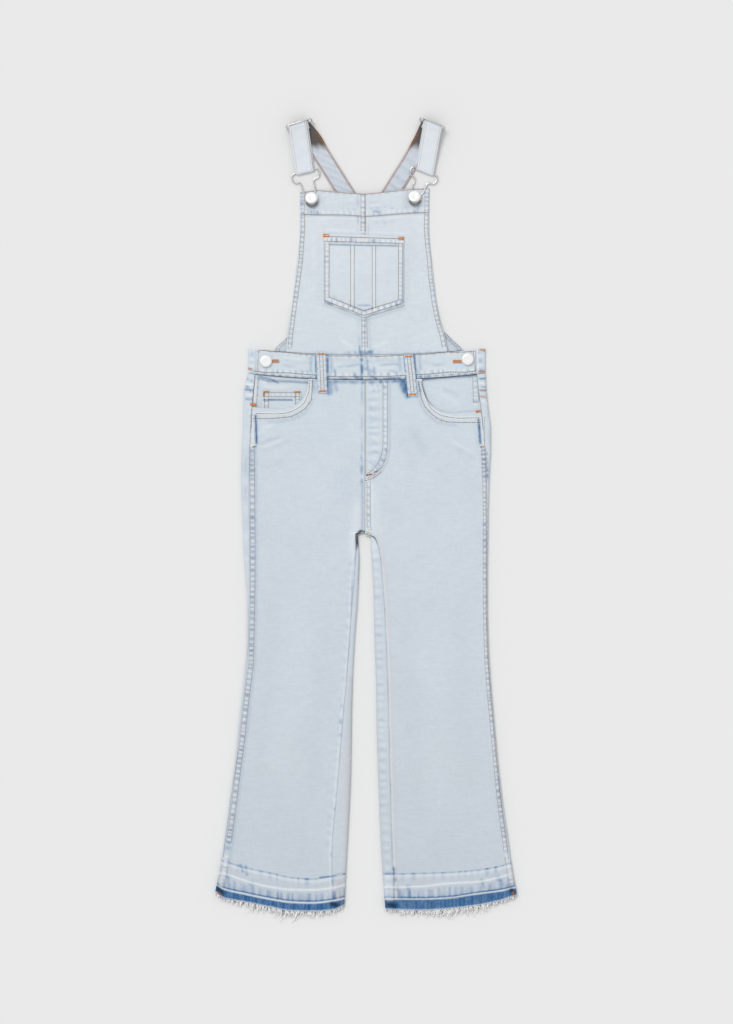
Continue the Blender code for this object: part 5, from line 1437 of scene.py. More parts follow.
def back_relief(leg, x, y):
    """Soft creases pressed up into the back panel, uneven in length, depth and spacing."""
    random = np.random.RandomState(5 if leg.sign < 0 else 6)
    rise = np.zeros(np.shape(x))
    for (ax, ay), (bx, by), width, height in BACK_CREASES:
        shift = random.uniform(-9, 9, 4)
        path = [(ax + shift[0] * 0.4, ay + shift[1]),
                ((ax + bx) / 2, (ay + by) / 2 + shift[2] * 0.5), (bx + shift[3], by + shift[1])]
        aside, along = near_path(path, x, y)
        total = sum(math.dist(a, b) for a, b in zip(path, path[1:]))
        taper = ease(along / 22) * ease((total - along) / 22)
        rise += height * random.uniform(0.7, 1.2) * np.exp(-(aside / width) ** 2) * taper
    return np.minimum(rise, 1.3)


def dressed_back(leg, grid, name, wall=DENIM, hem=True, **rest):
    """A back panel with its marks and creases, the flat part of it resting on the floor."""
    face = Face(unraised, OUTSEAM_MARKS[leg.name] + BACK_MARKS[leg.name] + back_seam_marks(leg),
                hem_marks(leg) if hem else None, seed=21 + leg.sign)
    x, y, z = grid[..., 0], grid[..., 1], grid[..., 2]
    relief, dye = face.read(leg.sign * x, y)
    flat = 1 - ease((z - 0.05) / 0.4)
    edge = ease((x - leg.inner(y) - 6) / 6) * ease((leg.outer(y) - x - 6) / 6)
    made = np.array(grid)
    pressed = back_relief(leg, x, y) + np.maximum(relief, 0)
    made[..., 2] = z + flat * edge * pressed + (1 - flat) * relief * 0.6
    made[..., 0] = leg.sign * x
    return cloth(name, made, dye, wall, flip=leg.sign > 0, **rest)


def back_seam_marks(leg):
    """Puckers along the yoke and centre-back seams, which lie on the floor side."""
    sign = leg.sign
    yoke = [(sign * x, yoke_seam(x)) for x in range(2, 152, 10)]
    return [
        Mark([(x, y - 3.4) for x, y in yoke], 3.0, blue=0.42, pale=0.18, rise=0.3, beat=6.0, hard=True),
        Mark([(sign * 3.6, YOKE_CENTRE_Y - 4), (sign * 3.6, CROTCH_Y)], 3.2, blue=0.42, pale=0.18, rise=0.3,
             beat=6.0, hard=True),
        Mark([(sign * 60, 90), (sign * 66, 30)], 22.0, pale=0.12),
        Mark([(sign * 80, -200), (sign * 90, -330)], 26.0, pale=0.08),
    ]


def build_leg_back(leg):
    seam = yoke_points(leg)
    rows = [[(x, y - SEAM_GAP, z) for x, y, z in seam]]
    first = len(leg.rows["y"]) - 1 - ROWS_OVER_YOKE
    first_y = float(leg.rows["y"][first])
    rows.append([on_back(leg, mix(seam_y, first_y, 0.5), index)
                 for index, (_, seam_y, _) in enumerate(seam)])
    for index in range(first, -1, -1):
        rows.append(lowered(leg, back_section(leg, index=index), index))
    return dressed_back(leg, refine(rows, 3.2, 2.4), f"leg_back_{leg.name}_cloth")


def build_yoke(leg):
    seam = yoke_points(leg)
    rows = []
    for share in (0.0, 0.5):
        rows.append([on_back(leg, mix(waist_line(x) - WAIST_GAP, seam_y, share), index)
                     for index, (x, seam_y, _) in enumerate(seam)])
    rows.append(seam)
    return dressed_back(leg, refine(rows, 1.6, 2.4), f"yoke_{leg.name}_cloth", hem=False)


def scoop_top(leg, count):
    """Points along the front panel's top edge: the waist seam, then the pocket's mouth."""
    centre = leg.scoop_x + leg.scoop_width
    waist_x = np.linspace(SEAM_GAP / 2, leg.scoop_x, 60)
    turn = np.linspace(0, math.pi / 2, 90)
    curve_x = centre - leg.scoop_width * np.cos(turn) ** (2 / SCOOP_POWER)
    end_y = float(leg.scoop(WAIST_HALF))
    end_x = float(leg.at("outseam", end_y)) - WAIST_GAP
    last_x = np.linspace(centre, end_x, 30)[1:]
    x = np.concatenate([waist_x, curve_x[1:], last_x])
    depth = np.concatenate([np.zeros(60), leg.scoop_depth * np.sin(turn[1:]) ** (2 / SCOOP_POWER),
                            np.full(29, leg.scoop_depth)])
    y = waist_line(x) - WAIST_GAP - depth
    knots = np.concatenate([[0.0], np.cumsum(np.hypot(np.diff(x), np.diff(y)))])
    at = count * knots[-1]
    return np.interp(at, knots, x), np.interp(at, knots, y)


def build_leg_front(leg):
    """The front panel, cut away at the top along the pocket's mouth."""
    near_inner = np.arange(0.0, 36.0 if leg.sign > 0 else 14.0, 1.3)
    near_outer = np.arange(12.0, -0.01, -1.5)
    middle = np.linspace(0, 1, 38)[1:-1]

    def spread(low, high):
        low, high = np.atleast_1d(low)[:, None], np.atleast_1d(high)[:, None]
        inner, outer = low + near_inner, high - near_outer
        return np.concatenate([inner, mix(inner[:, -1:], outer[:, :1], middle), outer], axis=1)

    def ends(level):
        """Where the panel starts and ends, clear of the back panel's turned-up edges."""
        inseam, inner = leg.at("inseam", level), leg.at("inner", level)
        steep = np.maximum(1 - (inseam - inner) / EDGE_ROLL, 0)
        room = CROTCH_ROOM * ease((level + 40) / 12)
        low = np.where(inner == ABOVE, SEAM_GAP / 2, inseam + NEAR_SEAM + ROLL_GAP * steep ** 2 + room)
        outseam = leg.at("outseam", level)
        steep = np.maximum(1 - (leg.at("outer", level) - outseam) / EDGE_ROLL, 0)
        return low, outseam - NEAR_SEAM - ROLL_GAP * steep ** 2

    levels = np.concatenate([np.arange(ANCHOR_Y, -14.0, -2.0), np.arange(-14.0, -32.0, -0.5),
                             np.arange(-32.0, leg.bottom, -2.0), [leg.bottom]])
    low, high = ends(levels)
    x = spread(low, high)
    y = leg.hung(levels, x)
    raised = CROTCH_ROOM * ease((-15 - levels) / 6) * ease((levels + 40) / 12)
    y = y + raised[:, None] * (1 - ease((x - low[:, None] - 2) / 7))

    anchor_x = x[0]
    count = (anchor_x - anchor_x[0]) / (anchor_x[-1] - anchor_x[0])
    top_x, top_y = scoop_top(leg, count)
    shares = np.linspace(0, 1, 36)[:-1, None]
    upper_x, upper_y = mix(top_x, anchor_x, shares), mix(top_y, y[0], shares)
    side = leg.at("outseam", upper_y[:, -1]) - WAIST_GAP - upper_x[:, -1]
    upper_x = upper_x + side[:, None] * ease((count - 0.85) / 0.15)
    x, y = np.vstack([upper_x, x]), np.vstack([upper_y, y])
    return face_cloth(f"leg_front_{leg.name}_cloth", leg.sign * x, y, LEG_FACES[leg.name], DENIM,
                      flip=leg.sign < 0)


def build_outseam(leg):
    """The seam allowance turned to the front and sewn down, as a raised band beside the outseam."""
    levels = np.arange(90.0, leg.bottom + 38, -1.1)
    outseam = leg.at("outseam", levels)[:, None]
    across = np.array([7.6, 7.0, 6.2, 5.2, 4.2, 3.2, 2.2, 1.2, 0.5])
    rise = np.array([-0.3, 0.1, 0.3, 0.4, 0.42, 0.4, 0.35, 0.25, -0.05])
    x = outseam - across
    y = leg.hung(levels, x)
    z, dye = LEG_FACES[leg.name].read(leg.sign * x, y)
    grid = np.stack([leg.sign * x, y, z + rise + 0.1], axis=-1)
    return cloth(f"outseam_{leg.name}_band", grid, dye, 0.35, flip=leg.sign < 0)


def build_hem(leg):
    """The let-down hem across the front of the leg, from edge to edge."""
    shares = np.linspace(0, 1, 62)[:, None]
    inner, outer = float(leg.inner(leg.bottom)), float(leg.outer(leg.bottom))
    across = np.linspace(0, 1, 158)[None, :]
    x = mix(inner, outer, across) * np.ones_like(shares)
    for _ in range(3):
        crease, cut = leg.hem_line(4, x), leg.hem_line(1, x)
        y = mix(crease + 5.0, cut, shares)
        x = mix(leg.inner(y) + 0.25, leg.outer(y) - 0.25, across)
    z, dye = LEG_FACES[leg.name].read(leg.sign * x, y)
    lift = 0.40 * ease(shares / 0.12)
    return cloth(f"hem_{leg.name}_band", np.stack([leg.sign * x, y, z + lift - 0.05], axis=-1), dye, 0.45,
                 flip=leg.sign < 0)


# The thin strands' tones are darker, partly as painted shade among the white curls.
FRAY_TONES_AND_SHADE = ((188, 174, 162), (214, 202, 192), (255, 255, 255))  # two of thin strands, one of thick
TUFTS, TUFT_STRANDS = 80, 9
STRAND_PARTS, STRAND_SIDES = 4, 3


def build_fringe(leg):
    """Loose ends below the cut edge: a short even fray with longer curling tufts, all round the hem."""
    random = np.random.RandomState(61 if leg.sign < 0 else 62)
    inner, outer = float(leg.inner(leg.bottom)), float(leg.outer(leg.bottom))
    points, faces, tones = [], [], []
    for tuft in range(TUFTS):
        share = (tuft + random.uniform(0.0, 1.0)) / TUFTS
        full = math.sin(math.pi * min(max(share, 0.06), 0.94)) ** 0.7
        tuft_reach = (2.2 + 7.0 * full ** 1.3) * (0.5 + 1.0 * random.uniform() ** 1.4)
        tuft_lean = random.normal(0, 0.35)
        for strand in range(TUFT_STRANDS):
            spread = mix(inner + 0.8, outer - 0.8, share) + random.normal(0, 0.9)
            x = min(max(spread, inner + 0.6), outer - 0.6)
            cut = float(leg.hem_line(1, x))
            upper = float(leg.height(x, cut + 2))
            thick = strand % 4 == 0
            root = upper - random.uniform(0.0, 0.6) if thick else random.uniform(0.3, 2.2)
            reach = tuft_reach * (random.uniform(0.6, 1.15) if thick else random.uniform(0.3, 0.8))
            lean, curl = tuft_lean + random.normal(0, 0.30), random.normal(0, 1.3)
            radius, phase = random.uniform(0.16, 0.30) + 0.36 * thick, random.uniform(0, 6)
            start = len(points)
            for step in range(STRAND_PARTS + 1):
                part = step / STRAND_PARTS
                centre = (x + reach * (lean * part + 0.3 * curl * math.sin(2.6 * part)),
                          cut + 1.4 - (reach + 1.4) * part,
                          max(root * (1 - part * (0.3 if thick else 0.6)), 0.5)
                          + 0.4 * part * math.sin(3 * part + phase))
                size = radius * (1.0 - 0.6 * part * part)
                for side in range(STRAND_SIDES):
                    turn = 2 * math.pi * side / STRAND_SIDES + phase
                    points.append((leg.sign * (centre[0] + size * math.cos(turn)), centre[1],
                                   max(centre[2] + size * math.sin(turn), 0.02)))
            tone = linear(*FRAY_TONES_AND_SHADE[2 if thick else random.randint(2)])
            tones += [tone] * (len(points) - start)
            faces += ring_faces(start, STRAND_PARTS, STRAND_SIDES)
            faces.append((start + 2, start + 1, start))
            faces.append(tuple(range(len(points) - STRAND_SIDES, len(points))))
    return joined(f"fringe_{leg.name}_ends", points, faces, "frayed_cotton", tones)


# ---------------------------------------------------------------- pockets, placket and fly
def build_bearer(leg):
    centre = leg.scoop_x + leg.scoop_width
    columns = np.concatenate([np.linspace(leg.scoop_x - BEARER_MARGIN + 0.3, leg.scoop_x + 12, 22),
                              np.linspace(leg.scoop_x + 13.2, centre, 26),
                              np.linspace(centre + 1.2, WAIST_HALF, 17)])
    shares = np.linspace(0, 1, 44)[:, None]
    y = mix(waist_line(columns) - WAIST_GAP, leg.scoop(columns, BEARER_MARGIN), shares)
    x = columns * np.ones_like(shares)
    end = leg.at("outseam", y[:, -1]) - 0.1 - WAIST_HALF
    x = x + end[:, None] * ease((columns - centre) / (WAIST_HALF - centre))
    return face_cloth(f"pocket_bearer_{leg.name}_cloth", leg.sign * x, y, BEARER_FACES[leg.name],
                      FACING_DENIM, flip=leg.sign < 0)


def build_coin_pocket(leg):
    x = np.linspace(133.8, 83.2, 42)[None, :]
    shares = np.linspace(0, 1, 26)[:, None]
    y = mix(163.0, leg.scoop(x, BEARER_MARGIN) + 3, shares)
    return face_cloth("coin_pocket_cloth", leg.sign * x * np.ones_like(shares), y, COIN_FACE, LIGHT_DENIM)


def build_placket(leg):
    face = DENIM + SEAM_GAP + LIGHT_DENIM
    rows = []
    for share in (0.0, 0.33, 0.67, 1.0):
        y = mix(waist_line(WAIST_HALF) - 3, PLACKET_END_Y, share)
        outer = float(leg.outer(y))
        insets = (4.4, PLACKET_REACH / 2, PLACKET_REACH)
        rows.append([(leg.sign * (outer - inset), y, face) for inset in insets])
    grid = refine(rows, 1.6, 1.6)
    seam = [(leg.sign * (float(leg.outer(150.0)) - 7), 180), (leg.sign * (float(leg.outer(100.0)) - 7), 95)]
    marks = Face(unraised, [Mark(seam, 2.6, blue=0.35, pale=0.2, rise=0.15, beat=6.0)], seed=27)
    relief, dye = marks.read(grid[..., 0], grid[..., 1])
    grid[..., 2] += relief
    return cloth(f"side_placket_{leg.name}_cloth", grid, dye, LIGHT_DENIM, flip=leg.sign > 0)


def build_fly():
    straight, width, bottom = 100.0, 30.5, 46.0
    rows = []
    for share in (0.0, 0.25, 0.5, 0.7, 0.85, 1.0):
        y = mix(WAIST_Y - 1.0, bottom, share)
        curve = max((WAIST_Y - y - straight) / (WAIST_Y - bottom - straight), 0.0)
        reach = 3.0 + (width - 3.0) * math.sqrt(max(1 - curve * curve, 0.0))
        rows.append([(0.6 + reach * part, y, 5.0 - DENIM - SEAM_GAP) for part in (0.0, 0.5, 1.0)])
    grid = refine(rows, 3.0, 3.0)
    return cloth("fly_cloth", grid, np.zeros(grid.shape[:2] + (4,)), LIGHT_DENIM)


# ---------------------------------------------------------------- waistband and belt loops
def build_waistband_front():
    x = np.linspace(-141.3, 143.7, 230)[None, :]
    shares = np.linspace(0, 1, 29)[:, None]
    y = waist_line(x) + BAND_HEIGHT * (1 - shares)
    edge = -0.5 * (np.exp(-(shares * 32 / 1.2) ** 2) + np.exp(-((1 - shares) * 32 / 1.2) ** 2))
    return face_cloth("waistband_front_cloth", x * np.ones_like(shares), y, BAND_FACE, BAND, raised=edge)


def back_waist_columns():
    half = BACK_BIB[0][1]
    return [BACK_CENTRE_X + half * part for part in (-1.0, -0.5, 0.0, 0.5, 1.0)]


def build_waistband_back():
    """The back waistband; each end rolls round the side and forms the button tab under the front."""
    section = []
    for leg in LEGS.values():
        outer = float(leg.at("outer", WAIST_Y + 10))
        height = lambda x, y, outer=outer: TAB_HALF_HEIGHT * (
            1 + np.sqrt(1 - np.clip(1 - np.maximum(outer - x, 0) / EDGE_ROLL, 0, 1) ** 2))
        half = [(leg.sign * x, z) for x, _, z in roll_points(height, 0.0, outer, UNDERLAP_X, -1)]
        section = half if leg.sign < 0 else section + [(x, 0.0) for x in back_waist_columns()] + half[::-1]
    rows = [[(x, waist_line(x) + BAND_HEIGHT * part, z) for x, z in section] for part in (1.0, 0.5, 0.0)]
    grid = refine(rows, 1.6, 1.8)
    x, y = grid[..., 0], grid[..., 1]
    seams = [[(at, waist_line(at) + BAND_HEIGHT * part) for at in range(-150, 156, 10)]
             for part in (0.1, 0.9)]
    face = Face(unraised, [
        Mark(seams[0], 2.4, blue=0.35, pale=0.2, rise=0.2, beat=7.0),
        Mark(seams[1], 2.4, blue=0.35, pale=0.2, rise=0.2, beat=7.0),
        line(3.4, (252, 350), (251.6, 376), pale=0.5, blue=0.3, beat=9.0),
        line(3.4, (479, 350), (481, 376), pale=0.4, blue=0.5, beat=10.0),
        line(1.5, (248, 368.6), (251, 369.2), tan=0.9),
        line(1.5, (480, 349.6), (485, 350.6), tan=0.85),
        line(1.5, (479, 371.6), (485, 371.6), tan=0.85),
        line(1.3, (476.5, 350), (478.4, 372), pale=0.8),
    ], seed=33)
    relief, dye = face.read(x, y)
    grid[..., 2] += np.where(grid[..., 2] < 0.3, np.maximum(relief, 0), relief * 0.5)
    return cloth("waistband_back_cloth", grid, dye, BAND, flip=True)


def loop_line(loop, share):
    top_x, bottom_x, top_y, bottom_y = loop
    return mix(top_x, bottom_x, share), mix(top_y, bottom_y, share)


def loop_side(loop, offset, start=0.0, end=1.0):
    """A line down the loop beside its middle."""
    return moved([loop_line(loop, start), loop_line(loop, end)], right=offset)


def loop_height(loop, x, y):
    leg = LEGS["left"] if loop[0] < 0 else LEGS["right"]
    step = ease((y - waist_line(x) + 6.0) / 7.0)
    return mix(leg.height(x, y), band_height(x), step) + SEAM_GAP + 0.1 + 1.6


def build_belt_loop(name, loop):
    """A folded loop, turned under at its ends, sewn down by two rows of stitches."""
    shares = np.linspace(0, 1, 48)[:, None]
    across = np.linspace(-1, 1, 13)[None, :]
    centre_x, y = loop_line(loop, shares)
    x = centre_x + across * BELT_LOOP_WIDTH / 2
    y = y * np.ones_like(across)
    crown = -0.75 * across ** 6
    ends = 0.35 * (np.exp(-(shares / 0.05) ** 2) + np.exp(-((1 - shares) / 0.05) ** 2))
    length = loop[2] - loop[3]
    face = Face(lambda px, py: loop_height(loop, px, py), [
        Mark(loop_side(loop, -2.1), 1.1, rise=-0.25, pale=0.1),
        Mark(loop_side(loop, 2.1), 1.1, rise=-0.25, pale=0.1),
        Mark(loop_side(loop, 0.0, 0.02, 0.98), 1.3, pale=0.35, blue=0.22, rise=0.3, beat=length / 9),
        Mark(loop_side(loop, 5.4), 1.0, pale=0.2, blue=0.55, beat=7.0),
        Mark(loop_side(loop, -5.4), 1.0, pale=0.2, blue=0.55, beat=7.0),
    ], seed=41)
    return face_cloth(f"belt_loop_{name}_cloth", x, y, face, 1.6, raised=crown + ends)


# ---------------------------------------------------------------- bib and back bib
def build_bib(leg):
    """Half of the bib, from the centre seam to its turned side edge."""
    near = np.arange(0.0, 7.1, 1.1)
    far = np.arange(8.0, -0.01, -1.0)
    middle = np.linspace(0, 1, 34)[1:-1]
    shares = np.linspace(0, 1, 142)[:, None]
    edge = np.full((142, 1), 84.0)
    for _ in range(4):
        inner, outer = SEAM_GAP / 2 + near, edge - far
        between = mix(inner[-1], outer[:, :1], middle)
        x = np.concatenate([inner * np.ones_like(shares), between, outer], axis=1)
        top = smooth(*np.array(BIB_TOP).T, leg.sign * x)
        y = mix(top, waist_line(x) + BAND_HEIGHT + SEAM_GAP, shares)
        edge = bib_edge(leg.sign, y[:, -1:])
    turned = 0.35 * ease((edge - x) / 1.0) * (1 - ease((edge - x - 5.6) / 1.0))
    hemmed = 0.35 * (1 - ease((top - y - 29.0) / 1.4)) - 0.3 * np.exp(-((top - y) / 0.9) ** 2)
    turned = turned - 0.35 * np.exp(-((edge - x) / 0.8) ** 2)
    return face_cloth(f"bib_{leg.name}_cloth", leg.sign * x, y, BIB_FACE, DENIM, flip=leg.sign < 0,
                      raised=turned + hemmed)


def build_bib_pocket():
    x = np.linspace(POCKET_LEFT, POCKET_RIGHT, 88)[None, :]
    shares = np.linspace(0, 1, 92)[:, None]
    y = mix(pocket_top(x), pocket_bottom(x), shares)
    x = x * np.ones_like(shares)
    inset = np.minimum(np.minimum(x - POCKET_LEFT, POCKET_RIGHT - x), (y - pocket_bottom(x)) * 0.95)
    edge = 0.30 * (1 - ease((inset - 6.0) / 1.2)) - 0.55 * np.exp(-(inset / 0.9) ** 2)
    hem = 0.35 * (1 - ease((pocket_top(x) - y - 11.5) / 1.2))
    full = 0.5 * ease((inset - 8) / 16) * ease((pocket_top(x) - y - 12) / 20)
    return face_cloth("bib_pocket_cloth", x, y, POCKET_FACE, FACING_DENIM, raised=edge + hem + full)


def back_bib_half(y):
    """Half the back bib's width."""
    levels, halves = np.array(BACK_BIB).T
    return smooth(levels, halves, y)


def build_back_bib():
    rows = []
    for index, (level, half) in enumerate(reversed(BACK_BIB)):
        row = []
        for waist_x in back_waist_columns():
            x = BACK_CENTRE_X + (waist_x - BACK_CENTRE_X) * half / BACK_BIB[0][1]
            y = level if index < len(BACK_BIB) - 1 else waist_line(x) + BAND_HEIGHT + SEAM_GAP
            row.append((x, y, DENIM))
        rows.append(row)
    grid = refine(rows, 2.6, 2.8)
    x, y = grid[..., 0], grid[..., 1]
    sides = [[(BACK_CENTRE_X + side * (float(back_bib_half(at)) - 4.0), at)
              for at in np.arange(214.0, 410.0, 8.0)] for side in (-1, 1)]
    face = Face(unraised, [
        Mark(sides[0], 2.6, blue=0.35, pale=0.25, rise=0.2, beat=6.0, hard=True),
        Mark(sides[1], 2.6, blue=0.35, pale=0.25, rise=0.2, beat=6.0, hard=True),
        Mark([(BACK_CENTRE_X, 408), (BACK_CENTRE_X, 212)], 3.0, blue=0.3, pale=0.2, rise=0.25, beat=6.0,
             hard=True),
        Mark([(BACK_CENTRE_X - 34, 402), (BACK_CENTRE_X + 34, 402)], 2.4, blue=0.3, pale=0.2, rise=0.2,
             beat=6.0),
        # Soft raised folds, a little darker.
        Mark([(-60, 232), (-26, 262)], 7.0, shade=0.03, rise=0.5, fade=14.0),
        Mark([(70, 236), (34, 270)], 7.0, shade=0.03, rise=0.5, fade=14.0),
        Mark(drawn((270, 349), (279, 340), (285, 334)), 3.0, blue=0.25, shade=0.06),
        Mark(drawn((459, 350), (451, 341), (445, 334)), 3.0, blue=0.25, shade=0.06),
    ], seed=37)
    relief, dye = face.read(x, y)
    grid[..., 2] += np.clip(relief, -0.25, 0.8)
    return cloth("back_bib_cloth", grid, dye, DENIM)


# ---------------------------------------------------------------- straps and their hardware
def buckle_axes(route):
    down = (Vector(route["button"]) - Vector(route["bar"])).normalized()
    return down, Vector((-down.y, down.x))


def strap_stations(route):
    """Centre, height, direction across and width of the strap from its back end to its sewn end."""
    stations = []
    across = Vector(route["across"])
    outward = Vector((-across.y, across.x))
    for (x, y), z in zip(route["back"], (2.4, 2.4, 0.85, 0.8, 0.8, 1.6)):
        stations.append((Vector((x, y)), z, Vector((1.0, 0.0)), STRAP_WIDTH * STRAP_SLANT))
    stations[-1] = (stations[-1][0], stations[-1][1], Vector((0.85, -0.53 * route["sign"])), STRAP_WIDTH)
    back, front = Vector(route["fold_back"]), Vector(route["fold_front"])
    fold_turns = 8
    for step in range(fold_turns + 1):
        angle = -math.pi / 2 + math.pi * step / fold_turns
        centre = back.lerp(front, step / fold_turns) + outward * (FOLD_DEPTH * math.cos(angle))
        stations.append((centre, FOLD_Z + FOLD_HALF * math.sin(angle), across, STRAP_WIDTH))
    front_run = len(stations)
    bar = Vector(route["bar"])
    down, bar_across = buckle_axes(route)
    loop = WIRE_BUCKLE + SEAM_GAP + STRAP / 2
    for share, z in ((0.12, 12.6), (0.35, 9.4), (0.65, 6.6), (0.9, 5.4)):
        turned = across.lerp(bar_across, share).normalized()
        stations.append((front.lerp(bar, share), z, turned, STRAP_WIDTH))
    bar_turns = 6
    for step in range(bar_turns + 1):
        angle = math.pi / 2 - math.pi * step / bar_turns
        shift = bar_across * (route["shift"] * step / bar_turns)
        stations.append((bar + shift + down * (loop * math.cos(angle)), BAR_Z + loop * math.sin(angle),
                         bar_across, STRAP_WIDTH))
    middle = front.lerp(back, 0.5) - outward * BAR_SETBACK
    side_shift = bar_across * route["shift"]
    wrap = WIRE_SLIDER + SEAM_GAP + STRAP / 2
    for share, z in ((0.1, 1.4), (0.35, 2.7), (0.65, 5.6), (0.88, 8.8)):
        centre = (bar + side_shift).lerp(middle, share)
        stations.append((centre, z, bar_across.lerp(across, share).normalized(), STRAP_WIDTH))
    for step in range(bar_turns + 1):
        angle = math.pi / 2 - math.pi * step / bar_turns
        stations.append((middle + outward * (wrap * math.cos(angle)), FOLD_Z + wrap * math.sin(angle),
                         across, STRAP_WIDTH))
    stations.append((middle - outward * 8.0, FOLD_Z - wrap - 0.2, across, STRAP_WIDTH))
    return stations, front_run


def strap_grid(route):
    """The strap's middle surface as a fine grid, with the row where its front run starts and ends."""
    stations, front_run = strap_stations(route)
    grid = refine([[(c.x + s.x * w * part, c.y + s.y * w * part, z) for part in (-0.5, 0.5)]
                   for c, z, s, w in stations], STRAP_GRID, STRAP_GRID)
    centres = grid.mean(axis=1)

    def row_of(station):
        c, z, _, _ = stations[station]
        return int(np.argmin(np.linalg.norm(centres - np.array((c.x, c.y, z)), axis=1)))

    return grid, row_of(5), row_of(front_run - 1), row_of(front_run + 6)


def grid_normals(grid):
    down, across = np.gradient(grid, axis=0), np.gradient(grid, axis=1)
    normals = np.cross(down, across)
    return normals / np.linalg.norm(normals, axis=2, keepdims=True)


def build_strap(name, route, sewing):
    grid, back_end, fold_end, front_end = strap_grid(route)
    rows, across = grid.shape[:2]
    side = np.linspace(-1, 1, across)[None, :]
    run = np.arange(rows)[:, None]
    along = run * STRAP_GRID
    y = grid[..., 1]
    dye = np.zeros((rows, across, 4))
    on_back = run < back_end + 6
    # Painted shadow on the back run under the fold; the whole back run is a little darker too.
    painted_fold_shadow = ease((y - 473.0 - 3.0 * ripple(side * 9 + 20, 5.0, 4)) / 13.0) * (run < fold_end - 4)
    dye[..., 3] = np.where(on_back | (run < fold_end - 4), 0.08 + painted_fold_shadow * 0.90, 0)
    edge = np.exp(-((np.abs(side) - 1.0) / 0.10) ** 2) * np.ones_like(y)
    worn_edge = 0.75 * edge * (0.5 + 0.5 * ripple(along * np.ones_like(y), 5.0, 3))
    dye[..., 2] = np.where(on_back, worn_edge, 0)
    cloudy = 0.05 + 0.22 * ripple(along + side * 9, 12.0, 5) ** 2 + 0.16 * edge
    dye[..., 0] = np.where(on_back, cloudy * (1 - painted_fold_shadow), 0)
    dye[..., 1] = np.where(on_back, 0.22 * ripple(along + side * 7, 9.0, 9) ** 3 * (1 - painted_fold_shadow), 0)
    front = (run > fold_end) & (run <= front_end)
    dye[..., 0] += np.where(front, 0.05 * ripple(along + side * 5, 22.0, 6) + 0.10 * edge, 0)
    dye[..., 1] = np.where(front, 0.36 + 0.25 * np.exp(-((np.abs(side) - 0.86) / 0.09) ** 2), dye[..., 1])
    normals = grid_normals(grid)
    crease = (0.18 * ripple(along + side * 7, 15.0, 8) - 0.35 * edge) * np.ones_like(y)
    shaped = grid + normals * crease[..., None] * np.where(front, 1.0, 0.3)[..., None]
    piece = cloth(f"strap_{name}_cloth", shaped, dye, STRAP, offset=0.0, finish="strap_denim")
    back_row = {"tone": (176, 108, 56), "radius": 0.50}
    front_row = {"tone": (200, 182, 164), "radius": 0.34}
    for up, first, last, look in ((1, 4, back_end + 4, back_row), (-1, 4, back_end + 4, back_row),
                                  (1, fold_end - 3, front_end, front_row),
                                  (1, front_end + 8, rows - 16, front_row)):
        for share in (0.09, 0.91):
            at = share * (across - 1)
            low = int(at)
            path = mix(grid[first:last, low], grid[first:last, low + 1], at - low)
            ups = mix(normals[first:last, low], normals[first:last, low + 1], at - low) * up
            sewing.run(path + ups * (STRAP / 2), ups=ups, **look)
    return piece


def build_slider(name, route):
    """Wire adjuster: an oblong frame with a middle bar, standing on edge in the strap's fold."""
    back, front = Vector(route["fold_back"]), Vector(route["fold_front"])
    across = Vector(route["across"])
    outward = Vector((-across.y, across.x))
    centre = front.lerp(back, 0.5) - outward * BAR_SETBACK
    half_length, half_height = SLIDER_HALF

    def spot(along, up):
        bow = SLIDER_BOW * (up / half_height) ** 2
        plan = centre + across * along + outward * (up * math.sin(SLIDER_LEAN) + bow)
        return (plan.x, plan.y, FOLD_Z + up * math.cos(SLIDER_LEAN))

    corner = 3.2
    points = []
    for quarter, (sx, sy) in enumerate(((1, 1), (-1, 1), (-1, -1), (1, -1))):
        for step in range(8):
            angle = math.radians(90 * quarter + 90 / 7 * step)
            points.append(spot(sx * (half_length - corner) + corner * math.cos(angle),
                               sy * (half_height - corner) + corner * math.sin(angle)))
    frame_wire = tube(f"slider_{name}_wire", points, WIRE_SLIDER, "bright_nickel")
    bar = tube(f"slider_{name}_bar", [spot(-half_length, 0), spot(half_length, 0)], WIRE_SLIDER * 0.8,
               "bright_nickel", cyclic=False)
    return frame_wire, bar


def build_buckle(name, route):
    """Dungaree buckle: one bent wire, wide at the strap's bar and narrow round the button's shank."""
    bar, button = Vector(route["bar"]), Vector(route["button"])
    down, out = buckle_axes(route)
    scale = (button - bar).length / 37.5
    half = [(reach, drop * scale) for reach, drop in BUCKLE_HALF]
    outline = half + [(-reach, drop) for reach, drop in reversed(half)]
    points = []
    for reach, drop in outline:
        plan = bar + out * reach + down * drop
        points.append((plan.x, plan.y, BAR_Z))
    return tube(f"buckle_{name}_wire", round_off(points, 1.1), WIRE_BUCKLE, "bright_nickel", sides=5)


def back_plate(radius, start, steps=26, sides=8, thick=1.15):
    """The lower half of a button's back plate: a thick round wire that shows below the tilted face."""
    points = []
    for step in range(steps + 1):
        turn = -math.pi * (0.06 + 0.88 * step / steps)
        for side in range(sides):
            angle = 2 * math.pi * side / sides
            reach = radius + thick * math.cos(angle)
            points.append((reach * math.cos(turn), reach * math.sin(turn), thick * math.sin(angle)))
    faces = ring_faces(start, steps, sides)
    faces.append(tuple(start + s for s in reversed(range(sides))))
    faces.append(tuple(start + sides * steps + s for s in range(sides)))
    return np.array(points), faces


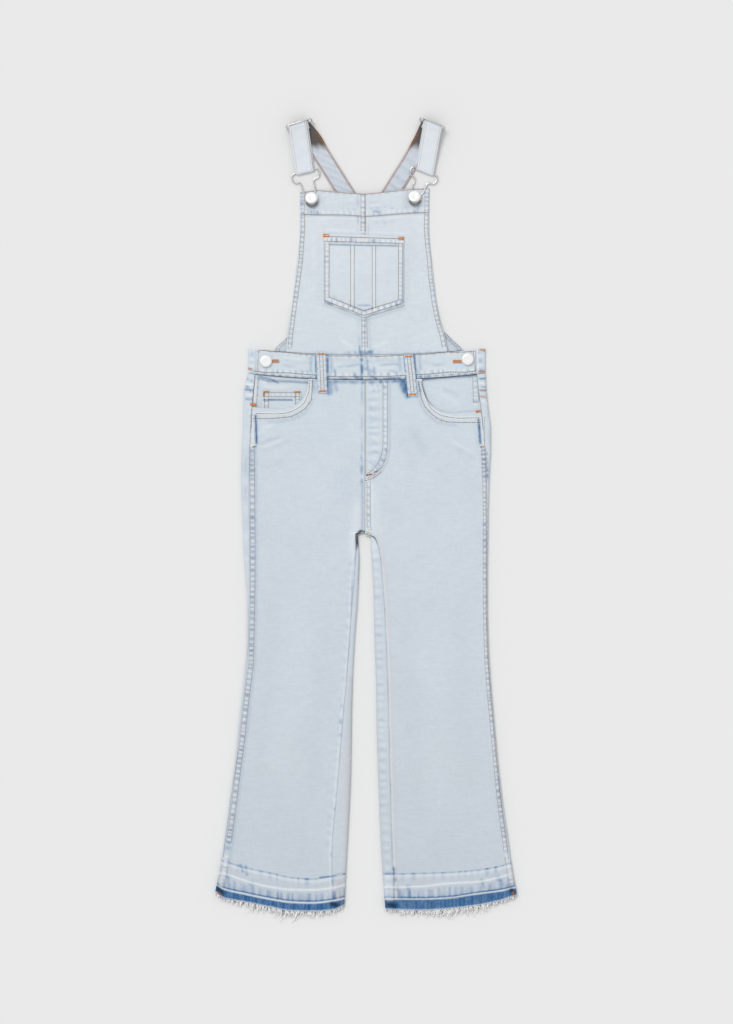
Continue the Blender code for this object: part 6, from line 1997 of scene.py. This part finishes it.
def build_button(name, profile, x, y, seat, lean):
    """A turned metal button on its shank, with a rolled rim and a shallow dished face."""
    dished = [(0.0, profile[0][1] - 0.55), (profile[2][0] * 0.55, profile[0][1] - 0.45),
              (profile[2][0] * 0.92, profile[1][1] - 0.25), (profile[2][0] * 1.12, profile[2][1] + 0.25)]
    outline = round_off(dished + list(profile[3:-2]), 0.35, cyclic=False)
    outline = np.vstack([outline, [profile[-2]], [profile[-1]]])
    outline[:, 0] = np.maximum(outline[:, 0], 0)
    steps = 56
    points, faces = [], []
    for radius, height in outline:
        for step in range(steps):
            turn = 2 * math.pi * step / steps
            points.append((radius * math.cos(turn), radius * math.sin(turn), height))
    for ring in range(len(outline) - 1):
        low, high = ring * steps, (ring + 1) * steps
        faces += [(low + s, high + s, high + (s + 1) % steps, low + (s + 1) % steps) for s in range(steps)]
    points = np.array(points)
    lean_y = points[:, 1] * math.cos(lean) + points[:, 2] * math.sin(lean)
    lean_z = -points[:, 1] * math.sin(lean) + points[:, 2] * math.cos(lean)
    placed = np.stack([points[:, 0] + x, lean_y + y, lean_z + seat], axis=-1)
    wide = profile[4][0]
    out = np.hypot(points[:, 0], points[:, 1]) / wide
    # Painted shade: the rim is darker on its lower side, as if lit from above.
    rim = ease((out - 0.80) / 0.16) * ease(0.35 - points[:, 1] / wide)
    tones = mix(0.93 if lean else 1.0, 0.52 if lean else 0.82, rim)
    if lean:
        plate, plate_faces = back_plate(wide * 0.86, len(placed))
        placed = np.vstack([placed, plate + (x + 0.5, y - 2.3, seat + 3.0)])
        faces += plate_faces
        # The back plate is made dark as painted shade below the tilted face.
        tones = np.append(tones, np.full(len(plate), 0.22))
    tones = [(tone, tone, tone, 1.0) for tone in tones]
    piece = joined(f"{name}_metal", placed, faces, "polished_nickel", tones)
    weld = piece.modifiers.new("close_poles", "WELD")
    weld.merge_threshold = 0.00001
    return piece


# ---------------------------------------------------------------- rows of stitches
SEAM_ROW = {"raised": 0.48, "tone": (176, 148, 122), "radius": 0.34}
FLY_ROW = {"tone": (158, 140, 120), "radius": 0.38}
PALE_ROW = {"tone": (168, 148, 122)}
PLACKET_ROW = {"tone": (170, 152, 128)}
SLIT_TACK = {"raised": 0.3, "width": 1.6, "tone": (170, 150, 124)}


def leg_stitches(leg):
    sewing = Sewing(71 + leg.sign)
    top = LEG_FACES[leg.name].top
    seam = [point for point in OUTSEAM[leg.name] if point[1] > leg.hem_line(4, np.abs(point[0])) + 2]
    for offset in (-3.0, 3.0) if leg.sign < 0 else (-2.0, 2.8):
        sewing.sew(beside(seam, offset), top, **SEAM_ROW)
    sewing.sew(SCOOP_INNER[leg.name], top, tone=(120, 96, 78), radius=0.46)
    sewing.sew(SCOOP_OUTER[leg.name], top, tone=(128, 100, 78), radius=0.46)
    if leg.sign < 0:
        sewing.rows(top, ((250.6, 414), (250, 447)), tone=(176, 160, 140))
        sewing.tacks(top, ((250.6, 404.6), (256.2, 404.8)), raised=0.3, width=4.0)
        sewing.tacks(top, ((252.5, 447), (256.5, 446.4)), **SLIT_TACK)
    else:
        sewing.rows(top, ((484.6, 417), (484.4, 447)), tone=(176, 160, 140))
        sewing.tacks(top, ((475.8, 411.8), (480.8, 411.2)), raised=0.3, width=3.4)
        sewing.tacks(top, ((480, 447), (484, 446.6)), **SLIT_TACK)
        fly_stitches(sewing, top)
    return sewing.make(f"leg_{leg.name}_stitches")


def fly_stitches(sewing, top):
    """The curved rows of the fly, its bar tacks and the rows down to the crotch."""
    sewing.sew(FLY_CURVE, top, **FLY_ROW)
    sewing.sew(FLY_INNER, top, **FLY_ROW)
    sewing.rows(top, ((365.7, 380), (365.7, 474)), tone=(150, 134, 118), radius=0.36)
    sewing.tacks(top, ((366, 475.4), (371.5, 474.2)), raised=0.25, width=2.0, tone=(168, 108, 62))
    sewing.tacks(top, ((374, 472.4), (377.5, 470.6)), raised=0.25, width=1.6, tone=(188, 130, 84))
    sewing.rows(top, ((365, 480.6), (371, 479), (377, 475.6), (382, 471.2)), tone=(150, 104, 66),
                radius=0.42)
    sewing.rows(top, ((366.9, 482), (366.9, 528)), ((370.2, 481), (370.4, 522), (371.4, 531)),
                tone=(158, 138, 116), radius=0.38)
    sewing.tacks(top, ((366.2, 532), (371.4, 534.6)), raised=0.2, width=2.0, tone=(214, 206, 194))


def waist_stitches():
    sewing = Sewing(75)
    top = BAND_FACE.top
    sewing.rows(top, (
        (257, 351.4), (264, 350), (272, 351.4), (290, 352.8), (300, 354), (312, 354.8), (330, 356),
        (360, 356),
        (380, 356.4), (400, 355.4), (420, 354.6), (430, 354), (440, 352.8), (450, 352), (462, 352.2),
        (475, 351.4)), tone=(136, 108, 84), radius=0.50)
    sewing.rows(top, (
        (254, 371), (265, 372.6), (290, 373), (300, 374), (315, 375), (330, 376.4), (360, 376.6),
        (390, 376.4),
        (400, 375.6), (420, 374.6), (430, 374), (440, 373), (450, 372), (465, 372.4),
        (476, 371)), tone=(136, 106, 80), radius=0.50)
    sewing.rows(top, ((267, 351), (277, 352)), ((449, 352.4), (458, 352.4)),
                tone=TACK_THREAD, radius=0.50, raised=0.15)
    sewing.rows(top, ((258.7, 352), (257.3, 371)), ((473.3, 352), (475.2, 371)), **PLACKET_ROW)
    for left, right, y in ((271.4, 279, 361.2), (453, 461, 361.6)):
        sewing.tacks(top, ((left, y - 1.0), (right, y - 1.0)), ((left, y + 1.0), (right, y + 1.0)),
                     raised=0.1, width=1.7)
    for loop in BELT_LOOPS.values():
        height = lambda x, y, loop=loop: loop_height(loop, x, y)
        for side in (-2.1, 2.1):
            sewing.sew(loop_side(loop, side, 0.03, 0.97), height, tone=(146, 116, 88), radius=0.42)
        for share in (0.035, 0.955):
            x, y = loop_line(loop, share)
            sewing.tack((x - 4.6, y), (x + 4.6, y), top=height, raised=0.15, width=2.6)
    return sewing.make("waist_stitches")


def pocket_stitches():
    """Stitches of the two front pockets' bearers and of the coin pocket."""
    sewing = Sewing(77)
    coin, left, right = COIN_FACE.top, BEARER_FACES["left"].top, BEARER_FACES["right"].top
    sewing.rows(coin, ((263.5, 392.7), (300.5, 392.7)), ((263.5, 396.8), (300.5, 396.8)),
                ((264.6, 393), (264.6, 411.5)), ((268.7, 393), (268.7, 411.5)),
                ((295.4, 393), (295.4, 410)), ((299.4, 393), (299.4, 407)), tone=(140, 106, 74), radius=0.44)
    sewing.tacks(coin, ((263.6, 391.8), (269.4, 391.8)), ((294, 392), (300.6, 392)),
                 ((263.6, 393), (263.8, 397)), raised=0.1)
    sewing.rows(right, ((472.6, 378), (473.4, 403)), ((478, 378), (478.8, 403)),
                ((473, 402.6), (478.6, 402.6)), **PALE_ROW)
    sewing.rows(left, ((258.4, 378), (256.6, 404)), ((254.6, 378), (253, 404)), **PALE_ROW)
    return sewing.make("front_pocket_stitches")


def bib_stitches():
    sewing = Sewing(79)
    top = BIB_FACE.top
    left = [(300, 193), (300, 230), (299, 245), (298, 260), (296, 275), (294, 290), (292, 305), (290, 320),
            (288, 335), (287, 348)]
    right = [(429.5, 190), (429, 230), (430, 245), (432, 260), (433, 275), (435, 290), (437, 305),
             (440, 320), (444.5, 335), (447, 348)]
    for edge, sign in ((left, 1), (right, -1)):
        for inset in (1.1, 4.6):
            sewing.rows(top, [(x + sign * inset, y) for x, y in edge], raised=0.3, tone=(158, 136, 112),
                        radius=0.38)
    sewing.rows(top, ((300.6, 215.3), (305, 214.4), (325, 215), (343, 215), (357, 216), (367, 216.6),
                      (375, 216), (400, 214), (415, 212.7), (429, 212.5)),
                raised=0.35, tone=(150, 122, 96), radius=0.42)
    sewing.sew(moved(BIB_TOP, up=-1.0), top, raised=0.1, tone=(150, 112, 78), radius=0.42)
    sewing.rows(top, ((360.9, 194), (361, 232)), ((365.2, 194), (365.6, 232)), ((361.8, 318), (362, 348)),
                ((366.8, 318), (367.3, 348)), raised=0.1, tone=(150, 126, 100), radius=0.40)
    return sewing.make("bib_stitches")


def bib_pocket_stitches():
    """The hem's two rows, the rows down its sides, round its point and in pairs down its middle."""
    sewing = Sewing(81)
    top = POCKET_FACE.top
    hem = {"tone": (140, 98, 64), "radius": 0.48, "raised": 0.35}
    upright = {"tone": (146, 126, 102), "radius": 0.40, "raised": 0.4}
    point = {"tone": (128, 98, 72), "radius": 0.46, "raised": 0.4}
    sewing.rows(top, ((324, 236.4), (345, 237.2), (404, 239)),
                ((324, 241.4), (345, 241.9), (403.5, 243.6)), **hem)
    sewing.rows(top, ((324.9, 243), (325, 301)), ((329.2, 243), (329, 297)), ((402.6, 244), (402.1, 303)),
                ((398.5, 244), (398.4, 300.5)), **upright)
    sewing.rows(top, ((324.9, 301), (363.8, 315.6), (402, 303.6)),
                ((328.8, 297), (363.8, 310.8), (398.4, 300.6)), **point)
    sewing.rows(top, ((350.6, 245), (350.6, 308)), ((354.3, 245), (354.3, 309)),
                ((372.2, 245), (372.2, 310)), ((375.6, 245), (375.6, 309)), **upright)
    sewing.tacks(top, ((323.4, 234.6), (329, 234.8)), ((323.4, 236.6), (329, 236.8)),
                 ((398.6, 237.6), (404, 237.8)), ((398.6, 239.6), (404, 239.8)), raised=0.35, width=2.4)
    return sewing.make("bib_pocket_stitches")


def back_stitches():
    """Rows on the side that lies on the floor: yokes, centre back, waistband and back bib."""
    sewing = Sewing(83)
    under = dict(tone=(168, 148, 122), radius=0.38, sink=0.30)

    def row(line):
        line = np.asarray(line, float)
        path = np.column_stack([line, np.zeros(len(line))])
        sewing.run(path, ups=np.tile((0.0, 0.0, -1.0), (len(line), 1)), **under)

    for leg in LEGS.values():
        yoke = np.arange(1.0, 150.0, 6.0)
        for drop in (1.6, 6.2):
            row([(leg.sign * x, yoke_seam(x) - drop) for x in yoke])
    for x in (1.6, 6.4):
        row([(x, YOKE_CENTRE_Y + 44), (x, CROTCH_Y + 2)])
    wide = np.arange(-148.0, 150.0, 8.0)
    for rise in (2.2, BAND_HEIGHT - 2.4):
        row([(x, waist_line(x) + rise) for x in wide])
    levels = np.arange(212.0, 408.0, 8.0)
    for side in (-1, 1):
        for inset in (1.8, 6.0):
            edge = [(BACK_CENTRE_X + side * (float(back_bib_half(at)) - inset), at) for at in levels]
            row(edge)
            sewing.run([(x, y, DENIM) for x, y in edge], tone=(168, 148, 122), radius=0.38)
    for drop in (2.2, 9.0):
        row([(BACK_CENTRE_X - 33, 412 - drop), (BACK_CENTRE_X + 33, 412 - drop)])
    for x in (-2.2, 2.2):
        row([(BACK_CENTRE_X + x, 402), (BACK_CENTRE_X + x, 212)])
    return sewing.make("back_stitches")


# ---------------------------------------------------------------- what each piece stands for
def settle(piece, nodes, slot, flat=None, area=None, rests_on=(), held="laid", with_pieces=()):
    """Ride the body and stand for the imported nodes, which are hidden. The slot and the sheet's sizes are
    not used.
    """
    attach(piece, "root")
    if nodes:
        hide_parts(*nodes)


def with_strip(piece):
    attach(piece, "root")
    return piece


# ---------------------------------------------------------------- sizes and colours a user may change
class DungareesSizes(bpy.types.PropertyGroup):
    floor_size: bpy.props.FloatProperty(
        name="Floor size", description="Side of the square floor", default=9.0, unit="LENGTH")
    camera_height: bpy.props.FloatProperty(
        name="Camera height", description="Height over the floor", default=8.0, unit="LENGTH")
    picture_height: bpy.props.FloatProperty(
        name="Picture height", description="Length that the picture takes in", default=1.3312, unit="LENGTH")
    twill: bpy.props.FloatProperty(
        name="Twill", description="Spacing of the twill's ridges", default=0.0009, unit="LENGTH")
    worn: bpy.props.FloatProperty(
        name="Worn", description="Strength of the bleached unevenness", default=1.0, min=0.0, max=2.0)
    sun: bpy.props.FloatProperty(
        name="Key light", description="Strength of the soft key light", default=1.15)
    sky: bpy.props.FloatProperty(
        name="Fill light", description="Strength of the even fill light", default=0.68)


class DungareesColours(bpy.types.PropertyGroup):
    floor: bpy.props.FloatVectorProperty(
        name="Floor", description="Colour of the paper floor", subtype="COLOR", size=4,
        default=linear(234, 234, 234))
    nickel: bpy.props.FloatVectorProperty(
        name="Nickel", description="Colour of the buckles and adjusters", subtype="COLOR", size=4,
        default=linear(176, 174, 172))
    # The buttons are near-white and mostly diffuse, so part of their brightness is painted reflection of the
    # white surroundings.
    buttons: bpy.props.FloatVectorProperty(
        name="Buttons", description="Colour of the buttons", subtype="COLOR", size=4,
        default=linear(252, 252, 253))


class DungareesStep(bpy.types.Operator):
    """What the building steps share"""
    bl_options = {"REGISTER", "UNDO"}

    @property
    def sizes(self):
        return bpy.context.scene.dungarees_sizes

    @property
    def colours(self):
        return bpy.context.scene.dungarees_colours


class AddFinishes(DungareesStep):
    """Make the denim, thread, fray and nickel"""
    bl_idname = "dungarees.add_finishes"
    bl_label = "Finishes"

    def execute(self, context):
        denim_finish("bleached_denim", LEG_STOPS, self.sizes.twill, self.sizes.worn)
        denim_finish("strap_denim", STRAP_STOPS, self.sizes.twill, self.sizes.worn)
        cotton_finish("sewing_thread", 0.6, 0.35, fluff=(0.0006, 2.0), unevenness=0.5, bumps=0.5,
                      warmth=(1.06, 0.93, 0.76, 1.0))
        cotton_finish("frayed_cotton", 0.95, 0.15, fluff=(0.0012, 3.0), unevenness=0.4, bumps=0.4)
        nickel_finish("bright_nickel", tuple(self.colours.nickel), 0.30)
        nickel_finish("polished_nickel", tuple(self.colours.buttons), 0.22, metallic=0.25, with_painted_shade=True)
        return {"FINISHED"}


class AddStage(DungareesStep):
    """Lay the floor, set the lights and hang the camera straight over the garment"""
    bl_idname = "dungarees.add_stage"
    bl_label = "Stage"

    def execute(self, context):
        half = self.sizes.floor_size / 2
        mesh = bpy.data.meshes.new("floor")
        level = -0.0004
        corners = [(x * half, y * half, level) for x, y in ((-1, -1), (1, -1), (1, 1), (-1, 1))]
        mesh.from_pydata(corners, [], [(0, 1, 2, 3)])
        mesh.materials.append(floor_finish(tuple(self.colours.floor)))
        link("floor", mesh)

        world = bpy.data.worlds.new("studio")
        bpy.context.scene.world = world
        world.use_nodes = True
        backdrop = world.node_tree.nodes["Background"]
        backdrop.inputs["Color"].default_value = (1.0, 1.0, 1.0, 1.0)
        backdrop.inputs["Strength"].default_value = self.sizes.sky
        light = bpy.data.lights.new("window", "SUN")
        light.energy = self.sizes.sun
        light.angle = math.radians(24)
        lamp = link("window", light)
        lamp.rotation_euler = Vector((0.32, -0.44, -0.95)).to_track_quat("-Z", "Y").to_euler()

        lens = bpy.data.cameras.new("camera")
        lens.sensor_fit = "AUTO"
        lens.sensor_width = 36.0
        lens.lens = self.sizes.camera_height * lens.sensor_width / self.sizes.picture_height
        lens.clip_end = 60.0
        eye = link("camera", lens)
        eye.location = (0.00055, 0.00766, self.sizes.camera_height)
        bpy.context.scene.camera = eye
        bpy.context.scene.view_settings.view_transform = "Standard"
        return {"FINISHED"}


class AddLegs(DungareesStep):
    """Make both legs: back and front panels, yokes, hems and their frayed ends"""
    bl_idname = "dungarees.add_legs"
    bl_label = "Legs"

    def execute(self, context):
        for leg in LEGS.values():
            name = leg.name
            back = build_leg_back(leg)
            yoke = build_yoke(leg)
            front = build_leg_front(leg)
            band = with_strip(build_outseam(leg))
            hem = with_strip(build_hem(leg))
            stitches = with_strip(leg_stitches(leg))
            fringe = build_fringe(leg)
            settle(fringe, [f"fringe_{name}"], "fray")
            settle(back, [f"leg_back_{name}"], "denim", flat=(0.205, 0.66), area=0.108, rests_on=["floor"],
                   with_pieces=[fringe])
            settle(yoke, [f"yoke_{name}"], "denim", flat=(0.165, 0.055), area=0.0055, rests_on=["floor"])
            settle(front, [f"leg_front_{name}"], "denim", flat=(0.195, 0.695), area=0.090, rests_on=[back],
                   with_pieces=[band, hem, stitches])
        return {"FINISHED"}


class AddPockets(DungareesStep):
    """Make the pocket bearers, the coin pocket, the side plackets and the fly facing"""
    bl_idname = "dungarees.add_pockets"
    bl_label = "Pockets, plackets and fly"

    def execute(self, context):
        stitches = with_strip(pocket_stitches())
        for leg in LEGS.values():
            bearer = build_bearer(leg)
            settle(bearer, [f"pocket_bearer_{leg.name}"], "denim", flat=(0.085, 0.06), area=0.0038,
                   rests_on=[f"leg_back_{leg.name}_cloth"])
            placket = build_placket(leg)
            settle(placket, [f"side_placket_{leg.name}"], "denim", flat=(0.03, 0.09),
                   rests_on=[f"leg_back_{leg.name}_cloth"])
        settle(build_coin_pocket(LEGS["left"]), ["coin_pocket"], "denim", flat=(0.051, 0.034), area=0.0014,
               rests_on=["pocket_bearer_left_cloth"], with_pieces=[stitches])
        settle(build_fly(), ["fly"], "denim", flat=(0.031, 0.132), area=0.0036,
               rests_on=["leg_back_right_cloth"])
        return {"FINISHED"}


class AddWaist(DungareesStep):
    """Make the waistband's front and back, the belt loops and the rows of stitches"""
    bl_idname = "dungarees.add_waist"
    bl_label = "Waistband and belt loops"

    def execute(self, context):
        stitches = with_strip(waist_stitches())
        under = with_strip(back_stitches())
        back = build_waistband_back()
        settle(back, ["waistband_back"], "denim", flat=(0.40, 0.033), rests_on=["floor"],
               with_pieces=[under])
        settle(build_waistband_front(), ["waistband_front"], "denim", flat=(0.287, 0.033), rests_on=[back],
               with_pieces=[stitches])
        for name, loop in BELT_LOOPS.items():
            settle(build_belt_loop(name, loop), [f"belt_loop_{name}"], "denim", flat=(0.0125, 0.054),
                   rests_on=["waistband_front_cloth"])
        return {"FINISHED"}


class AddBib(DungareesStep):
    """Make the bib's two halves, its pocket and the back bib"""
    bl_idname = "dungarees.add_bib"
    bl_label = "Bib"

    def execute(self, context):
        back = build_back_bib()
        settle(back, ["back_bib"], "denim", flat=(0.245, 0.20), area=0.0245, rests_on=["floor"])
        stitches = with_strip(bib_stitches())
        for leg in LEGS.values():
            strips = [stitches] if leg.sign < 0 else []
            settle(build_bib(leg), [f"bib_{leg.name}"], "denim", flat=(0.11, 0.215), area=0.0194,
                   rests_on=[back], with_pieces=strips)
        settle(build_bib_pocket(), ["bib_pocket"], "denim", flat=(0.105, 0.108), area=0.0101,
               rests_on=["bib_left_cloth", "bib_right_cloth"],
               with_pieces=[with_strip(bib_pocket_stitches())])
        return {"FINISHED"}


class AddStraps(DungareesStep):
    """Make both straps with their adjusters, buckles and stitches"""
    bl_idname = "dungarees.add_straps"
    bl_label = "Straps and hardware"

    def execute(self, context):
        for name, route in STRAP_ROUTES.items():
            sewing = Sewing(91 + route["sign"])
            strap = build_strap(name, route, sewing)
            stitches = with_strip(sewing.make(f"strap_{name}_stitches"))
            settle(strap, [f"strap_{name}"], "denim", flat=(0.0235, 0.285), held="folded",
                   rests_on=["back_bib_cloth"], with_pieces=[stitches])
            wire, bar = build_slider(name, route)
            settle(wire, [f"slider_{name}"], "nickel")
            settle(bar, [], "nickel")
            settle(build_buckle(name, route), [f"buckle_{name}"], "nickel")
        return {"FINISHED"}


class AddButtons(DungareesStep):
    """Make the four metal buttons"""
    bl_idname = "dungarees.add_buttons"
    bl_label = "Buttons"

    def execute(self, context):
        for name, route in STRAP_ROUTES.items():
            x, y = route["button"]
            seat = float(bib_height(x, y)) + BUTTON_SEAT
            settle(build_button(f"bib_button_{name}", BIB_BUTTON, x, y, seat, BUTTON_LEAN),
                   [f"bib_button_{name}"], "nickel")
        for name, (x, y) in SIDE_BUTTONS.items():
            settle(build_button(f"side_button_{name}", SIDE_BUTTON, x, y, 5.2 + SEAM_GAP, 0.0),
                   [f"side_button_{name}"], "nickel")
        return {"FINISHED"}


STEPS = (AddFinishes, AddStage, AddLegs, AddPockets, AddWaist, AddBib, AddStraps, AddButtons)


class DungareesPanel(bpy.types.Panel):
    """The building steps, in order"""
    bl_idname = "VIEW3D_PT_dungarees"
    bl_label = "Kids dungarees"
    bl_space_type = "VIEW_3D"
    bl_region_type = "UI"
    bl_category = "Dungarees"

    def draw(self, context):
        for group in (context.scene.dungarees_sizes, context.scene.dungarees_colours):
            for name in group.bl_rna.properties.keys():
                if name not in ("rna_type", "name"):
                    self.layout.prop(group, name)
        for step in STEPS:
            self.layout.operator(step.bl_idname)


CLASSES = (DungareesSizes, DungareesColours) + STEPS + (DungareesPanel,)


def register():
    for made in CLASSES:
        bpy.utils.register_class(made)
    bpy.types.Scene.dungarees_sizes = bpy.props.PointerProperty(type=DungareesSizes)
    bpy.types.Scene.dungarees_colours = bpy.props.PointerProperty(type=DungareesColours)


def unregister():
    del bpy.types.Scene.dungarees_colours
    del bpy.types.Scene.dungarees_sizes
    for made in reversed(CLASSES):
        bpy.utils.unregister_class(made)


def main():
    register()
    for step in STEPS:
        group, name = step.bl_idname.split(".")
        getattr(getattr(bpy.ops, group), name)()


if __name__ == "__main__":
    main()
